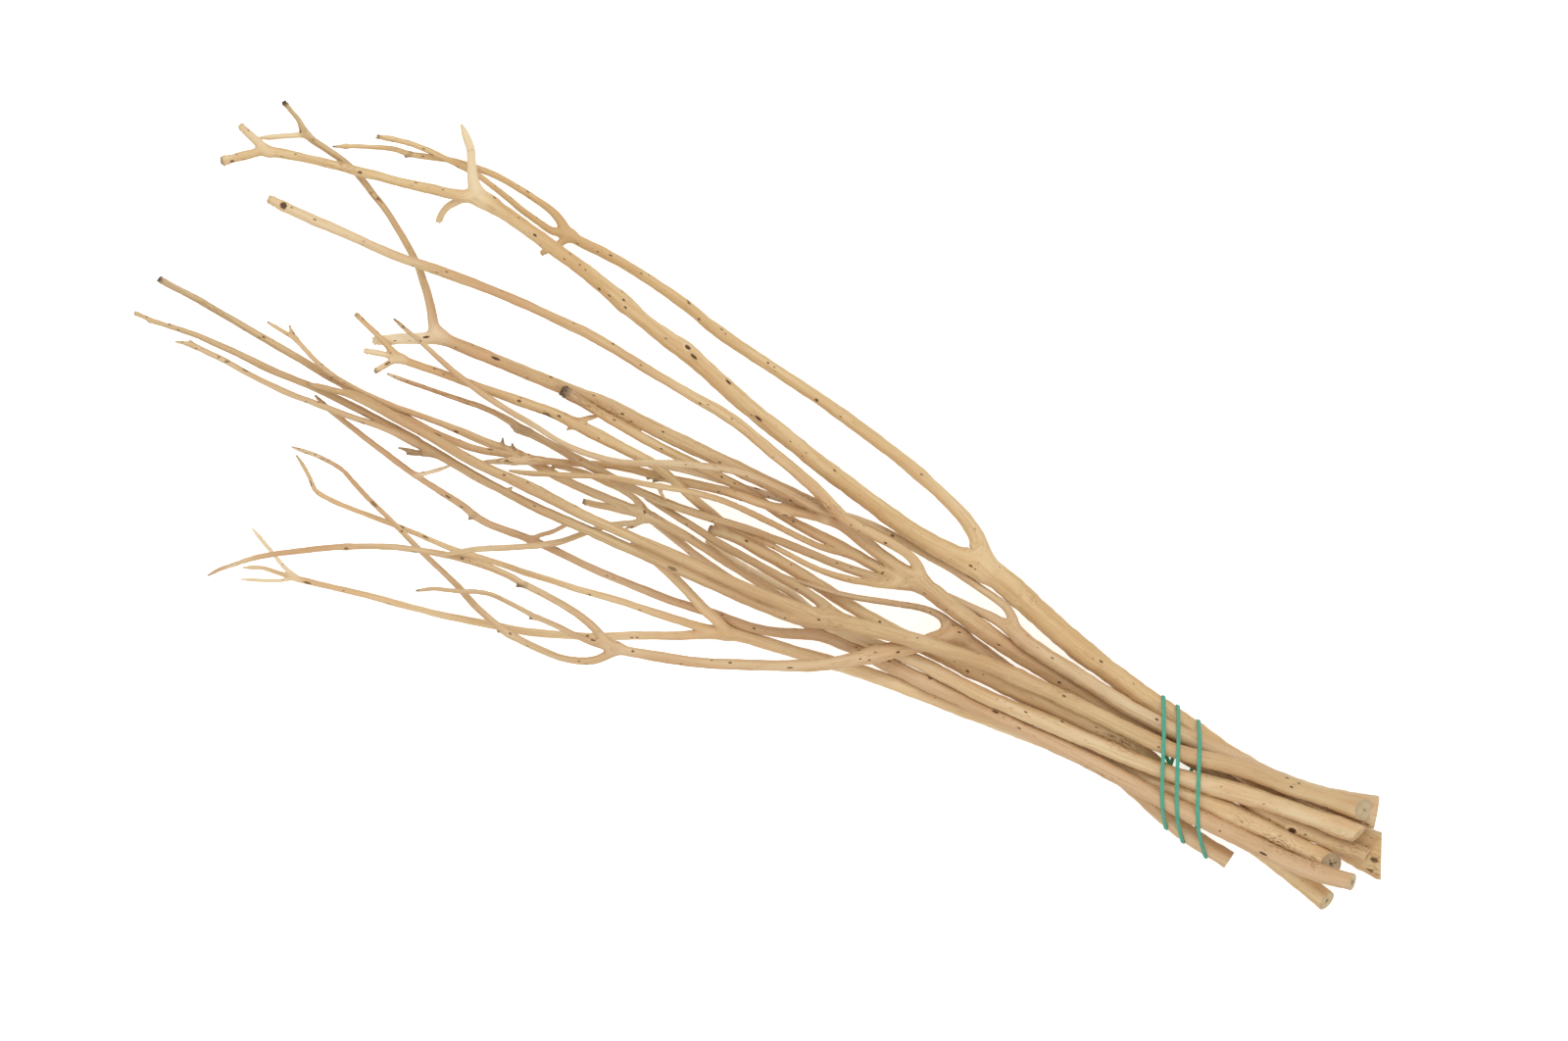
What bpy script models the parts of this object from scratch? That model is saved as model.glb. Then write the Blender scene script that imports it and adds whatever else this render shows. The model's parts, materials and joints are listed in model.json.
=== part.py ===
"""A bundle of peeled mitsumata branches, held together near the cut ends by a green rubber band.

Nine forked branches lie on the ground side by side. Each grew as one piece, so each is one solid: its
stems are tubes along hand-read middle lines, joined where they fork. The branches cross over and under
one another without touching, and the band goes three times round the bundle. Lengths are in metres in
the finished objects, and in millimetres in the tables, where branches are easier to read that way.
"""

import math

import bmesh
import bpy
import numpy as np

# The overall size. The length from the twig tips to the cut ends sets every other size here.
MM = 0.001
MM_PER_PIXEL = 0.55

# The eye that saw the bundle, above the point (EYE_X, EYE_Y). It is far away, so heights shift little.
EYE_X = 378.6
EYE_Y = 37.2
EYE_HEIGHT = 4889.0

# How the stems keep clear of each other and of the ground.
STEP = 3.0
GAP = 0.8
GROUND_GAP = 0.4
THINNEST = 2.0
FORK_REACH = 70.0
LIFT_ROUNDS = 420

# How finely the solids follow the middle lines.
LINE_TOLERANCE = 0.32
THICK_SIDES = 10
MIDDLE_SIDES = 8
THIN_SIDES = 6
THICK_FROM = 9.0
MIDDLE_FROM = 5.2

# The rubber band: a flat strip round the trunks.
BAND_WIDTH = 2.2
BAND_THICKNESS = 0.8
BAND_GAP = 0.5
BAND_TURNS_AT = (633.5, 642.5, 655.5)
BAND_LEVEL_Y = -5.0
BAND_SLANT = 0.45
BAND_CURL = 0.014
BAND_STEP_DEGREES = 12.0
BAND_SETTLES_IN = 5
BAND_STRETCH = 4.0
BAND_STARTS_AT = -60.0
BAND_CROSSES_FROM = -14.0
BAND_CROSSES_TO = 22.0
BAND_CROSSING_LIFT = 1.4
TIE_FROM = 626.0
TIE_TO = 672.0
TIE_GROUND_GAP = 3.2

# Every stem of the bundle, one block to a branch. A stem is a list of stations (x, y, z, diameter) in
# millimetres along its middle line, from its thick end to its tip, read by eye from the picture at
# MM_PER_PIXEL. x runs from the twig tips towards the cut ends, y across the bundle, z up from the floor.
# A stem with a parent starts inside that parent.
BRANCHES = {
    "a": [
        ("a_main", None, [
            (762, 14.8, 11.6, 24.5), (750, 14.2, 11.3, 22), (735, 14.5, 11.3, 18.5), (715, 17.5, 11, 16),
            (690, 23, 10.8, 14.8), (655, 27.5, 10.6, 14.2), (625, 33, 11, 13.4), (600, 36.8, 12, 12.4),
            (580, 41, 13, 12.2), (560, 45.2, 14, 13.2), (540, 50.3, 15, 13.6), (520, 56, 16, 13.8),
            (505, 60.3, 17, 14.2), (492, 62.4, 17.5, 14.6), (480, 61.6, 18, 12.6), (460, 61.8, 19, 10.8),
            (440, 63.8, 20, 9.9), (420, 67.4, 21, 10), (400, 71.2, 22, 9.4), (380, 74.9, 22.5, 9.5),
            (360, 79.6, 23, 9.2), (340, 84, 23.3, 9.5), (320, 89.1, 23.6, 9.4), (300, 94.8, 24, 9.4),
            (288, 98.2, 24, 9.9), (275, 100.3, 24, 8.9), (260, 103.3, 24, 8.3), (245, 107.2, 24, 9.2),
            (230, 110.9, 24, 8.5), (215, 114.4, 24.3, 8.1), (200, 117, 24.8, 7.5), (180, 120.7, 25.5, 7.6),
            (160, 123.8, 26.5, 7.5), (148, 124.7, 27.5, 7.8), (138, 122.3, 28.3, 6.4), (130, 120, 29, 5.9),
            (120, 117.8, 30, 5.4), (110, 115.4, 31, 5), (100, 113, 32, 4.9), (90, 111.2, 33, 4.9),
            (79, 108.6, 33.5, 5.2), (70, 107, 34, 4.7), (60, 104.9, 34.5, 4.8), (50, 102.6, 35, 4.6),
            (40, 100.2, 35, 5), (30, 97.2, 35, 5.2), (24, 94.6, 34.5, 5), (19, 90.4, 34, 4.4),
            (14, 86.3, 33, 4.2), (7.5, 80.6, 31.5, 3.9)]),
        ("a_left", "a_main", [
            (492, 64.5, 17.5, 11), (484, 72.6, 17, 9.4), (477, 78.4, 16.3, 8.3), (469, 82.8, 15.5, 7.7),
            (460, 86.3, 14.5, 7.1), (450, 89.5, 13.4, 7), (440, 92.5, 12.4, 7), (425, 96.5, 10.8, 7.1),
            (410, 99.6, 9.3, 7.1), (395, 102.4, 8, 6.9), (380, 105, 6.8, 6.8), (365, 107.5, 5.8, 6.6),
            (350, 109.5, 5, 6.2), (330, 112.1, 4.2, 6.4), (315, 113.9, 3.6, 6.4), (300, 116.2, 3.25, 6.7),
            (290, 118.2, 3.1, 6.3), (280, 120.9, 3.1, 6), (265, 123.6, 3.4, 5.7), (250, 125.6, 3.9, 5.5),
            (235, 127.1, 4.6, 5.3), (220, 127.8, 5.5, 5.6), (208, 127.8, 6.3, 5.9), (199, 129.2, 7, 5.6),
            (193, 132.9, 7.6, 4.8), (186, 136, 8.3, 4.2), (175, 138, 9.5, 3.7), (160, 139.6, 11, 3.4),
            (150, 140.2, 12, 3.4), (140, 139.7, 13, 3.4), (130, 138.6, 14, 3.2), (120, 136.4, 15, 3.1),
            (110, 133.2, 16, 3.1), (100, 130, 17, 3), (90, 128.4, 18, 2.7), (80, 124.6, 19, 2.4),
            (70, 120.3, 20, 2.2), (59.6, 115.1, 21, 2)]),
        ("a_left_low", "a_left", [
            (200, 127.6, 7, 4.6), (190, 126.2, 8, 3.7), (180, 127.5, 9.5, 3.2), (170, 129.3, 11.5, 3.1),
            (160, 131.8, 13.5, 2.9), (150, 134, 15.5, 2.8), (140, 135.9, 17.3, 2.8), (130, 136.5, 18.8, 2.8),
            (120, 136.5, 20, 2.6), (110, 136.3, 21, 2.6), (100, 135.7, 22, 2.5), (90, 133.9, 23, 2.4),
            (79.5, 131.4, 24, 2.2)]),
        ("a_left_bud", "a_left_low", [(88, 133.4, 23.2, 2), (79.6, 130.2, 22.5, 2)]),
        ("a_left_nub", "a_left", [(101, 130, 17, 2.6), (98.4, 127.6, 17, 2.2)]),
        ("a_left_stub", "a_left", [
            (201, 127, 7, 4.4), (197.4, 121.6, 7.6, 3.8), (194, 117, 7.8, 3.5), (191, 112.8, 7.4, 3.1)]),
        ("a_fork_up", "a_main", [
            (147, 125, 27.5, 6.6), (140.6, 129.5, 29.5, 6.2), (136.6, 134.5, 32, 5.2), (133, 141, 35, 4.3),
            (129, 147.6, 38, 3.9), (124, 152.6, 40.5, 3.5), (118.8, 157.2, 43, 2.6)]),
        ("a_fork_down", "a_main", [
            (139, 122.3, 28, 4), (135.5, 118, 25, 3.6), (132, 113, 21, 3.2), (130.6, 108, 18, 3),
            (130.9, 103.8, 16, 3)]),
        ("a_tip_up", "a_main", [
            (27, 97, 35, 3.8), (19, 98.9, 37, 3.6), (13, 100.6, 39, 3.2), (8, 102.4, 41, 2.7)]),
    ],
    "b": [
        ("b_main", None, [
            (747.6, 35.2, 24.5, 15.4), (735, 32.6, 24.5, 13.2), (715, 29.6, 24.3, 11.6), (690, 27.6, 24, 10.4),
            (655, 27, 24, 9.5), (630, 26.8, 23.6, 8.9), (600, 27.6, 23, 8.5), (580, 29.6, 22.6, 8.5),
            (560, 31.9, 22.5, 8.5), (545, 33.4, 22.5, 8.5), (530, 35.6, 22, 8.7), (520, 37.6, 21.4, 6.8),
            (513, 39, 20.4, 5.4), (505, 39.4, 18.6, 5), (496, 39.3, 16, 4.6), (487, 39.2, 14.4, 4.2),
            (478, 39.2, 13.6, 3.6)]),
        ("b_spur", "b_main", [
            (527, 36, 22, 6.6), (521.8, 40, 22, 5.6), (517.6, 44.6, 21, 4.8), (513, 47.6, 20, 4.4),
            (506, 49.6, 18.5, 4.1), (496, 51.1, 16.5, 4), (486, 52.6, 14.5, 4), (474, 54.1, 13, 4),
            (462, 54.8, 12, 4.2), (450, 55.7, 12.5, 4.4), (438, 56.2, 14, 4.6), (426, 56.2, 17, 4.6),
            (416, 55.6, 20.5, 4.4), (408, 54.4, 24.5, 4.2), (400, 52.6, 29, 4), (392, 51.6, 33, 3.8),
            (382, 52, 35.5, 3.7), (370, 52.4, 37, 3.6), (358, 52.2, 38, 3.6), (346, 50.9, 38.5, 3.6),
            (334, 47.9, 38.5, 3.7), (322, 43.9, 38, 3.8), (312, 40, 37.5, 3.8), (303, 35.8, 37, 3.7),
            (296, 32.6, 36.5, 3.5), (288, 28.8, 36, 3.3), (279, 25.6, 36, 3.2), (268, 23.3, 36, 3.1),
            (257, 21.9, 36, 3), (248, 21.7, 36, 2.8), (238, 22.6, 36, 2.8), (226, 23.9, 36, 3),
            (214, 24.7, 36, 3.1), (205, 25.7, 36, 3.4), (197, 26.7, 36, 3.4), (188, 28.4, 36, 3.2),
            (178, 30.4, 36, 3), (168, 33, 36.5, 2.8), (158, 36, 36.5, 2.6), (151, 38.1, 36.5, 2.4),
            (146, 39.2, 37, 2), (138, 41.3, 38, 2), (132.4, 43, 39, 2)]),
    ],
    "c": [
        ("c_main", None, [
            (752.4, 11.5, 27.6, 7.4), (740, 10.6, 27.2, 8.4), (720, 9.6, 26, 8.8), (700, 9.3, 24.6, 9),
            (680, 11.4, 23, 9.2), (655, 15.6, 21, 9.2), (630, 18.8, 17, 9.2), (600, 21.8, 14.5, 9.2),
            (580, 23.2, 14, 9.2), (560, 24.8, 14.5, 9.3), (540, 26.6, 16, 9.5), (520, 28.8, 18.5, 9.6),
            (500, 32, 21, 9.6), (485, 34.6, 23, 9.4), (472, 37.4, 24, 9.6), (462, 39.4, 24.6, 8.6),
            (452, 41.4, 25, 7.2), (442, 42.8, 25.5, 6.9), (432, 44.6, 26, 6.9), (422, 46.8, 26.3, 7),
            (412, 49.2, 26.5, 7.2), (402, 51.1, 26.5, 7.6), (390, 52.1, 26.5, 7.8), (370, 52.2, 26.5, 7.8),
            (350, 52, 26.5, 7.7), (330, 51.8, 26.5, 7.8), (310, 51.7, 26.5, 8), (290, 51.7, 26.8, 7.9),
            (270, 52, 27, 7.9), (255, 51.6, 27.3, 7.6), (240, 50.2, 27.6, 7.2), (225, 49.2, 28, 7),
            (210, 48.2, 28.4, 6.8), (195, 47.2, 28.8, 6.9), (180, 46.2, 29.2, 6.8), (168, 45.4, 29.6, 6.8),
            (160, 45.6, 30, 7), (154.6, 48.8, 30.2, 5.9), (150.5, 54.5, 30, 5), (146, 60.3, 29.5, 4.6),
            (141.5, 65.4, 29, 4.4), (136.8, 70.2, 28.5, 4.2), (131.5, 75.4, 28, 4), (125, 80.4, 27.5, 3.8),
            (117, 86, 27, 3.5), (109, 91.2, 26.5, 3.4), (100, 96.6, 26, 3.5), (91, 100.8, 25.8, 3.4),
            (82, 105.3, 25.5, 3.4), (74, 108.5, 25.5, 3.4), (65, 110.6, 26, 3.6), (55, 112, 27, 3.7),
            (46, 113.4, 28, 3.8), (40.6, 115.6, 29, 3.2), (35.5, 119.6, 30.5, 2.6), (30, 122.2, 32.5, 2.4),
            (24.2, 124.8, 34.5, 2.2)]),
        ("c_pale_twig", "c_main", [
            (44, 113.6, 28, 2.6), (38, 111.6, 28.3, 2.1), (32, 108.2, 28.5, 2), (26, 104.6, 29, 2),
            (19.6, 100.9, 29.5, 2)]),
        ("c_left", "c_main", [
            (161, 44.8, 30, 6), (153, 41, 29, 5.6), (147, 37.8, 28, 5.2), (140, 34.3, 27, 5.1),
            (133.5, 30.2, 26, 4.8), (128, 27.3, 25, 3.8)]),
        ("c_long", "c_main", [
            (465, 38.8, 24.5, 6.4), (459.6, 45.2, 27, 5.6), (453, 49.4, 29.5, 5.3), (444, 51.4, 32, 5),
            (434, 52, 34, 5), (424, 52.2, 36, 5.2), (414, 52.5, 38, 5.6), (405, 54.2, 39.5, 6.3),
            (397, 57, 40.5, 6.6), (388, 60.4, 41, 6.5), (378, 63.3, 41.5, 6.3), (368, 66, 42, 6.3),
            (356, 68.8, 42, 6), (344, 71.9, 42, 6), (332, 74.7, 41.5, 6.2), (318, 76.5, 41, 6),
            (304, 77.2, 40.5, 5.4), (290, 78.4, 40, 5.1), (276, 79.5, 39.5, 4.9), (262, 80.9, 39, 5.1),
            (248, 82.2, 38.5, 5.3), (232, 83.1, 38, 5.5), (216, 82.8, 38, 5.1), (200, 82.7, 38, 4.9),
            (184, 82, 38, 4.9), (168, 80.8, 38, 5.1), (152, 79.2, 38, 5.5), (136, 77.5, 38, 5.3),
            (122, 75.6, 38, 5.1), (108, 74.6, 38.5, 4.7), (94, 74.2, 39, 5), (80, 73.7, 39.5, 5.4),
            (68, 73, 40, 5.7), (56, 72.7, 40.5, 5.3), (46, 72.6, 41, 5.4), (40.4, 72.6, 41.2, 4.8)]),
        ("c_rise", "c_main", [
            (413, 48.6, 26.5, 4.4), (402, 48.2, 27, 4.2), (392, 46.6, 27.5, 4.5), (382, 44.2, 27.5, 4.7),
            (372, 41.9, 27, 4.8), (362, 40.2, 26.5, 4.8), (350, 38.9, 26, 4.8), (338, 36.7, 24.5, 4.8),
            (326, 33.8, 22.5, 4.8), (314, 30.8, 20.5, 4.6), (302, 28.3, 19, 4.5), (290, 25.9, 18.4, 4.3),
            (279, 22.9, 18.4, 4), (270, 19.2, 18.6, 3.7), (262, 15.8, 19, 3.6), (254, 12.6, 19.5, 3.6),
            (246, 9.4, 20, 3.6), (239, 7, 20.5, 3.6), (232, 5.3, 20.8, 3.5), (226, 3.6, 21, 3.4),
            (218, 1, 21.2, 3.5), (210, -1.5, 21.6, 3.7), (201, -3.3, 22.2, 3.8), (190, -4.1, 23, 3.6),
            (180, -4.4, 24, 3.5), (168, -3.9, 25, 3.5), (156, -3.3, 26, 3.7), (144, -3.3, 27, 4),
            (132, -3.1, 28.4, 4.1), (120, -2.5, 30, 4.1), (110, -1.9, 31.5, 4.1), (100, -0.9, 33, 4),
            (90, -0.1, 34.5, 4), (80, 0.6, 36, 3.9), (70, 1.3, 37.5, 3.8), (60, 2, 39, 3.7),
            (50, 2.8, 40.5, 3.6), (40, 3.4, 42, 3.5), (30, 4.3, 43.5, 3.5), (20, 4.7, 45, 3.4),
            (10, 4.9, 46.5, 3.6), (4.6, 5.2, 47.2, 3.4)]),
        ("c_rise_fork", "c_rise", [
            (241, 7.4, 20.5, 3.2), (233.5, 3.4, 22, 3), (228.5, 1, 23, 3), (224, -1, 24, 3.4),
            (219, -3.8, 25, 2.9), (213, -6.8, 26, 2.6)]),
        ("c_rise_nub", "c_rise", [(236, 6.4, 20.6, 2.6), (233.4, 7.4, 22.4, 2.4)]),
        ("c_rise_dark", "c_rise", [(306, 28.4, 19.4, 2.6), (303.4, 25, 19.6, 2.2)]),
        ("c_rise_dark_low", "c_rise", [(302, 27.4, 19, 2.4), (299.6, 24.8, 18.6, 2)]),
        ("c_climb", "c_rise", [
            (399, 48, 27, 3.4), (388, 48.8, 24.5, 3.4), (376, 47.9, 23, 3.5), (366, 46.5, 21.5, 3.6),
            (356, 44.8, 20, 3.6), (346, 43.1, 19, 3.5), (336, 41.6, 18.6, 3.5), (326, 40.2, 18.6, 3.5),
            (316, 38.2, 19, 3.4), (307, 35.8, 19.5, 3.2), (299, 32.9, 20, 2.8)]),
        ("c_nine", "c_main", [
            (462, 38.6, 24, 6.6), (450, 37.2, 22.6, 6.4), (440, 36.8, 21, 6.3), (430, 37, 19.8, 6.1),
            (420, 37.8, 19.2, 6), (410, 38.3, 19, 5.8), (400, 38.2, 19, 5.6), (390, 38.4, 19.4, 5.4),
            (380, 39, 20, 5), (370, 40.3, 21.2, 4.8), (360, 42, 22.8, 4.7), (350, 43.2, 24.4, 4.8),
            (340, 43.4, 25.4, 4.8), (325, 43.5, 26.4, 4.9), (310, 43.6, 27, 5.1), (295, 43.8, 27.6, 5.1),
            (280, 44.6, 28.8, 5), (268, 45.3, 30.4, 4.9), (256, 46.2, 32.2, 4.6), (246, 47.2, 33.6, 4.6),
            (236.5, 48.2, 34.6, 4.4)]),
        ("c_ivory", "c_nine", [
            (425, 37.4, 19.4, 4.2), (416, 35.4, 20, 4), (408, 33.6, 21, 3.8), (400, 32.7, 22, 3.7),
            (388, 32.6, 24, 3.6), (376, 32.8, 26, 3.5), (362, 32.8, 28, 3.6), (350, 32.6, 30, 3.6),
            (340, 31.7, 32, 3.5), (330, 29.9, 33.5, 3.5), (320, 27.6, 34.5, 3.4), (310, 24.6, 34.8, 3.3),
            (300, 21.6, 34.6, 3.3), (290, 18.9, 34, 3.2), (281, 16.4, 33, 3.2), (272, 12.9, 31.5, 3.3),
            (264, 9.4, 30.2, 3.3), (256, 5.7, 29, 3.3), (248, 2.5, 28, 3.2), (240, -1, 27.2, 3.2),
            (233, -3.6, 26.8, 2.8), (228, -5.2, 26.6, 2.2)]),
        ("c_ivory_twig", "c_ivory", [(307, 23.6, 34.6, 2.2), (309.6, 20.9, 33, 2), (313, 19, 32, 2)]),
        ("c_low", "c_main", [
            (463, 37.8, 24.5, 6.4), (457, 35.2, 24.5, 5.8), (450, 33.4, 24.4, 5.2), (440, 31.4, 24.2, 4.7),
            (430, 29.8, 24, 4.7), (420, 28.5, 23.6, 4.6), (410, 27.6, 23.2, 4.3), (400, 27, 23, 4.3),
            (388, 26.2, 23, 4.2), (376, 25.3, 23.4, 4.1), (364, 24.2, 24, 4), (354, 22.6, 24.6, 4.1),
            (344, 20.9, 25.2, 4.2), (334, 19.4, 25.8, 4.3), (322, 17.8, 26.4, 4.4), (310, 16.7, 26.8, 4.4),
            (298, 16.2, 27, 4.2), (286, 16.3, 27, 4.2), (274, 16.8, 27, 4.6), (262, 17.2, 27, 4.8),
            (250, 17.8, 27, 4.4), (240, 18.3, 27, 4), (230, 18.7, 27, 4.2), (222, 19, 27, 4.3),
            (214, 20.1, 27, 3.8), (206, 20.4, 27, 3.1), (198, 20.1, 27.2, 2.8), (188, 18.8, 27.4, 2.6),
            (178, 17.5, 27.6, 2.4), (168, 16.3, 27.8, 2.3), (158, 15.1, 28, 2.2), (150, 14.2, 28, 2),
            (142.8, 13.7, 28, 2)]),
        ("c_low_knob", "c_low", [(226, 18.2, 27, 3.6), (221.4, 17.2, 28, 3.2)]),
        ("c_low_twin", "c_low", [
            (455, 34.8, 24.5, 4.6), (448, 30.9, 25.4, 4.1), (442, 28.3, 26, 3.8), (435, 26.2, 26, 3.7),
            (428, 24.1, 26, 3.7), (420, 22.5, 25.4, 3.4), (411, 21.2, 24.6, 3), (400, 20.8, 23.4, 2.8),
            (388, 21.3, 22.2, 2.7), (376, 21.5, 21, 2.7), (364, 21.1, 20, 2.6), (352, 21, 19.4, 2.4),
            (342, 21.4, 19, 2.2)]),
    ],
    "d": [
        ("d_main", None, [
            (740.4, 33.6, 37.2, 10.4), (730, 32, 36.8, 9.8), (715, 29.8, 36.2, 9.4), (700, 27.7, 35.6, 9.2),
            (685, 26.2, 35, 9.1), (670, 24.6, 34.4, 9), (655, 21.6, 33.4, 8.8), (640, 18.4, 32.4, 8.4),
            (625, 16.6, 31.4, 8), (600, 16.3, 30.6, 7.9), (580, 16.5, 30.8, 7.8), (560, 16.4, 31.2, 7.8),
            (540, 15.9, 31.8, 8.1), (520, 15.1, 32.4, 7.7), (500, 13, 33, 7.5), (485, 10.6, 33.5, 7.6),
            (470, 8, 34, 7.7), (455, 5.1, 34.5, 7.7), (442, 2.4, 35, 8.4), (430, -0.6, 35.4, 9.6),
            (420, -2.8, 35.8, 8.8), (410, -3.9, 36.2, 7.4), (398, -4.8, 36.6, 6.8), (385, -5.8, 37, 6.3),
            (370, -6.5, 37.5, 5.5), (355, -6.8, 38, 5.8), (340, -7.2, 38.5, 6), (325, -7.8, 39, 5.6),
            (310, -8.4, 39.5, 5.2), (295, -8.8, 40, 4.9), (280, -9.4, 40.5, 5), (265, -9.3, 41, 5.4),
            (250, -8.9, 41.5, 5.8), (235, -8.9, 42, 5.8), (222, -9.3, 42.3, 5), (210, -9.5, 42.6, 4.8),
            (198, -9, 43, 5), (186, -7.9, 43.5, 4.8), (174, -7.2, 44, 4.5), (160, -6.5, 44.5, 4.6),
            (146, -5.7, 45, 4.9), (135, -5.3, 45.5, 4.8), (128.6, -5.9, 45.8, 3.8), (121, -7.5, 46.2, 2.8),
            (112, -9.3, 46.8, 2.4), (104.6, -10.8, 47.4, 2)]),
        ("d_twin", "d_main", [
            (427, -2.4, 35.4, 7), (416, -7.4, 35.6, 6.2), (404, -10.2, 36, 5.5), (390, -11.3, 36.5, 5.5),
            (375, -12.1, 37, 5.7), (360, -12.6, 37.5, 5.8), (345, -13.1, 38, 5.8), (330, -13.9, 38, 5.8),
            (315, -14.6, 38, 5.6), (300, -15.3, 38, 5.4), (285, -15.9, 38, 5.2), (270, -16.5, 38, 5.1),
            (255, -17.1, 38, 5), (240, -17.1, 38, 4.7), (225, -16.8, 38, 4.3), (212, -16.4, 38, 4.5),
            (200, -15.4, 38, 4.6), (188, -14.5, 38, 4.9), (176, -13.8, 38, 5.3), (167, -12.9, 38.2, 5.2),
            (158, -12.2, 38.4, 4.5), (146, -11.6, 38.8, 4), (134, -11.4, 39.3, 3.9), (122, -11.3, 40, 3.8),
            (110, -11.3, 41, 3.8), (98, -12, 42, 3.6), (86, -12.9, 43, 3.7), (74, -13.1, 44, 3.9),
            (62, -13, 45.3, 3.6), (50, -13.4, 46.6, 3.2), (38, -13.8, 48, 3), (26, -15.2, 49.5, 2.8),
            (14, -17, 51, 2.3), (6, -17.6, 52, 2.2), (0.8, -17.8, 52.5, 2.2)]),
        ("d_twin_nub", "d_twin", [(13, -17.2, 51, 2.2), (9.8, -18.8, 51.2, 2)]),
        ("d_low", "d_twin", [
            (172, -14, 38, 4), (160, -14.3, 40, 3.4), (150, -14.9, 41, 3.2), (140, -16.3, 42, 3.1),
            (130, -17.6, 42.5, 3.1), (120, -18.5, 43, 3.2), (110, -19.4, 43.5, 3.2), (98, -20.5, 44, 3.2),
            (84, -20.7, 44.5, 3), (70, -20.5, 45, 2.8), (58, -19.8, 45.5, 3), (46, -19.9, 46, 2.8),
            (38, -20, 46.5, 2.8), (33, -20.8, 47, 2.2), (28.2, -22.1, 47.5, 2)]),
        ("d_low_nub", "d_low", [(38, -19.6, 46.5, 2.2), (34, -17.9, 47.4, 2)]),
        ("d_up", "d_main", [
            (432, 0, 35, 6), (422, 4, 34, 5), (411, 6, 32, 4.6), (400, 7.1, 30.2, 4.3), (388, 7.8, 28.6, 4.1),
            (376, 8.5, 27, 4), (364, 9.1, 25.6, 3.8), (354, 9.5, 24.6, 3.8), (344, 10.6, 23.8, 3.7),
            (334, 11.9, 22.8, 3.5), (324, 12.9, 21.4, 3.3), (314, 14, 20, 3), (304, 15, 19, 2.6)]),
        ("d_dark_twig", "d_twin", [
            (187, -15.4, 38, 2.8), (180, -18.1, 38.5, 2.4), (174, -19.4, 39, 2.3), (167, -20.8, 39.5, 2.2)]),
        ("d_dark_fork", "d_dark_twig", [(178, -18.7, 38.7, 2.2), (172.6, -21.9, 38.4, 2)]),
        ("d_bridge", "d_twin", [(230.6, -16, 38.4, 2.2), (233.4, -12.7, 40.4, 2)]),
    ],
    "e": [
        ("e_main", None, [
            (686, -24.4, 12.6, 9.6), (670, -23, 13.4, 10), (655, -20.6, 13.6, 10), (640, -16.6, 12, 10),
            (620, -11, 9.5, 10), (600, -5.2, 7.5, 10), (580, 0.8, 6.5, 10), (560, 6.8, 6.3, 9.8),
            (545, 11.4, 6.8, 9.6), (530, 15.4, 8.4, 9.4), (515, 18.6, 10.8, 9.2), (503, 20.6, 13.4, 9.6),
            (493, 20.8, 16, 10.2), (484.6, 14.6, 18, 9.2), (477, 7.6, 20.5, 9), (469, 1.4, 23, 8.8),
            (461, -5, 26, 8.4), (453.5, -11, 28.5, 8), (446, -17, 30, 7.4), (438, -23, 31, 6.9),
            (429, -28.6, 31.5, 6.5), (419, -33.8, 32, 6.2), (409, -38.6, 32, 5.9), (398, -43.6, 32, 5.7),
            (386, -48.9, 32, 5.7), (374, -54, 32, 5.5), (362, -58.3, 31.6, 5.6), (350, -62, 31.2, 5.5),
            (338, -65.6, 30.8, 5.3), (329, -67.8, 30.4, 5.5), (322, -68.2, 30.2, 5.6), (315.5, -66.2, 30, 4.8),
            (309, -63.6, 29.8, 4.3), (300, -61.2, 29.5, 4), (288, -59.7, 29, 3.8), (276, -59.1, 28.7, 3.6),
            (264, -58.9, 28.4, 3.5), (252, -58.4, 28.2, 3.5), (240, -59, 28, 3.6), (229, -60.6, 28, 3.6),
            (219, -62.6, 28, 3.5), (209, -65.4, 28, 3.3), (200, -68.2, 27.5, 3.1), (190, -71.6, 27, 3.1),
            (178, -76.8, 26, 3.1), (166, -82.8, 25, 3.1), (154, -89.5, 24, 3.1), (142, -97.2, 22.5, 3),
            (130, -105, 21, 2.8), (120, -112.6, 19.5, 2.5), (112, -120.3, 18, 2.2), (106, -126.3, 17, 2),
            (102, -131.6, 16, 2)]),
        ("e_chunk", "e_main", [
            (495, 21.4, 15.6, 9.4), (487.6, 25.2, 18, 7.6), (480, 27.6, 20.2, 5), (469, 26.8, 22.5, 4.1),
            (459, 23.9, 24.5, 4.1), (449, 20.8, 26, 4.1), (439, 17.6, 27, 4), (429, 14.8, 27.3, 3.8),
            (419, 12.7, 27, 3.6), (409, 11, 26.4, 3.4), (400, 9.8, 25.4, 3.1), (392, 9, 24.4, 2.6)]),
        ("e_middle", "e_main", [
            (325, -69, 30.3, 5), (314, -71, 30.4, 3.8), (302, -72, 30, 3.1), (290, -71.8, 29.5, 2.9),
            (276, -72.4, 29, 2.7), (262, -72, 28.6, 2.4), (250, -72.1, 28, 2.4), (242, -74, 27, 2.3),
            (234, -77.6, 26, 2.2), (226, -80.7, 25, 2.2), (219, -83.2, 24.5, 2), (210.8, -88.4, 24, 2)]),
        ("e_middle_nub", "e_middle", [(277.6, -72.8, 29, 2.2), (275, -74.6, 28.6, 2)]),
        ("e_lower", "e_main", [
            (326, -68.8, 30.3, 5), (321.6, -75.4, 28, 4.6), (316, -80.8, 26, 4), (308, -84.7, 24, 3.6),
            (298, -87.2, 22, 3.6), (286, -87.9, 20.5, 3.6), (274, -87.9, 19.5, 3.6), (263, -86.9, 19, 3.8),
            (252, -84.2, 19, 3.7), (242, -81.2, 19, 3.6), (232, -76.9, 19, 3.3), (221, -73.2, 19, 3.1),
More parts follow.
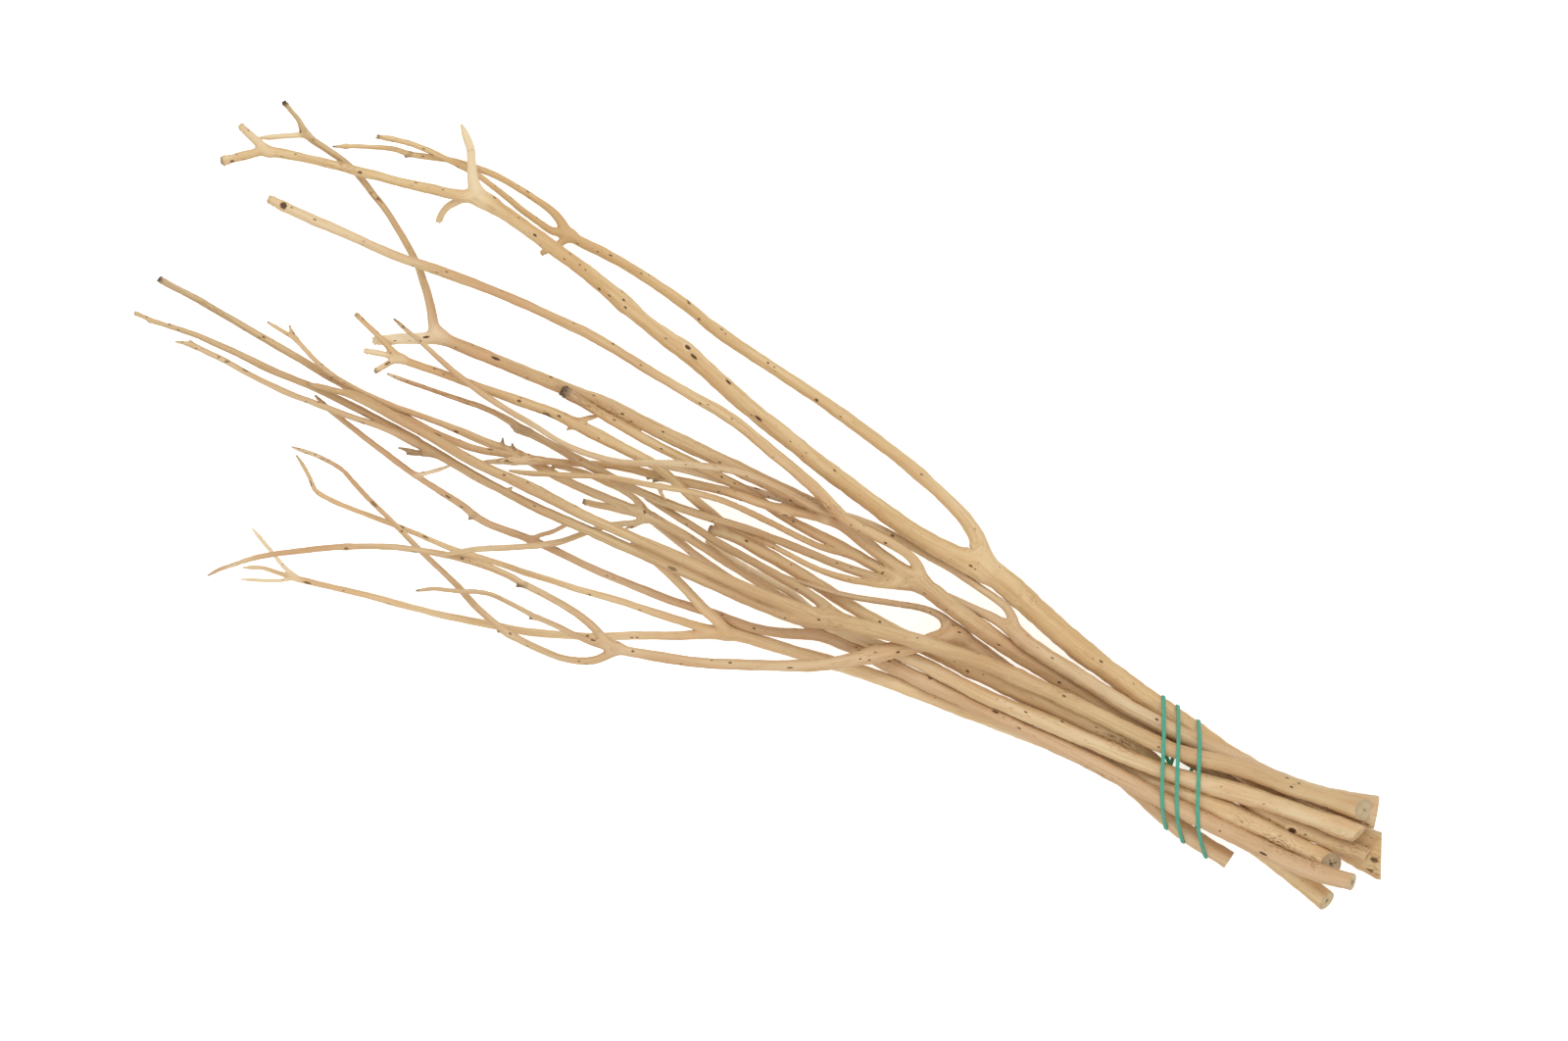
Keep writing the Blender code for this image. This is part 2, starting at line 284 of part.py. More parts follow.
            (210, -69.8, 19, 2.9), (198, -65.8, 19.5, 2.8), (186, -61.4, 20.5, 2.7), (174, -57.4, 22, 2.6),
            (162, -53.4, 24, 2.5), (151, -49, 26, 2.4), (143, -45.9, 27, 2.3), (133, -45, 28, 2.1),
            (124, -45.3, 29, 2), (118.5, -46, 29.5, 2)]),
        ("e_lower_nub", "e_lower", [(263.6, -87.4, 19, 2.6), (261.4, -89.6, 19, 2.2)]),
        ("e_dark_nub", "e_main", [(263.4, -59.4, 28.4, 2.4), (259.8, -62, 28, 2)]),
    ],
    "f": [
        ("f_main", None, [
            (742.6, 20.2, 36, 10.6), (728, 18.7, 35.6, 10), (710, 16.8, 35.2, 9.8), (690, 14.2, 34.6, 9.5),
            (675, 11.6, 33.6, 9.3), (655, 7.9, 31.6, 9), (640, 5.2, 30.6, 8.7), (620, 3, 29.6, 8.5),
            (600, 1.9, 28.6, 8.6), (580, 0.8, 27.6, 8.6), (560, 0.1, 26.6, 9), (540, -1.1, 25.6, 8.3),
            (520, -2.1, 24.6, 7.8), (500, -1.5, 23, 8), (485, -1, 21, 7.5), (470, -1.6, 19, 7.2),
            (455, -3, 18, 6.6), (440, -4.1, 17.6, 6.4), (428, -4.6, 17.4, 6), (418, -4.2, 17.2, 5.2),
            (406, -3, 17, 4.6), (394, -1.8, 16.8, 4.3), (382, -0.6, 16.6, 4.2), (370, 0.8, 16.4, 4.1),
            (358, 2.2, 16.2, 4.3), (346, 3.8, 16.2, 4.6), (334, 5.1, 16.2, 4.8), (322, 5.8, 16.2, 4.9),
            (314, 6, 16.2, 5.8), (308, 6, 16, 5.8), (302, 5.7, 15.6, 5), (292, 5.3, 15, 4.6),
            (281, 4.5, 14.6, 4.4), (270, 3.9, 14.2, 4.6), (258, 3.7, 14, 4.8), (246, 4.2, 14, 5),
            (234, 5, 14, 5.2), (226, 5, 14.2, 5), (216, 4, 14.8, 4.6), (206, 3.2, 16, 4.3),
            (196, 2.8, 18, 4), (186, 2.2, 20.4, 3.5), (176, 1.3, 23, 3.2), (166, 0.2, 26, 3),
            (156, -0.9, 29, 2.8), (146, -1.5, 31.5, 2.6), (136, -1.7, 33.6, 2.5), (126, -1.4, 35.6, 2.4),
            (118, -0.9, 37, 2.4), (112, 0.2, 38, 2.5), (105, 2, 39, 2.4), (100, 3.7, 39.8, 2.5),
            (95, 5.6, 40.6, 2.5), (90, 7.7, 41.4, 2.5), (85.6, 9.8, 42, 2.5), (81.4, 13.7, 43.2, 2)]),
        ("f_tip_left", "f_main", [(87.6, 9, 41.8, 2.2), (79, 9.4, 42.6, 2), (69.6, 10.2, 43.4, 2)]),
        ("f_under", "f_main", [
            (427, -4.6, 17.4, 4.8), (417, -2.4, 14.6, 4.6), (408, 0.2, 13.4, 4.4), (400, 2.2, 13, 4.3),
            (390, 3, 12.8, 4), (380, 3.6, 12.8, 3.8), (370, 4.1, 12.8, 3.6), (360, 5.2, 12.8, 3.4),
            (352, 6.6, 13, 3.1), (345, 8, 13.4, 2.6)]),
        ("f_arch", "f_main", [
            (309, 6.8, 16, 4.4), (303, 9.8, 16, 3.7), (296, 12, 15.6, 3.3), (288, 12.9, 15.2, 3.2),
            (279, 12.6, 14.8, 3.1), (270, 12.5, 14.4, 3), (262, 11.4, 14, 3), (255, 9.9, 13.8, 2.9),
            (249, 8.5, 13.6, 2.6)]),
        ("f_dark_end", "f_main", [
            (305, 5, 15.8, 4), (296, 2.9, 14, 3.6), (288, 1.2, 13, 3.6), (281, -0.8, 12.4, 3.4),
            (273.6, -2.5, 12, 3.2)]),
        ("f_sweep", "f_main", [
            (310.5, 4.6, 16.2, 3.8), (304.5, -0.2, 17, 3), (298.5, -3.9, 18, 2.9), (292, -8, 19, 3),
            (286, -13.2, 20, 3.1), (280, -19.3, 21.4, 3.2), (272, -27.6, 23.4, 3.2), (263, -34.3, 25.6, 3.2),
            (254, -39.8, 28, 3.1), (245, -45, 30, 3), (236, -49.9, 31.6, 2.9), (228, -54.6, 32.6, 2.8),
            (221, -59.8, 33.4, 2.6), (213.6, -65.2, 33.4, 2.2)]),
        ("f_small_twig", "f_main", [(309, 3.6, 16, 2.6), (304.4, -2, 14.8, 2.2), (300.8, -5.6, 14, 2)]),
        ("f_top_stub", "f_main", [(218.8, 5, 14.6, 2.4), (216.8, 9, 16, 2.2)]),
        ("f_top_nub", "f_main", [(227, 6.4, 14.2, 2.4), (223, 8.7, 15, 2)]),
    ],
    "g": [
        ("g_main", None, [
            (751.6, -5.9, 30.4, 9.4), (738, -8.4, 30.2, 9.8), (720, -10.2, 29.8, 10), (700, -10.5, 29.4, 9.8),
            (680, -10.6, 28.8, 9.7), (655, -10.8, 27.6, 9.4), (640, -10.4, 27, 9.2), (620, -9.8, 26.5, 9),
            (600, -9.2, 26, 9), (580, -8.9, 25.5, 8.9), (560, -9, 25, 8.6), (540, -9.3, 24.5, 8.2),
            (520, -9.5, 24, 7.9), (500, -9.6, 22.6, 7.9), (480, -9.6, 20.4, 8), (460, -9.5, 18.2, 8),
            (445, -9.7, 17.4, 7.6), (432, -10.6, 17, 7), (421, -13.4, 16.6, 6.1), (411, -17.6, 16.4, 5.5),
            (401, -21.4, 16.2, 5.2), (390, -24.4, 16, 5.2), (379, -26, 15.6, 5), (368, -27, 15.2, 4.9),
            (356, -28.7, 15, 4.7), (342, -30.8, 15, 4.4), (326, -32.1, 15.4, 4.2), (310, -33.3, 16, 4.1),
            (294, -34.2, 16.5, 4), (278, -34.2, 17, 3.8), (264, -34.3, 17.5, 4.1), (250, -35.2, 18.5, 4),
            (238, -36.6, 19.5, 3.9), (228, -37.2, 20.5, 3.9), (221, -36.4, 21.5, 4), (214, -34.6, 22.5, 3.8),
            (204, -33.3, 24, 3.5), (190, -31.7, 26, 3.2), (176, -29.8, 28, 3.1), (162, -27.1, 30, 3.1),
            (148, -24.4, 32, 3), (136, -21.8, 34, 2.9), (126, -19.6, 36, 2.8), (118, -17.5, 37.5, 2.6),
            (111.8, -15.2, 39, 2.2)]),
        ("g_under", "g_main", [
            (437, -10.2, 17.2, 5.2), (425, -9.8, 14.6, 4.9), (410, -9.4, 12.6, 4.7), (395, -8.4, 11.4, 4.6),
            (380, -7.2, 10.6, 4.5), (365, -5.4, 10, 4.4), (352, -3.8, 9.6, 4.3), (342, -2, 9.4, 4.3),
            (332, 0.4, 9.2, 4.3), (322, 2.6, 9, 4), (313, 4.4, 9, 3.6)]),
        ("g_twig", "g_main", [
            (255, -35, 18, 2.8), (259, -30.4, 20, 2.2), (264, -26, 22, 2.1), (268.5, -20.4, 24, 2.1),
            (273, -14.5, 26, 2)]),
        ("g_pale_twig", "g_main", [
            (181, -30.6, 27.2, 2.4), (187, -26.5, 28.4, 2), (191.5, -22.6, 29, 2), (196.5, -17.6, 30, 2)]),
        ("g_nub", "g_main", [(222, -37, 21.4, 2.6), (219.2, -39.8, 21.4, 2.1)]),
    ],
    "h": [
        ("h_main", None, [
            (737.4, -1.4, 29, 11), (722, -0.9, 29, 10.4), (700, -0.5, 29, 10), (680, -0.8, 29, 9.6),
            (660, -1.2, 28.4, 9.3), (640, -2.8, 25.4, 9), (620, -4.6, 21.2, 8.8), (600, -6.2, 17.4, 8.6),
            (580, -8, 15, 8.4), (560, -9.9, 13.6, 8.2), (540, -11.9, 13, 8.1), (520, -13.7, 12.8, 8),
            (500, -15.4, 12.6, 7.9), (480, -17.1, 12.4, 7.7), (460, -19.4, 12.4, 7.6), (440, -22.4, 12.6, 7.4),
            (420, -25.7, 12.8, 7), (405, -28.1, 13.2, 6.8), (392, -30.2, 13.6, 7), (381, -32.4, 14, 7.4),
            (372, -36.6, 13.6, 6.4), (362, -42.2, 12.4, 4.9), (352, -47.7, 11, 4.5), (342, -52.4, 9.5, 4.4),
            (332, -57.3, 8, 4.4), (322, -62.6, 6.8, 4.2), (312, -68, 5.5, 4.1), (301, -72.6, 4.5, 4),
            (290, -77, 3.6, 4), (280, -80.8, 3, 4), (270, -84, 2.3, 4), (260, -86.5, 1.95, 4),
            (250, -89.3, 1.9, 3.9), (240, -91.9, 1.8, 3.7), (228, -95, 1.8, 3.5), (216, -97.4, 1.9, 3.3),
            (204, -99.8, 2.1, 3.3), (192, -102, 2.4, 3.4), (180, -104.6, 2.8, 3.1), (168, -107.4, 3.3, 2.9),
            (156, -110.1, 3.8, 3), (148, -111.8, 4.2, 3), (141, -112.9, 4.4, 2.4), (135, -113.8, 4.6, 2.1),
            (127, -115.1, 5, 2), (117.4, -119.6, 6, 2)]),
        ("h_up", "h_main", [
            (379, -32.6, 14, 5.6), (369, -29.6, 18.6, 5.7), (360, -27, 20.6, 5.6), (351, -23.6, 22, 5.4),
            (342, -20.2, 23, 5.1), (333, -17.4, 23, 4.7), (324, -15.2, 22.5, 4.2), (315, -13.2, 22, 3.6)]),
        ("h_high", "h_main", [
            (376, -34, 14, 5.4), (367, -36.3, 15, 4.8), (358, -37.8, 15, 4.4), (346, -39.7, 15, 4.2),
            (332, -41.7, 14.5, 3.9), (318, -43.4, 14, 3.7), (304, -45.8, 13.5, 3.5), (290, -48.4, 13, 3.4),
            (276, -50.3, 12.5, 3.3), (262, -52.6, 12, 3.2), (248, -54.2, 11.5, 3.1), (236, -56, 11.5, 3.1),
            (224, -58.1, 11.5, 3.1), (212, -59.2, 11.5, 2.8), (198, -59.8, 12, 2.7), (184, -60.9, 12.5, 2.6),
            (170, -62.1, 13, 2.6), (156, -63.4, 14, 2.5), (144, -63.9, 15, 2.5), (134.8, -62.8, 16, 2.4),
            (130, -58.9, 18, 2), (124, -54.4, 20, 2), (117.3, -50.3, 22, 2)]),
        ("h_tip_up", "h_main", [
            (147, -112, 4.2, 2.4), (138, -109.2, 5.5, 2.1), (130, -105.6, 7, 2), (121, -101.6, 9, 2),
            (113, -97.9, 11, 2)]),
        ("h_tip_low", "h_main", [
            (146, -112.4, 4.2, 2.4), (140.5, -116.3, 4, 2.1), (134, -119.7, 3.8, 2), (126, -123.2, 3.8, 2),
            (119.5, -126, 4, 2)]),
    ],
    "n": [
        ("n_main", None, [
            (745.6, -20.9, 10, 10.8), (730, -17.6, 10.5, 10.8), (715, -14.4, 11.5, 10.6), (695, -10.2, 13, 10.4),
            (675, -5.9, 15, 10.2), (655, -1.7, 17, 10), (635, 3, 18.5, 10), (615, 7.6, 19.5, 10.2),
            (600, 9.6, 20, 10.4), (580, 9.6, 20, 10.5), (560, 9.4, 20, 10.5), (540, 9, 20, 10.5),
            (520, 8.8, 20, 10.2), (500, 8.6, 20, 9.8), (480, 8, 20, 8.8), (460, 8.3, 20, 7.8),
            (440, 9.8, 20, 7), (420, 12, 19, 6.9), (400, 14.3, 18, 6.8), (385, 15.6, 17, 6.7),
            (370, 16.6, 16.3, 6.8), (360, 17.6, 16, 6.6), (352, 19.2, 16, 6), (344, 21.6, 17, 5.4),
            (336, 23.8, 18.5, 5.1), (328, 25.8, 20.5, 4.9), (320, 28.2, 22.8, 4.8), (312, 30.6, 25, 4.8),
            (304, 32.6, 26.8, 5), (296, 33.6, 27.8, 5.4), (284, 33.9, 28, 5.9), (272, 34.2, 28, 6.3),
            (260, 34.4, 28, 6.6), (248, 34.7, 28, 6.2), (238, 34.8, 28, 5.6), (228, 33.9, 28, 5.4),
            (218, 32.6, 28, 5.3), (206, 31.2, 28.2, 4.9), (194, 29.7, 28.5, 4.6), (182, 28.5, 28.8, 4.2),
            (170, 27.3, 29.2, 4.1), (158, 25.8, 29.6, 4), (149, 24.8, 30, 4.3), (144, 25, 30.2, 4.2),
            (138, 26.8, 30.8, 3.3), (131, 29.7, 31.6, 3), (122, 32.6, 32.6, 2.9), (112.8, 35.6, 34, 2.7)]),
        ("n_prong", "n_main", [
            (146, 24.6, 30, 3.4), (139, 23.3, 29.6, 2.6), (132, 21.6, 29, 2.5), (126, 19.8, 28.4, 2.4)]),
        ("n_prong_down", "n_main", [
            (146, 24.6, 30, 3.6), (141.4, 20.5, 31, 3.4), (138.6, 16.5, 32, 3.4), (136.2, 12.6, 33, 3.2)]),
        ("n_twig", "n_main", [
            (248, 35.4, 28, 3), (252, 38.2, 28, 2.7), (256, 41.6, 27.4, 2.5), (260, 44.8, 26.6, 2.2)]),
        ("n_broken", "n_main", [(360, 17.2, 16, 5.6), (351, 15.6, 16.4, 5.2), (344, 14.4, 17, 4.8)]),
        ("n_nub", "n_main", [(251, 32.6, 28, 2.6), (247.2, 30.2, 28, 2)]),
    ],
}

# Where each trunk was cut: a point on the cut face seen from above, the way the face looks as degrees
# off +X in plan, and how many degrees it looks up.
SPARE_END = 4.0
SAW_CUTS = {
    "a_main": (761.5, 15.0, 24.6, 4),
    "b_main": (747.5, 35.2, 16.0, 0),
    "c_main": (752.6, 11.5, -4.0, 8),
    "d_main": (740.2, 33.6, 9.0, 44),
    "e_main": (686.0, -24.4, -8.0, 5),
    "f_main": (742.8, 20.2, -17.0, 16),
    "g_main": (751.8, -5.9, 10.0, 23),
    "h_main": (737.2, -1.4, -2.0, 42),
    "n_main": (745.2, -20.9, -12.0, 27),
}

# The colour and roughness of each branch's bare wood.
BARE_WOOD = {
    "a": ("D6B57C", 0.55),
    "b": ("CFAE86", 0.55),
    "c": ("CDAA7E", 0.55),
    "d": ("D8BC8A", 0.55),
    "e": ("CDAE8A", 0.55),
    "f": ("D8BC8A", 0.55),
    "g": ("CFAE86", 0.55),
    "h": ("D9BE88", 0.55),
    "n": ("C9A878", 0.55),
}


def true_place(station):
    """Where a station really is: the picture shows a high point further from its middle than it lies."""
    x, y, z, d = station
    nearness = 1 - z / EYE_HEIGHT
    return EYE_X + (x - EYE_X) * nearness, EYE_Y + (y - EYE_Y) * nearness, z, d


def smooth_line(stations):
    """Points about STEP apart on a curve through the stations, each with its diameter."""
    points = np.array(stations, dtype=float)
    lengths = np.linalg.norm(np.diff(points[:, :3], axis=0), axis=1)
    spans = np.sqrt(lengths)
    steps = np.diff(points, axis=0) / spans[:, None]
    slopes = np.empty_like(points)
    slopes[0] = steps[0]
    slopes[-1] = steps[-1]
    across = (points[2:] - points[:-2]) / (spans[:-1] + spans[1:])[:, None]
    slopes[1:-1] = steps[:-1] - across + steps[1:]
    line = []
    for start, span in enumerate(spans):
        count = max(1, math.ceil(lengths[start] / STEP))
        for k in range(count):
            t = k / count
            line.append(
                (2 * t**3 - 3 * t**2 + 1) * points[start]
                + (t**3 - 2 * t**2 + t) * span * slopes[start]
                + (3 * t**2 - 2 * t**3) * points[start + 1]
                + (t**3 - t**2) * span * slopes[start + 1]
            )
    line.append(points[-1])
    line = np.array(line)
    line[:, 3] = np.maximum(line[:, 3], THINNEST)
    return line


def lay_out_stems():
    """Every stem's line before it is lifted clear, with the sample of its parent that it starts from."""
    stems = []
    by_name = {}
    first = 0
    for branch, rows in BRANCHES.items():
        for name, parent_name, stations in rows:
            stations = [true_place(station) for station in stations]
            parent = by_name.get(parent_name)
            seat = None
            if parent:
                away = np.hypot(*(parent["line"][:, :2] - stations[0][:2]).T)
                nearest = int(away.argmin())
                seat = parent["first"] + nearest
                x, y, z, d = parent["line"][nearest]
                stations[0] = (x, y, z, min(stations[0][3], 0.9 * d))
            line = smooth_line(stations)
            steps = np.linalg.norm(np.diff(line[:, :3], axis=0), axis=1)
            stem = {"name": name, "branch": branch, "parent": parent, "seat": seat, "first": first}
            stem["line"] = line
            stem["run"] = np.concatenate([[0], np.cumsum(steps)])
            stems.append(stem)
            by_name[name] = stem
            first += len(line)
    return stems


def way_up(stem):
    """The stem and its ancestors, each with a fixed length to add and the place where the way joins it."""
    way = [(stem["name"], 0.0, None)]
    extra = 0.0
    while stem["parent"]:
        parent = stem["parent"]
        place = parent["run"][stem["seat"] - parent["first"]]
        way.append((parent["name"], extra, place))
        extra += place
        stem = parent
    return way


def along_the_wood(one, other):
    """The length of wood between each point of one stem and each point of another of its branch."""
    for name, extra, place in way_up(one):
        for other_name, other_extra, other_place in way_up(other):
            if name != other_name:
                continue
            here = one["run"] if place is None else np.full(len(one["run"]), place)
            there = other["run"] if other_place is None else np.full(len(other["run"]), other_place)
            apart = np.abs(here[:, None] - there[None, :])
            if place is not None:
                apart += one["run"][:, None] + extra
            if other_place is not None:
                apart += other["run"][None, :] + other_extra
            return apart
    return np.full((len(one["run"]), len(other["run"])), np.inf)


def crossings(stems):
    """Each pair of points that would touch seen from above: which is over which, and how far it must be."""
    over, under, needed = [], [], []
    for index, one in enumerate(stems):
        for other in stems[index + 1 :]:
            flat = one["line"][:, None, :2] - other["line"][None, :, :2]
            apart = np.hypot(flat[..., 0], flat[..., 1])
            reach = (one["line"][:, None, 3] + other["line"][None, :, 3]) / 2 + GAP
            close = apart < reach
            if not close.any():
                continue
            height = one["line"][:, None, 2] - other["line"][None, :, 2]
            if one["branch"] == other["branch"]:
                grown = along_the_wood(one, other) < FORK_REACH
                close &= ~(grown & (np.hypot(apart, height) < reach))
            rows = close.any(axis=1)
            edges = np.flatnonzero(np.diff(np.concatenate([[0], rows.astype(int), [0]])))
            for start, end in zip(edges[::2], edges[1::2]):
                i, j = np.nonzero(close[start:end])
                i = i + start
                depth = reach[i, j] - apart[i, j]
                is_over = (height[i, j] * depth).sum() > 0
                top, bottom = (i + one["first"], j + other["first"])
                if not is_over:
                    top, bottom = bottom, top
                over.extend(top)
                under.extend(bottom)
                needed.extend(np.sqrt(reach[i, j] ** 2 - apart[i, j] ** 2))
    return np.array(over), np.array(under), np.array(needed)


def lift_clear(stems):
    """Raises and lowers the stems a little, as smoothly as they bend, until they only rest on each other."""
    lines = np.concatenate([stem["line"] for stem in stems])
    base = lines[:, 2].copy()
    radius = lines[:, 3] / 2
    before = np.arange(len(lines)) - 1
    after = np.arange(len(lines)) + 1
    for stem in stems:
        before[stem["first"]] = stem["first"] if stem["seat"] is None else stem["seat"]
        last = stem["first"] + len(stem["line"]) - 1
        after[last] = last
    roots = [(stem["first"], stem["seat"]) for stem in stems if stem["parent"]]
    floor = np.minimum(base, radius + GROUND_GAP)
    tied = (lines[:, 0] > TIE_FROM) & (lines[:, 0] < TIE_TO)
    floor[tied] = radius[tied] + TIE_GROUND_GAP
    over, under, needed = crossings(stems)
    yields_over = radius[under] ** 2 / (radius[over] ** 2 + radius[under] ** 2)
    lift = np.zeros(len(lines))
    for turn in range(LIFT_ROUNDS):
        height = base + lift
        short = np.maximum(needed - (height[over] - height[under]), 0)
        up = np.zeros(len(lines))
        down = np.zeros(len(lines))
        np.maximum.at(up, over, short * yields_over)
        np.maximum.at(down, under, short * (1 - yields_over))
        lift += up - down
        ease = 0.25 * (1 - turn / LIFT_ROUNDS) ** 2
        lift += ease * ((lift[before] + lift[after]) / 2 - lift)
        lift = np.maximum(lift, floor - base)
        for root, seat in roots:
            lift[root] = lift[seat]
    for stem in stems:
        stem["line"][:, 2] += lift[stem["first"] : stem["first"] + len(stem["line"])]
    return stems


def points_its_shape_needs(line):
    """The few points of a line that keep it within LINE_TOLERANCE of its shape, thickness included."""
    shape = line * (1, 1, 1, 0.5)
    kept = {0, len(line) - 1}
    stretches = [(0, len(line) - 1)]
    while stretches:
        start, end = stretches.pop()
        if end - start < 2:
            continue
        chord = shape[end] - shape[start]
        inner = shape[start + 1 : end] - shape[start]
        along = np.clip(inner @ chord / (chord @ chord), 0, 1)
        off = np.linalg.norm(inner - along[:, None] * chord, axis=1)
        furthest = int(off.argmax())
        if off[furthest] > LINE_TOLERANCE:
            middle = start + 1 + furthest
            kept.add(middle)
            stretches += [(start, middle), (middle, end)]
    return line[sorted(kept)]


def without_pinches(line):
    """The line without points so close together in a tight bend that the tube's rings would cross."""
    points = list(line)
    index = 1
    while index < len(points) - 2:
        before, here, after, beyond = (points[index + k][:3] for k in (-1, 0, 1, 2))
        first_way = (after - before) / np.linalg.norm(after - before)
        second_way = (beyond - here) / np.linalg.norm(beyond - here)
        bend = math.acos(float(np.clip(first_way @ second_way, -1, 1)))
        room = np.linalg.norm(after - here)
        if room < 1.25 * points[index][3] * math.tan(bend / 2) + 0.2:
            points.pop(index + 1)
        else:
            index += 1
    return np.array(points)


def sides_for(thickness):
    """How many flat sides a stem of this thickness has, and how far its corners stand off its round."""
    if thickness > THICK_FROM:
        return THICK_SIDES, 1.012
    if thickness > MIDDLE_FROM:
        return MIDDLE_SIDES, 1.02
    return THIN_SIDES, 1.04


def stem_solid(name, line):
    """A closed tube along the line, as a curve with a bevel and filled ends turned into a mesh."""
    line = without_pinches(points_its_shape_needs(line))
    sides, corner = sides_for(float(np.median(line[:, 3])))
    curve = bpy.data.curves.new(name, "CURVE")
    curve.dimensions = "3D"
    curve.bevel_depth = MM
    curve.bevel_resolution = sides // 2 - 2
    curve.use_fill_caps = True
    spline = curve.splines.new("POLY")
    spline.points.add(len(line) - 1)
    for point, (x, y, z, d) in zip(spline.points, line):
        point.co = (x * MM, y * MM, z * MM, 1)
        point.radius = corner * d / 2
    guide = bpy.data.objects.new(name, curve)
    bpy.context.collection.objects.link(guide)
    depsgraph = bpy.context.evaluated_depsgraph_get()
    mesh = bpy.data.meshes.new_from_object(guide.evaluated_get(depsgraph))
    bpy.data.objects.remove(guide)
    bpy.data.curves.remove(curve)
    mesh.name = name
    tidy = bmesh.new()
    tidy.from_mesh(mesh)
    bmesh.ops.remove_doubles(tidy, verts=tidy.verts, dist=0.00001)
    bmesh.ops.recalc_face_normals(tidy, faces=tidy.faces)
    tidy.to_mesh(mesh)
    tidy.free()
    return mesh


def saw_off(mesh, x, y, z, turn, slope):
    """Cuts a trunk's end off at (x, y, z). The cut face looks turn degrees off +X and slope degrees up."""
    turn = math.radians(turn)
    slope = math.radians(slope)
    looks = (math.cos(turn) * math.cos(slope), math.sin(turn) * math.cos(slope), math.sin(slope))
    trunk = bmesh.new()
    trunk.from_mesh(mesh)
    everything = trunk.verts[:] + trunk.edges[:] + trunk.faces[:]
    bmesh.ops.bisect_plane(
        trunk, geom=everything, plane_co=(x * MM, y * MM, z * MM), plane_no=looks, clear_outer=True
    )
    rim = [edge for edge in trunk.edges if edge.is_boundary]
    bmesh.ops.edgeloop_fill(trunk, edges=rim)
    bmesh.ops.recalc_face_normals(trunk, faces=trunk.faces)
    trunk.to_mesh(mesh)
    trunk.free()


def trunk_solid(stem):
    """A main stem, made a little long and then sawn off where its cut face is."""
    x, y, turn, slope = SAW_CUTS[stem["name"]]
    line = stem["line"]
    outwards = line[0, :3] - line[2, :3]
    outwards /= np.linalg.norm(outwards)
    spare = line[0].copy()
    spare[:3] += outwards * (SPARE_END + line[0, 3] / 2)
    nearest = int(np.hypot(line[:, 0] - x, line[:, 1] - y).argmin())
    mesh = stem_solid(stem["name"], np.vstack([spare, line]))
    saw_off(mesh, x, y, line[nearest, 2], turn, slope)
    return mesh


def in_one_solid(name, meshes):
    """Joins a branch's stems where they fork, by one Boolean union on their collection."""
    collection = bpy.data.collections.new(name + "_stems")
    bpy.context.scene.collection.children.link(collection)
    for mesh in meshes[1:]:
        collection.objects.link(bpy.data.objects.new(mesh.name, mesh))
    branch = bpy.data.objects.new(name, meshes[0])
    bpy.context.collection.objects.link(branch)
    if len(meshes) > 1:
        union = branch.modifiers.new("forks", "BOOLEAN")
        union.operation = "UNION"
        union.operand_type = "COLLECTION"
        union.collection = collection
        union.solver = "EXACT"
    return branch, collection


def apply_and_clear(branch, collection):
    """Turns the branch's modifiers into its mesh, and removes what they were made from."""
    depsgraph = bpy.context.evaluated_depsgraph_get()
    mesh = bpy.data.meshes.new_from_object(branch.evaluated_get(depsgraph))
    branch.modifiers.clear()
    branch.data = mesh
    mesh.name = branch.name
    for spare in list(collection.objects):
        bpy.data.objects.remove(spare)
    bpy.data.collections.remove(collection)


def level_underside(branch):
    """Presses the lowest spots of a branch flat on the ground, so that it rests on small flat faces."""
    solid = bmesh.new()
    solid.from_mesh(branch.data)
    if min(vert.co.z for vert in solid.verts) < 0:
        everything = solid.verts[:] + solid.edges[:] + solid.faces[:]
        bmesh.ops.bisect_plane(
            solid, geom=everything, dist=0.000001, plane_co=(0, 0, 0), plane_no=(0, 0, -1), clear_outer=True
        )
        rims = [edge for edge in solid.edges if edge.is_boundary]
        bmesh.ops.holes_fill(solid, edges=rims, sides=0)
        bmesh.ops.recalc_face_normals(solid, faces=solid.faces)
    bmesh.ops.triangulate(solid, faces=solid.faces)
    bmesh.ops.remove_doubles(solid, verts=solid.verts, dist=0.00002)
    bmesh.ops.dissolve_degenerate(solid, edges=solid.edges, dist=0.00001)
    bmesh.ops.triangulate(solid, faces=solid.faces)
    solid.to_mesh(branch.data)
    solid.free()


def trunk_rings(stems, x):
    """The round section (y, z, radius) of every main stem that reaches across the bundle at x."""
    rings = []
    for stem in stems:
        line = stem["line"]
        if stem["parent"] or not line[:, 0].min() < x < line[:, 0].max():
            continue
        order = line[:, 0].argsort()
        y, z, d = (np.interp(x, line[order, 0], line[order, k]) for k in (1, 2, 3))
        rings.append((y, z, d / 2))
    return rings


def smooth_step(share):
    """An even start and stop between 0 and 1."""
    return share * share * (3 - 2 * share)


def band_place(turn, y, normal):
    """How far along the bundle one turn of the band lies at y, and how far it has crossed over below."""
    here = BAND_TURNS_AT[turn]
    there = BAND_TURNS_AT[(turn + 1) % len(BAND_TURNS_AT)]
    crossed = 0.0
    if normal > math.pi:
        crossed = (y - BAND_CROSSES_FROM) / (BAND_CROSSES_TO - BAND_CROSSES_FROM)
        crossed = min(max(crossed, 0.0), 1.0)
    level = here + (there - here) * smooth_step(crossed)
    drop = y - BAND_LEVEL_Y
    return level - BAND_SLANT * drop + BAND_CURL * min(drop, 0) ** 2, crossed


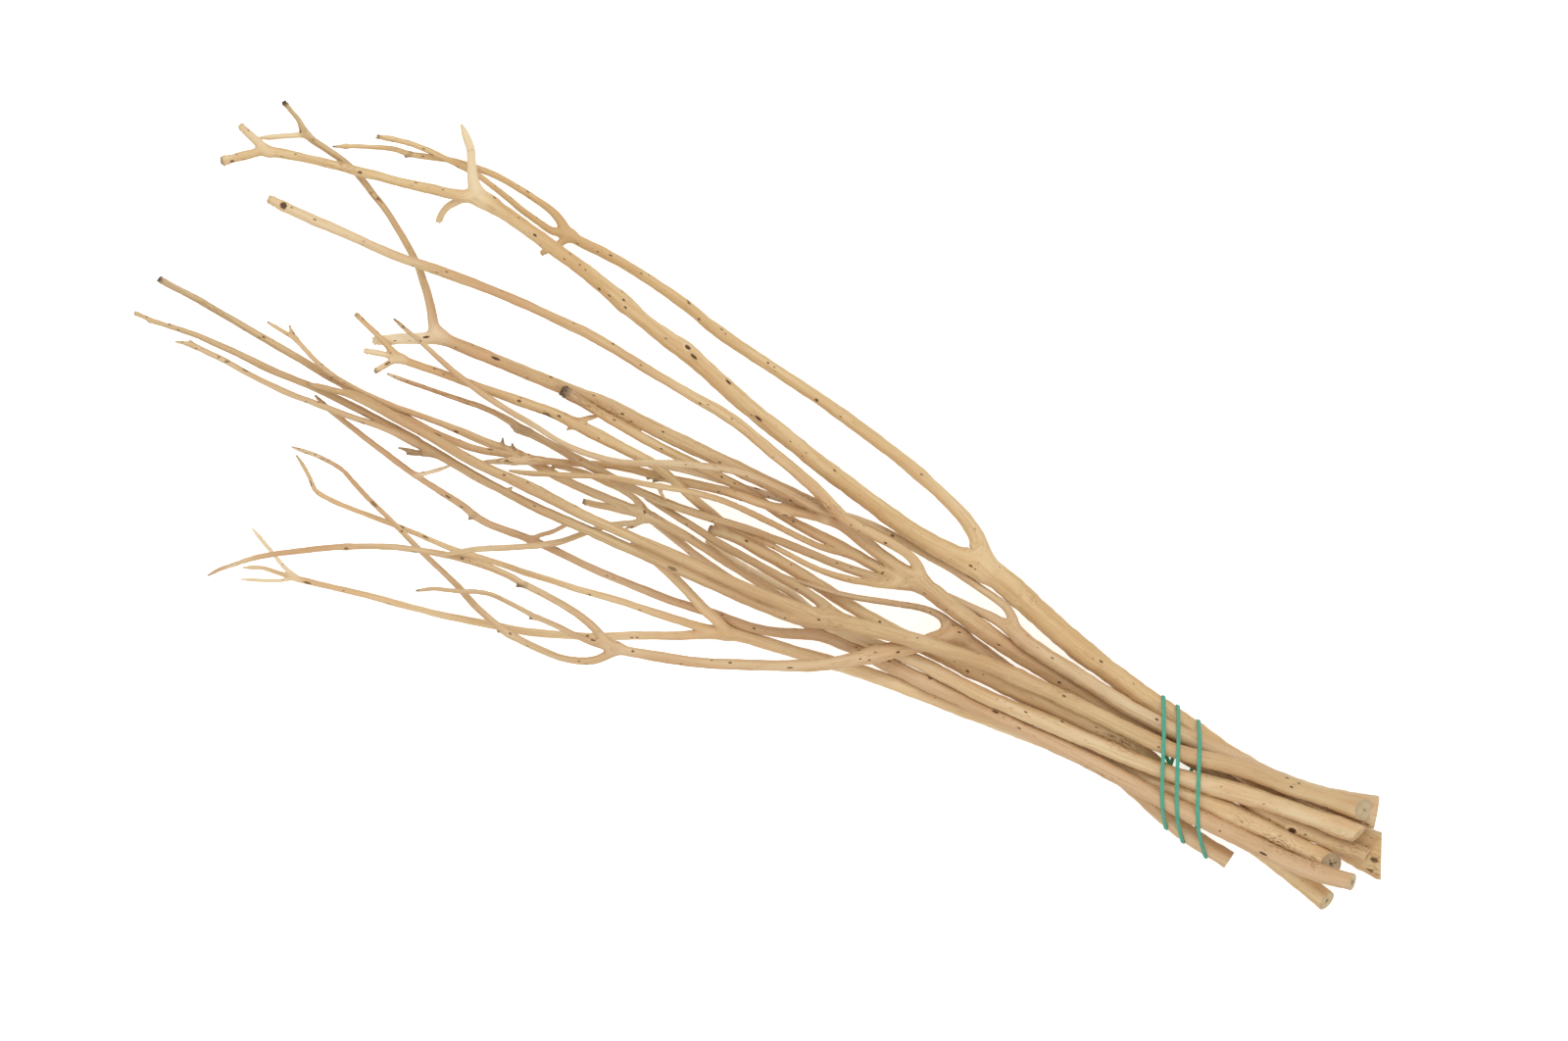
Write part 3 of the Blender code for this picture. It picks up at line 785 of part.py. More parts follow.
def band_touches(stems, turn, normal):
    """Where one turn of the band, pulled tight, touches the trunks on the side that looks along normal."""
    looks_y, looks_z = math.cos(normal), math.sin(normal)
    x = BAND_TURNS_AT[turn]
    for _ in range(BAND_SETTLES_IN):
        rings = trunk_rings(stems, x)
        y, z, radius = max(rings, key=lambda ring: ring[0] * looks_y + ring[1] * looks_z + ring[2])
        y += radius * looks_y
        z += radius * looks_z
        x, _crossed = band_place(turn, y, normal)
    return np.array([x, y, z, normal])


def band_route(stems):
    """The band's line against the wood, with the way out from it: turns that run into one another."""
    steps = round(360 / BAND_STEP_DEGREES)
    last = len(BAND_TURNS_AT) - 1
    route = []
    for turn in range(len(BAND_TURNS_AT)):
        normals = [math.radians(BAND_STARTS_AT + BAND_STEP_DEGREES * k) for k in range(steps + 1)]
        touches = [band_touches(stems, turn, normal) for normal in normals]
        for start, end in zip(touches, touches[1:]):
            pieces = max(1, round(float(np.linalg.norm((end - start)[:3])) / BAND_STRETCH))
            for k in range(pieces):
                x, y, z, normal = start + (end - start) * k / pieces
                x, crossed = band_place(turn, y, normal)
                lift = 0.0
                if turn == last:
                    lift = BAND_CROSSING_LIFT * math.sqrt(math.sin(math.pi * crossed))
                route.append((x, y, z, normal, lift))
    return route


def band_solid(name, stems):
    """The band as one closed strip with no ends, its flat side against the wood."""
    route = np.array(band_route(stems))
    normals = route[:, 3]
    outwards = np.stack([np.zeros(len(route)), np.cos(normals), np.sin(normals)], axis=1)
    off_the_wood = BAND_GAP + BAND_THICKNESS / 2 + route[:, 4]
    centres = route[:, :3] + outwards * off_the_wood[:, None]
    ahead = np.roll(centres, -1, axis=0) - np.roll(centres, 1, axis=0)
    across = np.cross(ahead, outwards)
    across /= np.linalg.norm(across, axis=1)[:, None]
    strip = bmesh.new()
    corners = []
    for centre, out, side in zip(centres, outwards, across):
        ring = []
        for out_share, side_share in ((-1, -1), (1, -1), (1, 1), (-1, 1)):
            place = centre + out * out_share * BAND_THICKNESS / 2 + side * side_share * BAND_WIDTH / 2
            ring.append(strip.verts.new(place * MM))
        corners.append(ring)
    for ring, following in zip(corners, corners[1:] + corners[:1]):
        for k in range(4):
            after = (k + 1) % 4
            strip.faces.new((ring[k], ring[after], following[after], following[k]))
    bmesh.ops.recalc_face_normals(strip, faces=strip.faces)
    bmesh.ops.triangulate(strip, faces=strip.faces)
    mesh = bpy.data.meshes.new(name)
    strip.to_mesh(mesh)
    strip.free()
    band = bpy.data.objects.new(name, mesh)
    bpy.context.collection.objects.link(band)
    return band


def plain_material(name, colour, roughness):
    """One finish: sRGB colour as a hex string, and how rough it is."""
    channels = [int(colour[k : k + 2], 16) / 255 for k in (0, 2, 4)]
    linear = [c / 12.92 if c < 0.04045 else ((c + 0.055) / 1.055) ** 2.4 for c in channels]
    material = bpy.data.materials.new(name)
    material.use_nodes = True
    shader = material.node_tree.nodes["Principled BSDF"]
    shader.inputs["Base Color"].default_value = (*linear, 1)
    shader.inputs["Roughness"].default_value = roughness
    shader.inputs["Metallic"].default_value = 0.0
    return material


def centre_on_the_ground(objects):
    """Moves every mesh so that the middle of the bundle's box, at ground level, is the origin."""
    places = [vert.co for thing in objects for vert in thing.data.vertices]
    x = (min(place.x for place in places) + max(place.x for place in places)) / 2
    y = (min(place.y for place in places) + max(place.y for place in places)) / 2
    z = min(place.z for place in places)
    for thing in objects:
        for vert in thing.data.vertices:
            vert.co.x -= x
            vert.co.y -= y
            vert.co.z -= z


def build():
    """The nine branches and the band."""
    for thing in list(bpy.data.objects):
        bpy.data.objects.remove(thing)
    stems = lift_clear(lay_out_stems())
    objects = []
    for letter, (colour, roughness) in BARE_WOOD.items():
        name = "branch_" + letter
        own = [stem for stem in stems if stem["branch"] == letter]
        meshes = [trunk_solid(own[0])]
        meshes += [stem_solid(stem["name"], stem["line"]) for stem in own[1:]]
        branch, collection = in_one_solid(name, meshes)
        apply_and_clear(branch, collection)
        level_underside(branch)
        branch.data.materials.clear()
        branch.data.materials.append(plain_material("peeled_wood_" + letter, colour, roughness))
        objects.append(branch)
    band = band_solid("rubber_band", stems)
    band.data.materials.append(plain_material("green_rubber", "3E9B7D", 0.45))
    objects.append(band)
    centre_on_the_ground(objects)
    for thing in objects:
        thing.data.shade_smooth()
        thing.data.set_sharp_from_angle(angle=math.radians(40))


build()
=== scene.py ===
"""A bundle of peeled mitsumata branches with its rubber band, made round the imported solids.

Each branch is grown as wood grows: round stems run into each other at the forks, and the surface
carries knots, pits, grain and stains. The script runs from top to bottom. Tables and the shaping of
the wood are in millimetres, and finished meshes are in metres in the shared frame.
"""

import json
import math

import bmesh
import bpy
import numpy as np
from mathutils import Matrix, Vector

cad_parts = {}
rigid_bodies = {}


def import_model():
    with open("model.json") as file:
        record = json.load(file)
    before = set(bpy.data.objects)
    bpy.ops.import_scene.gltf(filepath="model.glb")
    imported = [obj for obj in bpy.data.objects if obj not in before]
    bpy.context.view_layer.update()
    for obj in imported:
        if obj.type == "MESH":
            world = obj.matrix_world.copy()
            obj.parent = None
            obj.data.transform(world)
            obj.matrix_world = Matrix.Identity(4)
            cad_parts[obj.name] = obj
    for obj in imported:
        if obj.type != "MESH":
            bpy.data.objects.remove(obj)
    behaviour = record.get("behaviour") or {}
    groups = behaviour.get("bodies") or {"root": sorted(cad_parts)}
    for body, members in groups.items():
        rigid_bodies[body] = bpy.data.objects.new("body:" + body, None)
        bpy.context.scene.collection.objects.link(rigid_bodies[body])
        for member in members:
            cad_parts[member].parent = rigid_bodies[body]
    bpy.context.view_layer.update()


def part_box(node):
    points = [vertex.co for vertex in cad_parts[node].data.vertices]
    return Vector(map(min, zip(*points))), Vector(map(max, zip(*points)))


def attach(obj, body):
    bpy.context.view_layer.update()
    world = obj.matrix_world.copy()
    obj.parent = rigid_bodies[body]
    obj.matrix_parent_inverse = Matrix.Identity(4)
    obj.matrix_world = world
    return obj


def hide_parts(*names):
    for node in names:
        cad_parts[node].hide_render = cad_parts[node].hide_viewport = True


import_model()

# The stems. A mitsumata twig forks again and again, so nine branches make sixty-eight stems. Each is
# a line down the middle of the wood, bent as given and then lifted until it only rests on the
# stems that it crosses, exactly as the imported solids are.
MM = 0.001

# In millimetres: where the eye is, the step along a line, the room left between stems and over the
# floor, the thinnest twig, how far along its wood a fork may touch itself, and where the tie is.
EYE_X = 378.6
EYE_Y = 37.2
EYE_HEIGHT = 4889.0
STEP = 3.0
GAP = 0.8
GROUND_GAP = 0.4
THINNEST = 2.0
FORK_REACH = 70.0
TIE_FROM = 626.0
TIE_TO = 672.0
TIE_GROUND_GAP = 3.2

# How thick a side stem may start beside its parent, and how the lifting is repeated and evened out.
FORK_SHARE = 0.9
LIFT_ROUNDS = 420
LIFT_EASE = 0.25

# Every stem of the bundle, one block to a branch. A stem is a list of stations (x, y, z, diameter) in
# millimetres along its middle line, from its thick end to its tip, read one by one. x runs from the twig
# tips towards the cut ends, y across the bundle, z up from the floor. A stem with a parent starts
# inside that parent.
BRANCHES = {
    "a": [
        ("a_main", None, [
            (762, 14.8, 11.6, 24.5), (750, 14.2, 11.3, 22), (735, 14.5, 11.3, 18.5), (715, 17.5, 11, 16),
            (690, 23, 10.8, 14.8), (655, 27.5, 10.6, 14.2), (625, 33, 11, 13.4), (600, 36.8, 12, 12.4),
            (580, 41, 13, 12.2), (560, 45.2, 14, 13.2), (540, 50.3, 15, 13.6), (520, 56, 16, 13.8),
            (505, 60.3, 17, 14.2), (492, 62.4, 17.5, 14.6), (480, 61.6, 18, 12.6), (460, 61.8, 19, 10.8),
            (440, 63.8, 20, 9.9), (420, 67.4, 21, 10), (400, 71.2, 22, 9.4), (380, 74.9, 22.5, 9.5),
            (360, 79.6, 23, 9.2), (340, 84, 23.3, 9.5), (320, 89.1, 23.6, 9.4), (300, 94.8, 24, 9.4),
            (288, 98.2, 24, 9.9), (275, 100.3, 24, 8.9), (260, 103.3, 24, 8.3), (245, 107.2, 24, 9.2),
            (230, 110.9, 24, 8.5), (215, 114.4, 24.3, 8.1), (200, 117, 24.8, 7.5), (180, 120.7, 25.5, 7.6),
            (160, 123.8, 26.5, 7.5), (148, 124.7, 27.5, 7.8), (138, 122.3, 28.3, 6.4), (130, 120, 29, 5.9),
            (120, 117.8, 30, 5.4), (110, 115.4, 31, 5), (100, 113, 32, 4.9), (90, 111.2, 33, 4.9),
            (79, 108.6, 33.5, 5.2), (70, 107, 34, 4.7), (60, 104.9, 34.5, 4.8), (50, 102.6, 35, 4.6),
            (40, 100.2, 35, 5), (30, 97.2, 35, 5.2), (24, 94.6, 34.5, 5), (19, 90.4, 34, 4.4),
            (14, 86.3, 33, 4.2), (7.5, 80.6, 31.5, 3.9)]),
        ("a_left", "a_main", [
            (492, 64.5, 17.5, 11), (484, 72.6, 17, 9.4), (477, 78.4, 16.3, 8.3), (469, 82.8, 15.5, 7.7),
            (460, 86.3, 14.5, 7.1), (450, 89.5, 13.4, 7), (440, 92.5, 12.4, 7), (425, 96.5, 10.8, 7.1),
            (410, 99.6, 9.3, 7.1), (395, 102.4, 8, 6.9), (380, 105, 6.8, 6.8), (365, 107.5, 5.8, 6.6),
            (350, 109.5, 5, 6.2), (330, 112.1, 4.2, 6.4), (315, 113.9, 3.6, 6.4), (300, 116.2, 3.25, 6.7),
            (290, 118.2, 3.1, 6.3), (280, 120.9, 3.1, 6), (265, 123.6, 3.4, 5.7), (250, 125.6, 3.9, 5.5),
            (235, 127.1, 4.6, 5.3), (220, 127.8, 5.5, 5.6), (208, 127.8, 6.3, 5.9), (199, 129.2, 7, 5.6),
            (193, 132.9, 7.6, 4.8), (186, 136, 8.3, 4.2), (175, 138, 9.5, 3.7), (160, 139.6, 11, 3.4),
            (150, 140.2, 12, 3.4), (140, 139.7, 13, 3.4), (130, 138.6, 14, 3.2), (120, 136.4, 15, 3.1),
            (110, 133.2, 16, 3.1), (100, 130, 17, 3), (90, 128.4, 18, 2.7), (80, 124.6, 19, 2.4),
            (70, 120.3, 20, 2.2), (59.6, 115.1, 21, 2)]),
        ("a_left_low", "a_left", [
            (200, 127.6, 7, 4.6), (190, 126.2, 8, 3.7), (180, 127.5, 9.5, 3.2), (170, 129.3, 11.5, 3.1),
            (160, 131.8, 13.5, 2.9), (150, 134, 15.5, 2.8), (140, 135.9, 17.3, 2.8), (130, 136.5, 18.8, 2.8),
            (120, 136.5, 20, 2.6), (110, 136.3, 21, 2.6), (100, 135.7, 22, 2.5), (90, 133.9, 23, 2.4),
            (79.5, 131.4, 24, 2.2)]),
        ("a_left_bud", "a_left_low", [(88, 133.4, 23.2, 2), (79.6, 130.2, 22.5, 2)]),
        ("a_left_nub", "a_left", [(101, 130, 17, 2.6), (98.4, 127.6, 17, 2.2)]),
        ("a_left_stub", "a_left", [
            (201, 127, 7, 4.4), (197.4, 121.6, 7.6, 3.8), (194, 117, 7.8, 3.5), (191, 112.8, 7.4, 3.1)]),
        ("a_fork_up", "a_main", [
            (147, 125, 27.5, 6.6), (140.6, 129.5, 29.5, 6.2), (136.6, 134.5, 32, 5.2), (133, 141, 35, 4.3),
            (129, 147.6, 38, 3.9), (124, 152.6, 40.5, 3.5), (118.8, 157.2, 43, 2.6)]),
        ("a_fork_down", "a_main", [
            (139, 122.3, 28, 4), (135.5, 118, 25, 3.6), (132, 113, 21, 3.2), (130.6, 108, 18, 3),
            (130.9, 103.8, 16, 3)]),
        ("a_tip_up", "a_main", [
            (27, 97, 35, 3.8), (19, 98.9, 37, 3.6), (13, 100.6, 39, 3.2), (8, 102.4, 41, 2.7)]),
    ],
    "b": [
        ("b_main", None, [
            (747.6, 35.2, 24.5, 15.4), (735, 32.6, 24.5, 13.2), (715, 29.6, 24.3, 11.6),
            (690, 27.6, 24, 10.4), (655, 27, 24, 9.5), (630, 26.8, 23.6, 8.9), (600, 27.6, 23, 8.5),
            (580, 29.6, 22.6, 8.5), (560, 31.9, 22.5, 8.5), (545, 33.4, 22.5, 8.5), (530, 35.6, 22, 8.7),
            (520, 37.6, 21.4, 6.8), (513, 39, 20.4, 5.4), (505, 39.4, 18.6, 5), (496, 39.3, 16, 4.6),
            (487, 39.2, 14.4, 4.2), (478, 39.2, 13.6, 3.6)]),
        ("b_spur", "b_main", [
            (527, 36, 22, 6.6), (521.8, 40, 22, 5.6), (517.6, 44.6, 21, 4.8), (513, 47.6, 20, 4.4),
            (506, 49.6, 18.5, 4.1), (496, 51.1, 16.5, 4), (486, 52.6, 14.5, 4), (474, 54.1, 13, 4),
            (462, 54.8, 12, 4.2), (450, 55.7, 12.5, 4.4), (438, 56.2, 14, 4.6), (426, 56.2, 17, 4.6),
            (416, 55.6, 20.5, 4.4), (408, 54.4, 24.5, 4.2), (400, 52.6, 29, 4), (392, 51.6, 33, 3.8),
            (382, 52, 35.5, 3.7), (370, 52.4, 37, 3.6), (358, 52.2, 38, 3.6), (346, 50.9, 38.5, 3.6),
            (334, 47.9, 38.5, 3.7), (322, 43.9, 38, 3.8), (312, 40, 37.5, 3.8), (303, 35.8, 37, 3.7),
            (296, 32.6, 36.5, 3.5), (288, 28.8, 36, 3.3), (279, 25.6, 36, 3.2), (268, 23.3, 36, 3.1),
            (257, 21.9, 36, 3), (248, 21.7, 36, 2.8), (238, 22.6, 36, 2.8), (226, 23.9, 36, 3),
            (214, 24.7, 36, 3.1), (205, 25.7, 36, 3.4), (197, 26.7, 36, 3.4), (188, 28.4, 36, 3.2),
            (178, 30.4, 36, 3), (168, 33, 36.5, 2.8), (158, 36, 36.5, 2.6), (151, 38.1, 36.5, 2.4),
            (146, 39.2, 37, 2), (138, 41.3, 38, 2), (132.4, 43, 39, 2)]),
    ],
    "c": [
        ("c_main", None, [
            (752.4, 11.5, 27.6, 7.4), (740, 10.6, 27.2, 8.4), (720, 9.6, 26, 8.8), (700, 9.3, 24.6, 9),
            (680, 11.4, 23, 9.2), (655, 15.6, 21, 9.2), (630, 18.8, 17, 9.2), (600, 21.8, 14.5, 9.2),
            (580, 23.2, 14, 9.2), (560, 24.8, 14.5, 9.3), (540, 26.6, 16, 9.5), (520, 28.8, 18.5, 9.6),
            (500, 32, 21, 9.6), (485, 34.6, 23, 9.4), (472, 37.4, 24, 9.6), (462, 39.4, 24.6, 8.6),
            (452, 41.4, 25, 7.2), (442, 42.8, 25.5, 6.9), (432, 44.6, 26, 6.9), (422, 46.8, 26.3, 7),
            (412, 49.2, 26.5, 7.2), (402, 51.1, 26.5, 7.6), (390, 52.1, 26.5, 7.8), (370, 52.2, 26.5, 7.8),
            (350, 52, 26.5, 7.7), (330, 51.8, 26.5, 7.8), (310, 51.7, 26.5, 8), (290, 51.7, 26.8, 7.9),
            (270, 52, 27, 7.9), (255, 51.6, 27.3, 7.6), (240, 50.2, 27.6, 7.2), (225, 49.2, 28, 7),
            (210, 48.2, 28.4, 6.8), (195, 47.2, 28.8, 6.9), (180, 46.2, 29.2, 6.8), (168, 45.4, 29.6, 6.8),
            (160, 45.6, 30, 7), (154.6, 48.8, 30.2, 5.9), (150.5, 54.5, 30, 5), (146, 60.3, 29.5, 4.6),
            (141.5, 65.4, 29, 4.4), (136.8, 70.2, 28.5, 4.2), (131.5, 75.4, 28, 4), (125, 80.4, 27.5, 3.8),
            (117, 86, 27, 3.5), (109, 91.2, 26.5, 3.4), (100, 96.6, 26, 3.5), (91, 100.8, 25.8, 3.4),
            (82, 105.3, 25.5, 3.4), (74, 108.5, 25.5, 3.4), (65, 110.6, 26, 3.6), (55, 112, 27, 3.7),
            (46, 113.4, 28, 3.8), (40.6, 115.6, 29, 3.2), (35.5, 119.6, 30.5, 2.6), (30, 122.2, 32.5, 2.4),
            (24.2, 124.8, 34.5, 2.2)]),
        ("c_pale_twig", "c_main", [
            (44, 113.6, 28, 2.6), (38, 111.6, 28.3, 2.1), (32, 108.2, 28.5, 2), (26, 104.6, 29, 2),
            (19.6, 100.9, 29.5, 2)]),
        ("c_left", "c_main", [
            (161, 44.8, 30, 6), (153, 41, 29, 5.6), (147, 37.8, 28, 5.2), (140, 34.3, 27, 5.1),
            (133.5, 30.2, 26, 4.8), (128, 27.3, 25, 3.8)]),
        ("c_long", "c_main", [
            (465, 38.8, 24.5, 6.4), (459.6, 45.2, 27, 5.6), (453, 49.4, 29.5, 5.3), (444, 51.4, 32, 5),
            (434, 52, 34, 5), (424, 52.2, 36, 5.2), (414, 52.5, 38, 5.6), (405, 54.2, 39.5, 6.3),
            (397, 57, 40.5, 6.6), (388, 60.4, 41, 6.5), (378, 63.3, 41.5, 6.3), (368, 66, 42, 6.3),
            (356, 68.8, 42, 6), (344, 71.9, 42, 6), (332, 74.7, 41.5, 6.2), (318, 76.5, 41, 6),
            (304, 77.2, 40.5, 5.4), (290, 78.4, 40, 5.1), (276, 79.5, 39.5, 4.9), (262, 80.9, 39, 5.1),
            (248, 82.2, 38.5, 5.3), (232, 83.1, 38, 5.5), (216, 82.8, 38, 5.1), (200, 82.7, 38, 4.9),
            (184, 82, 38, 4.9), (168, 80.8, 38, 5.1), (152, 79.2, 38, 5.5), (136, 77.5, 38, 5.3),
            (122, 75.6, 38, 5.1), (108, 74.6, 38.5, 4.7), (94, 74.2, 39, 5), (80, 73.7, 39.5, 5.4),
            (68, 73, 40, 5.7), (56, 72.7, 40.5, 5.3), (46, 72.6, 41, 5.4), (40.4, 72.6, 41.2, 4.8)]),
        ("c_rise", "c_main", [
            (413, 48.6, 26.5, 4.4), (402, 48.2, 27, 4.2), (392, 46.6, 27.5, 4.5), (382, 44.2, 27.5, 4.7),
            (372, 41.9, 27, 4.8), (362, 40.2, 26.5, 4.8), (350, 38.9, 26, 4.8), (338, 36.7, 24.5, 4.8),
            (326, 33.8, 22.5, 4.8), (314, 30.8, 20.5, 4.6), (302, 28.3, 19, 4.5), (290, 25.9, 18.4, 4.3),
            (279, 22.9, 18.4, 4), (270, 19.2, 18.6, 3.7), (262, 15.8, 19, 3.6), (254, 12.6, 19.5, 3.6),
            (246, 9.4, 20, 3.6), (239, 7, 20.5, 3.6), (232, 5.3, 20.8, 3.5), (226, 3.6, 21, 3.4),
            (218, 1, 21.2, 3.5), (210, -1.5, 21.6, 3.7), (201, -3.3, 22.2, 3.8), (190, -4.1, 23, 3.6),
            (180, -4.4, 24, 3.5), (168, -3.9, 25, 3.5), (156, -3.3, 26, 3.7), (144, -3.3, 27, 4),
            (132, -3.1, 28.4, 4.1), (120, -2.5, 30, 4.1), (110, -1.9, 31.5, 4.1), (100, -0.9, 33, 4),
            (90, -0.1, 34.5, 4), (80, 0.6, 36, 3.9), (70, 1.3, 37.5, 3.8), (60, 2, 39, 3.7),
            (50, 2.8, 40.5, 3.6), (40, 3.4, 42, 3.5), (30, 4.3, 43.5, 3.5), (20, 4.7, 45, 3.4),
            (10, 4.9, 46.5, 3.6), (4.6, 5.2, 47.2, 3.4)]),
        ("c_rise_fork", "c_rise", [
            (241, 7.4, 20.5, 3.2), (233.5, 3.4, 22, 3), (228.5, 1, 23, 3), (224, -1, 24, 3.4),
            (219, -3.8, 25, 2.9), (213, -6.8, 26, 2.6)]),
        ("c_rise_nub", "c_rise", [(236, 6.4, 20.6, 2.6), (233.4, 7.4, 22.4, 2.4)]),
        ("c_rise_dark", "c_rise", [(306, 28.4, 19.4, 2.6), (303.4, 25, 19.6, 2.2)]),
        ("c_rise_dark_low", "c_rise", [(302, 27.4, 19, 2.4), (299.6, 24.8, 18.6, 2)]),
        ("c_climb", "c_rise", [
            (399, 48, 27, 3.4), (388, 48.8, 24.5, 3.4), (376, 47.9, 23, 3.5), (366, 46.5, 21.5, 3.6),
            (356, 44.8, 20, 3.6), (346, 43.1, 19, 3.5), (336, 41.6, 18.6, 3.5), (326, 40.2, 18.6, 3.5),
            (316, 38.2, 19, 3.4), (307, 35.8, 19.5, 3.2), (299, 32.9, 20, 2.8)]),
        ("c_nine", "c_main", [
            (462, 38.6, 24, 6.6), (450, 37.2, 22.6, 6.4), (440, 36.8, 21, 6.3), (430, 37, 19.8, 6.1),
            (420, 37.8, 19.2, 6), (410, 38.3, 19, 5.8), (400, 38.2, 19, 5.6), (390, 38.4, 19.4, 5.4),
            (380, 39, 20, 5), (370, 40.3, 21.2, 4.8), (360, 42, 22.8, 4.7), (350, 43.2, 24.4, 4.8),
            (340, 43.4, 25.4, 4.8), (325, 43.5, 26.4, 4.9), (310, 43.6, 27, 5.1), (295, 43.8, 27.6, 5.1),
            (280, 44.6, 28.8, 5), (268, 45.3, 30.4, 4.9), (256, 46.2, 32.2, 4.6), (246, 47.2, 33.6, 4.6),
            (236.5, 48.2, 34.6, 4.4)]),
        ("c_ivory", "c_nine", [
            (425, 37.4, 19.4, 4.2), (416, 35.4, 20, 4), (408, 33.6, 21, 3.8), (400, 32.7, 22, 3.7),
            (388, 32.6, 24, 3.6), (376, 32.8, 26, 3.5), (362, 32.8, 28, 3.6), (350, 32.6, 30, 3.6),
            (340, 31.7, 32, 3.5), (330, 29.9, 33.5, 3.5), (320, 27.6, 34.5, 3.4), (310, 24.6, 34.8, 3.3),
            (300, 21.6, 34.6, 3.3), (290, 18.9, 34, 3.2), (281, 16.4, 33, 3.2), (272, 12.9, 31.5, 3.3),
            (264, 9.4, 30.2, 3.3), (256, 5.7, 29, 3.3), (248, 2.5, 28, 3.2), (240, -1, 27.2, 3.2),
            (233, -3.6, 26.8, 2.8), (228, -5.2, 26.6, 2.2)]),
        ("c_ivory_twig", "c_ivory", [(307, 23.6, 34.6, 2.2), (309.6, 20.9, 33, 2), (313, 19, 32, 2)]),
        ("c_low", "c_main", [
            (463, 37.8, 24.5, 6.4), (457, 35.2, 24.5, 5.8), (450, 33.4, 24.4, 5.2), (440, 31.4, 24.2, 4.7),
            (430, 29.8, 24, 4.7), (420, 28.5, 23.6, 4.6), (410, 27.6, 23.2, 4.3), (400, 27, 23, 4.3),
            (388, 26.2, 23, 4.2), (376, 25.3, 23.4, 4.1), (364, 24.2, 24, 4), (354, 22.6, 24.6, 4.1),
            (344, 20.9, 25.2, 4.2), (334, 19.4, 25.8, 4.3), (322, 17.8, 26.4, 4.4), (310, 16.7, 26.8, 4.4),
            (298, 16.2, 27, 4.2), (286, 16.3, 27, 4.2), (274, 16.8, 27, 4.6), (262, 17.2, 27, 4.8),
            (250, 17.8, 27, 4.4), (240, 18.3, 27, 4), (230, 18.7, 27, 4.2), (222, 19, 27, 4.3),
            (214, 20.1, 27, 3.8), (206, 20.4, 27, 3.1), (198, 20.1, 27.2, 2.8), (188, 18.8, 27.4, 2.6),
            (178, 17.5, 27.6, 2.4), (168, 16.3, 27.8, 2.3), (158, 15.1, 28, 2.2), (150, 14.2, 28, 2),
            (142.8, 13.7, 28, 2)]),
        ("c_low_knob", "c_low", [(226, 18.2, 27, 3.6), (221.4, 17.2, 28, 3.2)]),
        ("c_low_twin", "c_low", [
            (455, 34.8, 24.5, 4.6), (448, 30.9, 25.4, 4.1), (442, 28.3, 26, 3.8), (435, 26.2, 26, 3.7),
            (428, 24.1, 26, 3.7), (420, 22.5, 25.4, 3.4), (411, 21.2, 24.6, 3), (400, 20.8, 23.4, 2.8),
            (388, 21.3, 22.2, 2.7), (376, 21.5, 21, 2.7), (364, 21.1, 20, 2.6), (352, 21, 19.4, 2.4),
            (342, 21.4, 19, 2.2)]),
    ],
    "d": [
        ("d_main", None, [
            (740.4, 33.6, 37.2, 10.4), (730, 32, 36.8, 9.8), (715, 29.8, 36.2, 9.4), (700, 27.7, 35.6, 9.2),
            (685, 26.2, 35, 9.1), (670, 24.6, 34.4, 9), (655, 21.6, 33.4, 8.8), (640, 18.4, 32.4, 8.4),
            (625, 16.6, 31.4, 8), (600, 16.3, 30.6, 7.9), (580, 16.5, 30.8, 7.8), (560, 16.4, 31.2, 7.8),
            (540, 15.9, 31.8, 8.1), (520, 15.1, 32.4, 7.7), (500, 13, 33, 7.5), (485, 10.6, 33.5, 7.6),
            (470, 8, 34, 7.7), (455, 5.1, 34.5, 7.7), (442, 2.4, 35, 8.4), (430, -0.6, 35.4, 9.6),
            (420, -2.8, 35.8, 8.8), (410, -3.9, 36.2, 7.4), (398, -4.8, 36.6, 6.8), (385, -5.8, 37, 6.3),
            (370, -6.5, 37.5, 5.5), (355, -6.8, 38, 5.8), (340, -7.2, 38.5, 6), (325, -7.8, 39, 5.6),
            (310, -8.4, 39.5, 5.2), (295, -8.8, 40, 4.9), (280, -9.4, 40.5, 5), (265, -9.3, 41, 5.4),
            (250, -8.9, 41.5, 5.8), (235, -8.9, 42, 5.8), (222, -9.3, 42.3, 5), (210, -9.5, 42.6, 4.8),
            (198, -9, 43, 5), (186, -7.9, 43.5, 4.8), (174, -7.2, 44, 4.5), (160, -6.5, 44.5, 4.6),
            (146, -5.7, 45, 4.9), (135, -5.3, 45.5, 4.8), (128.6, -5.9, 45.8, 3.8), (121, -7.5, 46.2, 2.8),
            (112, -9.3, 46.8, 2.4), (104.6, -10.8, 47.4, 2)]),
        ("d_twin", "d_main", [
            (427, -2.4, 35.4, 7), (416, -7.4, 35.6, 6.2), (404, -10.2, 36, 5.5), (390, -11.3, 36.5, 5.5),
            (375, -12.1, 37, 5.7), (360, -12.6, 37.5, 5.8), (345, -13.1, 38, 5.8), (330, -13.9, 38, 5.8),
            (315, -14.6, 38, 5.6), (300, -15.3, 38, 5.4), (285, -15.9, 38, 5.2), (270, -16.5, 38, 5.1),
            (255, -17.1, 38, 5), (240, -17.1, 38, 4.7), (225, -16.8, 38, 4.3), (212, -16.4, 38, 4.5),
            (200, -15.4, 38, 4.6), (188, -14.5, 38, 4.9), (176, -13.8, 38, 5.3), (167, -12.9, 38.2, 5.2),
            (158, -12.2, 38.4, 4.5), (146, -11.6, 38.8, 4), (134, -11.4, 39.3, 3.9), (122, -11.3, 40, 3.8),
            (110, -11.3, 41, 3.8), (98, -12, 42, 3.6), (86, -12.9, 43, 3.7), (74, -13.1, 44, 3.9),
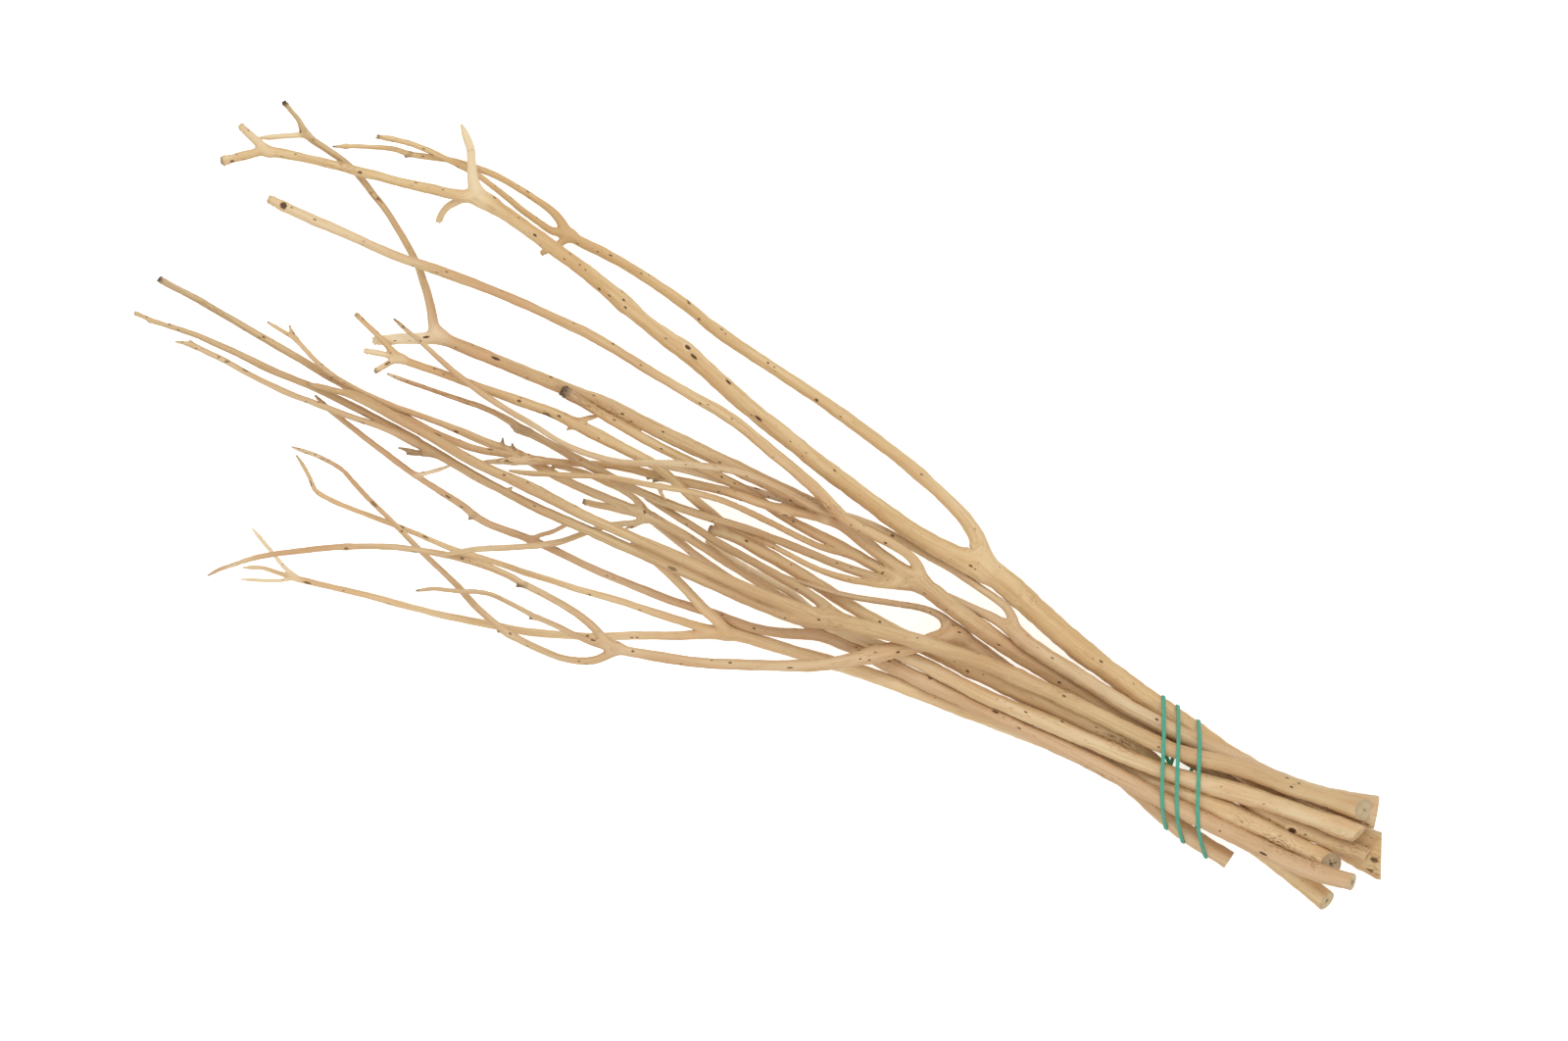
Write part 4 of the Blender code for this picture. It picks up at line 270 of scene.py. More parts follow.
            (62, -13, 45.3, 3.6), (50, -13.4, 46.6, 3.2), (38, -13.8, 48, 3), (26, -15.2, 49.5, 2.8),
            (14, -17, 51, 2.3), (6, -17.6, 52, 2.2), (0.8, -17.8, 52.5, 2.2)]),
        ("d_twin_nub", "d_twin", [(13, -17.2, 51, 2.2), (9.8, -18.8, 51.2, 2)]),
        ("d_low", "d_twin", [
            (172, -14, 38, 4), (160, -14.3, 40, 3.4), (150, -14.9, 41, 3.2), (140, -16.3, 42, 3.1),
            (130, -17.6, 42.5, 3.1), (120, -18.5, 43, 3.2), (110, -19.4, 43.5, 3.2), (98, -20.5, 44, 3.2),
            (84, -20.7, 44.5, 3), (70, -20.5, 45, 2.8), (58, -19.8, 45.5, 3), (46, -19.9, 46, 2.8),
            (38, -20, 46.5, 2.8), (33, -20.8, 47, 2.2), (28.2, -22.1, 47.5, 2)]),
        ("d_low_nub", "d_low", [(38, -19.6, 46.5, 2.2), (34, -17.9, 47.4, 2)]),
        ("d_up", "d_main", [
            (432, 0, 35, 6), (422, 4, 34, 5), (411, 6, 32, 4.6), (400, 7.1, 30.2, 4.3), (388, 7.8, 28.6, 4.1),
            (376, 8.5, 27, 4), (364, 9.1, 25.6, 3.8), (354, 9.5, 24.6, 3.8), (344, 10.6, 23.8, 3.7),
            (334, 11.9, 22.8, 3.5), (324, 12.9, 21.4, 3.3), (314, 14, 20, 3), (304, 15, 19, 2.6)]),
        ("d_dark_twig", "d_twin", [
            (187, -15.4, 38, 2.8), (180, -18.1, 38.5, 2.4), (174, -19.4, 39, 2.3), (167, -20.8, 39.5, 2.2)]),
        ("d_dark_fork", "d_dark_twig", [(178, -18.7, 38.7, 2.2), (172.6, -21.9, 38.4, 2)]),
        ("d_bridge", "d_twin", [(230.6, -16, 38.4, 2.2), (233.4, -12.7, 40.4, 2)]),
    ],
    "e": [
        ("e_main", None, [
            (686, -24.4, 12.6, 9.6), (670, -23, 13.4, 10), (655, -20.6, 13.6, 10), (640, -16.6, 12, 10),
            (620, -11, 9.5, 10), (600, -5.2, 7.5, 10), (580, 0.8, 6.5, 10), (560, 6.8, 6.3, 9.8),
            (545, 11.4, 6.8, 9.6), (530, 15.4, 8.4, 9.4), (515, 18.6, 10.8, 9.2), (503, 20.6, 13.4, 9.6),
            (493, 20.8, 16, 10.2), (484.6, 14.6, 18, 9.2), (477, 7.6, 20.5, 9), (469, 1.4, 23, 8.8),
            (461, -5, 26, 8.4), (453.5, -11, 28.5, 8), (446, -17, 30, 7.4), (438, -23, 31, 6.9),
            (429, -28.6, 31.5, 6.5), (419, -33.8, 32, 6.2), (409, -38.6, 32, 5.9), (398, -43.6, 32, 5.7),
            (386, -48.9, 32, 5.7), (374, -54, 32, 5.5), (362, -58.3, 31.6, 5.6), (350, -62, 31.2, 5.5),
            (338, -65.6, 30.8, 5.3), (329, -67.8, 30.4, 5.5), (322, -68.2, 30.2, 5.6),
            (315.5, -66.2, 30, 4.8), (309, -63.6, 29.8, 4.3), (300, -61.2, 29.5, 4),
            (288, -59.7, 29, 3.8), (276, -59.1, 28.7, 3.6), (264, -58.9, 28.4, 3.5),
            (252, -58.4, 28.2, 3.5), (240, -59, 28, 3.6), (229, -60.6, 28, 3.6), (219, -62.6, 28, 3.5),
            (209, -65.4, 28, 3.3), (200, -68.2, 27.5, 3.1), (190, -71.6, 27, 3.1), (178, -76.8, 26, 3.1),
            (166, -82.8, 25, 3.1), (154, -89.5, 24, 3.1), (142, -97.2, 22.5, 3), (130, -105, 21, 2.8),
            (120, -112.6, 19.5, 2.5), (112, -120.3, 18, 2.2), (106, -126.3, 17, 2), (102, -131.6, 16, 2)]),
        ("e_chunk", "e_main", [
            (495, 21.4, 15.6, 9.4), (487.6, 25.2, 18, 7.6), (480, 27.6, 20.2, 5), (469, 26.8, 22.5, 4.1),
            (459, 23.9, 24.5, 4.1), (449, 20.8, 26, 4.1), (439, 17.6, 27, 4), (429, 14.8, 27.3, 3.8),
            (419, 12.7, 27, 3.6), (409, 11, 26.4, 3.4), (400, 9.8, 25.4, 3.1), (392, 9, 24.4, 2.6)]),
        ("e_middle", "e_main", [
            (325, -69, 30.3, 5), (314, -71, 30.4, 3.8), (302, -72, 30, 3.1), (290, -71.8, 29.5, 2.9),
            (276, -72.4, 29, 2.7), (262, -72, 28.6, 2.4), (250, -72.1, 28, 2.4), (242, -74, 27, 2.3),
            (234, -77.6, 26, 2.2), (226, -80.7, 25, 2.2), (219, -83.2, 24.5, 2), (210.8, -88.4, 24, 2)]),
        ("e_middle_nub", "e_middle", [(277.6, -72.8, 29, 2.2), (275, -74.6, 28.6, 2)]),
        ("e_lower", "e_main", [
            (326, -68.8, 30.3, 5), (321.6, -75.4, 28, 4.6), (316, -80.8, 26, 4), (308, -84.7, 24, 3.6),
            (298, -87.2, 22, 3.6), (286, -87.9, 20.5, 3.6), (274, -87.9, 19.5, 3.6), (263, -86.9, 19, 3.8),
            (252, -84.2, 19, 3.7), (242, -81.2, 19, 3.6), (232, -76.9, 19, 3.3), (221, -73.2, 19, 3.1),
            (210, -69.8, 19, 2.9), (198, -65.8, 19.5, 2.8), (186, -61.4, 20.5, 2.7), (174, -57.4, 22, 2.6),
            (162, -53.4, 24, 2.5), (151, -49, 26, 2.4), (143, -45.9, 27, 2.3), (133, -45, 28, 2.1),
            (124, -45.3, 29, 2), (118.5, -46, 29.5, 2)]),
        ("e_lower_nub", "e_lower", [(263.6, -87.4, 19, 2.6), (261.4, -89.6, 19, 2.2)]),
        ("e_dark_nub", "e_main", [(263.4, -59.4, 28.4, 2.4), (259.8, -62, 28, 2)]),
    ],
    "f": [
        ("f_main", None, [
            (742.6, 20.2, 36, 10.6), (728, 18.7, 35.6, 10), (710, 16.8, 35.2, 9.8), (690, 14.2, 34.6, 9.5),
            (675, 11.6, 33.6, 9.3), (655, 7.9, 31.6, 9), (640, 5.2, 30.6, 8.7), (620, 3, 29.6, 8.5),
            (600, 1.9, 28.6, 8.6), (580, 0.8, 27.6, 8.6), (560, 0.1, 26.6, 9), (540, -1.1, 25.6, 8.3),
            (520, -2.1, 24.6, 7.8), (500, -1.5, 23, 8), (485, -1, 21, 7.5), (470, -1.6, 19, 7.2),
            (455, -3, 18, 6.6), (440, -4.1, 17.6, 6.4), (428, -4.6, 17.4, 6), (418, -4.2, 17.2, 5.2),
            (406, -3, 17, 4.6), (394, -1.8, 16.8, 4.3), (382, -0.6, 16.6, 4.2), (370, 0.8, 16.4, 4.1),
            (358, 2.2, 16.2, 4.3), (346, 3.8, 16.2, 4.6), (334, 5.1, 16.2, 4.8), (322, 5.8, 16.2, 4.9),
            (314, 6, 16.2, 5.8), (308, 6, 16, 5.8), (302, 5.7, 15.6, 5), (292, 5.3, 15, 4.6),
            (281, 4.5, 14.6, 4.4), (270, 3.9, 14.2, 4.6), (258, 3.7, 14, 4.8), (246, 4.2, 14, 5),
            (234, 5, 14, 5.2), (226, 5, 14.2, 5), (216, 4, 14.8, 4.6), (206, 3.2, 16, 4.3),
            (196, 2.8, 18, 4), (186, 2.2, 20.4, 3.5), (176, 1.3, 23, 3.2), (166, 0.2, 26, 3),
            (156, -0.9, 29, 2.8), (146, -1.5, 31.5, 2.6), (136, -1.7, 33.6, 2.5), (126, -1.4, 35.6, 2.4),
            (118, -0.9, 37, 2.4), (112, 0.2, 38, 2.5), (105, 2, 39, 2.4), (100, 3.7, 39.8, 2.5),
            (95, 5.6, 40.6, 2.5), (90, 7.7, 41.4, 2.5), (85.6, 9.8, 42, 2.5), (81.4, 13.7, 43.2, 2)]),
        ("f_tip_left", "f_main", [(87.6, 9, 41.8, 2.2), (79, 9.4, 42.6, 2), (69.6, 10.2, 43.4, 2)]),
        ("f_under", "f_main", [
            (427, -4.6, 17.4, 4.8), (417, -2.4, 14.6, 4.6), (408, 0.2, 13.4, 4.4), (400, 2.2, 13, 4.3),
            (390, 3, 12.8, 4), (380, 3.6, 12.8, 3.8), (370, 4.1, 12.8, 3.6), (360, 5.2, 12.8, 3.4),
            (352, 6.6, 13, 3.1), (345, 8, 13.4, 2.6)]),
        ("f_arch", "f_main", [
            (309, 6.8, 16, 4.4), (303, 9.8, 16, 3.7), (296, 12, 15.6, 3.3), (288, 12.9, 15.2, 3.2),
            (279, 12.6, 14.8, 3.1), (270, 12.5, 14.4, 3), (262, 11.4, 14, 3), (255, 9.9, 13.8, 2.9),
            (249, 8.5, 13.6, 2.6)]),
        ("f_dark_end", "f_main", [
            (305, 5, 15.8, 4), (296, 2.9, 14, 3.6), (288, 1.2, 13, 3.6), (281, -0.8, 12.4, 3.4),
            (273.6, -2.5, 12, 3.2)]),
        ("f_sweep", "f_main", [
            (310.5, 4.6, 16.2, 3.8), (304.5, -0.2, 17, 3), (298.5, -3.9, 18, 2.9), (292, -8, 19, 3),
            (286, -13.2, 20, 3.1), (280, -19.3, 21.4, 3.2), (272, -27.6, 23.4, 3.2), (263, -34.3, 25.6, 3.2),
            (254, -39.8, 28, 3.1), (245, -45, 30, 3), (236, -49.9, 31.6, 2.9), (228, -54.6, 32.6, 2.8),
            (221, -59.8, 33.4, 2.6), (213.6, -65.2, 33.4, 2.2)]),
        ("f_small_twig", "f_main", [(309, 3.6, 16, 2.6), (304.4, -2, 14.8, 2.2), (300.8, -5.6, 14, 2)]),
        ("f_top_stub", "f_main", [(218.8, 5, 14.6, 2.4), (216.8, 9, 16, 2.2)]),
        ("f_top_nub", "f_main", [(227, 6.4, 14.2, 2.4), (223, 8.7, 15, 2)]),
    ],
    "g": [
        ("g_main", None, [
            (751.6, -5.9, 30.4, 9.4), (738, -8.4, 30.2, 9.8), (720, -10.2, 29.8, 10), (700, -10.5, 29.4, 9.8),
            (680, -10.6, 28.8, 9.7), (655, -10.8, 27.6, 9.4), (640, -10.4, 27, 9.2), (620, -9.8, 26.5, 9),
            (600, -9.2, 26, 9), (580, -8.9, 25.5, 8.9), (560, -9, 25, 8.6), (540, -9.3, 24.5, 8.2),
            (520, -9.5, 24, 7.9), (500, -9.6, 22.6, 7.9), (480, -9.6, 20.4, 8), (460, -9.5, 18.2, 8),
            (445, -9.7, 17.4, 7.6), (432, -10.6, 17, 7), (421, -13.4, 16.6, 6.1), (411, -17.6, 16.4, 5.5),
            (401, -21.4, 16.2, 5.2), (390, -24.4, 16, 5.2), (379, -26, 15.6, 5), (368, -27, 15.2, 4.9),
            (356, -28.7, 15, 4.7), (342, -30.8, 15, 4.4), (326, -32.1, 15.4, 4.2), (310, -33.3, 16, 4.1),
            (294, -34.2, 16.5, 4), (278, -34.2, 17, 3.8), (264, -34.3, 17.5, 4.1), (250, -35.2, 18.5, 4),
            (238, -36.6, 19.5, 3.9), (228, -37.2, 20.5, 3.9), (221, -36.4, 21.5, 4), (214, -34.6, 22.5, 3.8),
            (204, -33.3, 24, 3.5), (190, -31.7, 26, 3.2), (176, -29.8, 28, 3.1), (162, -27.1, 30, 3.1),
            (148, -24.4, 32, 3), (136, -21.8, 34, 2.9), (126, -19.6, 36, 2.8), (118, -17.5, 37.5, 2.6),
            (111.8, -15.2, 39, 2.2)]),
        ("g_under", "g_main", [
            (437, -10.2, 17.2, 5.2), (425, -9.8, 14.6, 4.9), (410, -9.4, 12.6, 4.7), (395, -8.4, 11.4, 4.6),
            (380, -7.2, 10.6, 4.5), (365, -5.4, 10, 4.4), (352, -3.8, 9.6, 4.3), (342, -2, 9.4, 4.3),
            (332, 0.4, 9.2, 4.3), (322, 2.6, 9, 4), (313, 4.4, 9, 3.6)]),
        ("g_twig", "g_main", [
            (255, -35, 18, 2.8), (259, -30.4, 20, 2.2), (264, -26, 22, 2.1), (268.5, -20.4, 24, 2.1),
            (273, -14.5, 26, 2)]),
        ("g_pale_twig", "g_main", [
            (181, -30.6, 27.2, 2.4), (187, -26.5, 28.4, 2), (191.5, -22.6, 29, 2), (196.5, -17.6, 30, 2)]),
        ("g_nub", "g_main", [(222, -37, 21.4, 2.6), (219.2, -39.8, 21.4, 2.1)]),
    ],
    "h": [
        ("h_main", None, [
            (737.4, -1.4, 29, 11), (722, -0.9, 29, 10.4), (700, -0.5, 29, 10), (680, -0.8, 29, 9.6),
            (660, -1.2, 28.4, 9.3), (640, -2.8, 25.4, 9), (620, -4.6, 21.2, 8.8), (600, -6.2, 17.4, 8.6),
            (580, -8, 15, 8.4), (560, -9.9, 13.6, 8.2), (540, -11.9, 13, 8.1), (520, -13.7, 12.8, 8),
            (500, -15.4, 12.6, 7.9), (480, -17.1, 12.4, 7.7), (460, -19.4, 12.4, 7.6),
            (440, -22.4, 12.6, 7.4), (420, -25.7, 12.8, 7), (405, -28.1, 13.2, 6.8),
            (392, -30.2, 13.6, 7), (381, -32.4, 14, 7.4), (372, -36.6, 13.6, 6.4),
            (362, -42.2, 12.4, 4.9), (352, -47.7, 11, 4.5), (342, -52.4, 9.5, 4.4), (332, -57.3, 8, 4.4),
            (322, -62.6, 6.8, 4.2), (312, -68, 5.5, 4.1), (301, -72.6, 4.5, 4), (290, -77, 3.6, 4),
            (280, -80.8, 3, 4), (270, -84, 2.3, 4), (260, -86.5, 1.95, 4), (250, -89.3, 1.9, 3.9),
            (240, -91.9, 1.8, 3.7), (228, -95, 1.8, 3.5), (216, -97.4, 1.9, 3.3), (204, -99.8, 2.1, 3.3),
            (192, -102, 2.4, 3.4), (180, -104.6, 2.8, 3.1), (168, -107.4, 3.3, 2.9),
            (156, -110.1, 3.8, 3), (148, -111.8, 4.2, 3), (141, -112.9, 4.4, 2.4),
            (135, -113.8, 4.6, 2.1), (127, -115.1, 5, 2), (117.4, -119.6, 6, 2)]),
        ("h_up", "h_main", [
            (379, -32.6, 14, 5.6), (369, -29.6, 18.6, 5.7), (360, -27, 20.6, 5.6), (351, -23.6, 22, 5.4),
            (342, -20.2, 23, 5.1), (333, -17.4, 23, 4.7), (324, -15.2, 22.5, 4.2), (315, -13.2, 22, 3.6)]),
        ("h_high", "h_main", [
            (376, -34, 14, 5.4), (367, -36.3, 15, 4.8), (358, -37.8, 15, 4.4), (346, -39.7, 15, 4.2),
            (332, -41.7, 14.5, 3.9), (318, -43.4, 14, 3.7), (304, -45.8, 13.5, 3.5), (290, -48.4, 13, 3.4),
            (276, -50.3, 12.5, 3.3), (262, -52.6, 12, 3.2), (248, -54.2, 11.5, 3.1), (236, -56, 11.5, 3.1),
            (224, -58.1, 11.5, 3.1), (212, -59.2, 11.5, 2.8), (198, -59.8, 12, 2.7), (184, -60.9, 12.5, 2.6),
            (170, -62.1, 13, 2.6), (156, -63.4, 14, 2.5), (144, -63.9, 15, 2.5), (134.8, -62.8, 16, 2.4),
            (130, -58.9, 18, 2), (124, -54.4, 20, 2), (117.3, -50.3, 22, 2)]),
        ("h_tip_up", "h_main", [
            (147, -112, 4.2, 2.4), (138, -109.2, 5.5, 2.1), (130, -105.6, 7, 2), (121, -101.6, 9, 2),
            (113, -97.9, 11, 2)]),
        ("h_tip_low", "h_main", [
            (146, -112.4, 4.2, 2.4), (140.5, -116.3, 4, 2.1), (134, -119.7, 3.8, 2), (126, -123.2, 3.8, 2),
            (119.5, -126, 4, 2)]),
    ],
    "n": [
        ("n_main", None, [
            (745.6, -20.9, 10, 10.8), (730, -17.6, 10.5, 10.8), (715, -14.4, 11.5, 10.6),
            (695, -10.2, 13, 10.4), (675, -5.9, 15, 10.2), (655, -1.7, 17, 10), (635, 3, 18.5, 10),
            (615, 7.6, 19.5, 10.2), (600, 9.6, 20, 10.4), (580, 9.6, 20, 10.5), (560, 9.4, 20, 10.5),
            (540, 9, 20, 10.5), (520, 8.8, 20, 10.2), (500, 8.6, 20, 9.8), (480, 8, 20, 8.8),
            (460, 8.3, 20, 7.8), (440, 9.8, 20, 7), (420, 12, 19, 6.9), (400, 14.3, 18, 6.8),
            (385, 15.6, 17, 6.7), (370, 16.6, 16.3, 6.8), (360, 17.6, 16, 6.6), (352, 19.2, 16, 6),
            (344, 21.6, 17, 5.4), (336, 23.8, 18.5, 5.1), (328, 25.8, 20.5, 4.9), (320, 28.2, 22.8, 4.8),
            (312, 30.6, 25, 4.8), (304, 32.6, 26.8, 5), (296, 33.6, 27.8, 5.4), (284, 33.9, 28, 5.9),
            (272, 34.2, 28, 6.3), (260, 34.4, 28, 6.6), (248, 34.7, 28, 6.2), (238, 34.8, 28, 5.6),
            (228, 33.9, 28, 5.4), (218, 32.6, 28, 5.3), (206, 31.2, 28.2, 4.9), (194, 29.7, 28.5, 4.6),
            (182, 28.5, 28.8, 4.2), (170, 27.3, 29.2, 4.1), (158, 25.8, 29.6, 4), (149, 24.8, 30, 4.3),
            (144, 25, 30.2, 4.2), (138, 26.8, 30.8, 3.3), (131, 29.7, 31.6, 3), (122, 32.6, 32.6, 2.9),
            (112.8, 35.6, 34, 2.7)]),
        ("n_prong", "n_main", [
            (146, 24.6, 30, 3.4), (139, 23.3, 29.6, 2.6), (132, 21.6, 29, 2.5), (126, 19.8, 28.4, 2.4)]),
        ("n_prong_down", "n_main", [
            (146, 24.6, 30, 3.6), (141.4, 20.5, 31, 3.4), (138.6, 16.5, 32, 3.4), (136.2, 12.6, 33, 3.2)]),
        ("n_twig", "n_main", [
            (248, 35.4, 28, 3), (252, 38.2, 28, 2.7), (256, 41.6, 27.4, 2.5), (260, 44.8, 26.6, 2.2)]),
        ("n_broken", "n_main", [(360, 17.2, 16, 5.6), (351, 15.6, 16.4, 5.2), (344, 14.4, 17, 4.8)]),
        ("n_nub", "n_main", [(251, 32.6, 28, 2.6), (247.2, 30.2, 28, 2)]),
    ],
}


def true_place(station):
    """Where a station really is: the picture shows a high point further from its middle than it lies."""
    x, y, z, d = station
    nearness = 1 - z / EYE_HEIGHT
    return EYE_X + (x - EYE_X) * nearness, EYE_Y + (y - EYE_Y) * nearness, z, d


def smooth_line(stations, step=STEP):
    """Points about step apart on a curve through the stations, each with its diameter."""
    points = np.array(stations, dtype=float)
    lengths = np.linalg.norm(np.diff(points[:, :3], axis=0), axis=1)
    spans = np.sqrt(lengths)
    steps = np.diff(points, axis=0) / spans[:, None]
    slopes = np.empty_like(points)
    slopes[0] = steps[0]
    slopes[-1] = steps[-1]
    across = (points[2:] - points[:-2]) / (spans[:-1] + spans[1:])[:, None]
    slopes[1:-1] = steps[:-1] - across + steps[1:]
    line = []
    for start, span in enumerate(spans):
        count = max(1, math.ceil(lengths[start] / step))
        for k in range(count):
            t = k / count
            line.append(
                (2 * t**3 - 3 * t**2 + 1) * points[start]
                + (t**3 - 2 * t**2 + t) * span * slopes[start]
                + (3 * t**2 - 2 * t**3) * points[start + 1]
                + (t**3 - t**2) * span * slopes[start + 1]
            )
    line.append(points[-1])
    line = np.array(line)
    line[:, 3] = np.maximum(line[:, 3], THINNEST)
    return line


def lay_out_stems():
    """Every stem's line before it is lifted clear, with the sample of its parent that it starts from."""
    stems = []
    by_name = {}
    first = 0
    for branch, rows in BRANCHES.items():
        for name, parent_name, stations in rows:
            stations = [true_place(station) for station in stations]
            parent = by_name.get(parent_name)
            seat = None
            if parent:
                away = np.hypot(*(parent["line"][:, :2] - stations[0][:2]).T)
                nearest = int(away.argmin())
                seat = parent["first"] + nearest
                x, y, z, d = parent["line"][nearest]
                stations[0] = (x, y, z, min(stations[0][3], FORK_SHARE * d))
            line = smooth_line(stations)
            steps = np.linalg.norm(np.diff(line[:, :3], axis=0), axis=1)
            stem = {"name": name, "branch": branch, "parent": parent, "seat": seat, "first": first}
            stem["line"] = line
            stem["run"] = np.concatenate([[0], np.cumsum(steps)])
            stems.append(stem)
            by_name[name] = stem
            first += len(line)
    return stems


def way_up(stem):
    """The stem and its ancestors, each with a fixed length to add and the place where the way joins it."""
    way = [(stem["name"], 0.0, None)]
    extra = 0.0
    while stem["parent"]:
        parent = stem["parent"]
        place = parent["run"][stem["seat"] - parent["first"]]
        way.append((parent["name"], extra, place))
        extra += place
        stem = parent
    return way


def along_the_wood(one, other):
    """The length of wood between each point of one stem and each point of another of its branch."""
    for name, extra, place in way_up(one):
        for other_name, other_extra, other_place in way_up(other):
            if name != other_name:
                continue
            here = one["run"] if place is None else np.full(len(one["run"]), place)
            there = other["run"] if other_place is None else np.full(len(other["run"]), other_place)
            apart = np.abs(here[:, None] - there[None, :])
            if place is not None:
                apart += one["run"][:, None] + extra
            if other_place is not None:
                apart += other["run"][None, :] + other_extra
            return apart
    return np.full((len(one["run"]), len(other["run"])), np.inf)


def crossings(stems):
    """Each pair of points that would touch seen from above: which is over which, and how far it must be."""
    over, under, needed = [], [], []
    for index, one in enumerate(stems):
        for other in stems[index + 1 :]:
            flat = one["line"][:, None, :2] - other["line"][None, :, :2]
            apart = np.hypot(flat[..., 0], flat[..., 1])
            reach = (one["line"][:, None, 3] + other["line"][None, :, 3]) / 2 + GAP
            close = apart < reach
            if not close.any():
                continue
            height = one["line"][:, None, 2] - other["line"][None, :, 2]
            if one["branch"] == other["branch"]:
                grown = along_the_wood(one, other) < FORK_REACH
                close &= ~(grown & (np.hypot(apart, height) < reach))
            rows = close.any(axis=1)
            edges = np.flatnonzero(np.diff(np.concatenate([[0], rows.astype(int), [0]])))
            for start, end in zip(edges[::2], edges[1::2]):
                i, j = np.nonzero(close[start:end])
                i = i + start
                depth = reach[i, j] - apart[i, j]
                is_over = (height[i, j] * depth).sum() > 0
                top, bottom = (i + one["first"], j + other["first"])
                if not is_over:
                    top, bottom = bottom, top
                over.extend(top)
                under.extend(bottom)
                needed.extend(np.sqrt(reach[i, j] ** 2 - apart[i, j] ** 2))
    return np.array(over), np.array(under), np.array(needed)


def lift_clear(stems):
    """Raises and lowers the stems a little, as smoothly as they bend, until they only rest on each other."""
    lines = np.concatenate([stem["line"] for stem in stems])
    base = lines[:, 2].copy()
    radius = lines[:, 3] / 2
    before = np.arange(len(lines)) - 1
    after = np.arange(len(lines)) + 1
    for stem in stems:
        before[stem["first"]] = stem["first"] if stem["seat"] is None else stem["seat"]
        last = stem["first"] + len(stem["line"]) - 1
        after[last] = last
    roots = [(stem["first"], stem["seat"]) for stem in stems if stem["parent"]]
    floor = np.minimum(base, radius + GROUND_GAP)
    tied = (lines[:, 0] > TIE_FROM) & (lines[:, 0] < TIE_TO)
    floor[tied] = radius[tied] + TIE_GROUND_GAP
    over, under, needed = crossings(stems)
    yields_over = radius[under] ** 2 / (radius[over] ** 2 + radius[under] ** 2)
    lift = np.zeros(len(lines))
    for turn in range(LIFT_ROUNDS):
        height = base + lift
        short = np.maximum(needed - (height[over] - height[under]), 0)
        up = np.zeros(len(lines))
        down = np.zeros(len(lines))
        np.maximum.at(up, over, short * yields_over)
        np.maximum.at(down, under, short * (1 - yields_over))
        lift += up - down
        ease = LIFT_EASE * (1 - turn / LIFT_ROUNDS) ** 2
        lift += ease * ((lift[before] + lift[after]) / 2 - lift)
        lift = np.maximum(lift, floor - base)
        for root, seat in roots:
            lift[root] = lift[seat]
    for stem in stems:
        stem["line"][:, 2] += lift[stem["first"] : stem["first"] + len(stem["line"])]
    return stems


stems = lift_clear(lay_out_stems())

# The rubber band. Real: a flat ring of green rubber, wound three times round the trunks above the
# cut ends, so that nine loose branches stay one bunch. Moulded, cut from a tube, and stretched.
BAND_WIDTH = 2.2
BAND_THICKNESS = 0.8
BAND_GAP = 0.5
BAND_TURNS_AT = (633.5, 642.5, 655.5)
BAND_LEVEL_Y = -5.0
BAND_SLANT = 0.45
BAND_CURL = 0.014
BAND_STEP_DEGREES = 12.0
BAND_SETTLES_IN = 5
BAND_STRETCH = 4.0
BAND_STARTS_AT = -60.0
BAND_CROSSES_FROM = -14.0
BAND_CROSSES_TO = 22.0
BAND_CROSSING_LIFT = 1.4
BAND_EDGE = 0.22
BLOOM_SIZE = 2.5
BLOOM_DEPTH = 0.05


def trunk_rings(stems, x):
    """The round section (y, z, radius) of every main stem that reaches across the bundle at x."""
    rings = []
    for stem in stems:
        line = stem["line"]
        if stem["parent"] or not line[:, 0].min() < x < line[:, 0].max():
            continue
        order = line[:, 0].argsort()
        y, z, d = (np.interp(x, line[order, 0], line[order, k]) for k in (1, 2, 3))
        rings.append((y, z, d / 2))
    return rings


def smooth_step(share):
    """An even start and stop between 0 and 1."""
    return share * share * (3 - 2 * share)


def band_place(turn, y, normal):
    """How far along the bundle one turn of the band lies at y, and how far it has crossed over below."""
    here = BAND_TURNS_AT[turn]
    there = BAND_TURNS_AT[(turn + 1) % len(BAND_TURNS_AT)]
    crossed = 0.0
    if normal > math.pi:
        crossed = (y - BAND_CROSSES_FROM) / (BAND_CROSSES_TO - BAND_CROSSES_FROM)
        crossed = min(max(crossed, 0.0), 1.0)
    level = here + (there - here) * smooth_step(crossed)
    drop = y - BAND_LEVEL_Y
    return level - BAND_SLANT * drop + BAND_CURL * min(drop, 0) ** 2, crossed


def band_touches(stems, turn, normal):
    """Where one turn of the band, pulled tight, touches the trunks on the side that looks along normal."""
    looks_y, looks_z = math.cos(normal), math.sin(normal)
    x = BAND_TURNS_AT[turn]
    for _ in range(BAND_SETTLES_IN):
        rings = trunk_rings(stems, x)
        y, z, radius = max(rings, key=lambda ring: ring[0] * looks_y + ring[1] * looks_z + ring[2])
        y += radius * looks_y
        z += radius * looks_z
        x, _crossed = band_place(turn, y, normal)
    return np.array([x, y, z, normal])


def band_route(stems):
    """The band's line against the wood, with the way out from it: turns that run into one another."""
    steps = round(360 / BAND_STEP_DEGREES)
    last = len(BAND_TURNS_AT) - 1
    route = []
    for turn in range(len(BAND_TURNS_AT)):
        normals = [math.radians(BAND_STARTS_AT + BAND_STEP_DEGREES * k) for k in range(steps + 1)]
        touches = [band_touches(stems, turn, normal) for normal in normals]
        for start, end in zip(touches, touches[1:]):
            pieces = max(1, round(float(np.linalg.norm((end - start)[:3])) / BAND_STRETCH))
            for k in range(pieces):
                x, y, z, normal = start + (end - start) * k / pieces
                x, crossed = band_place(turn, y, normal)
                lift = 0.0
                if turn == last:
                    lift = BAND_CROSSING_LIFT * math.sqrt(math.sin(math.pi * crossed))
                route.append((x, y, z, normal, lift))
    return route


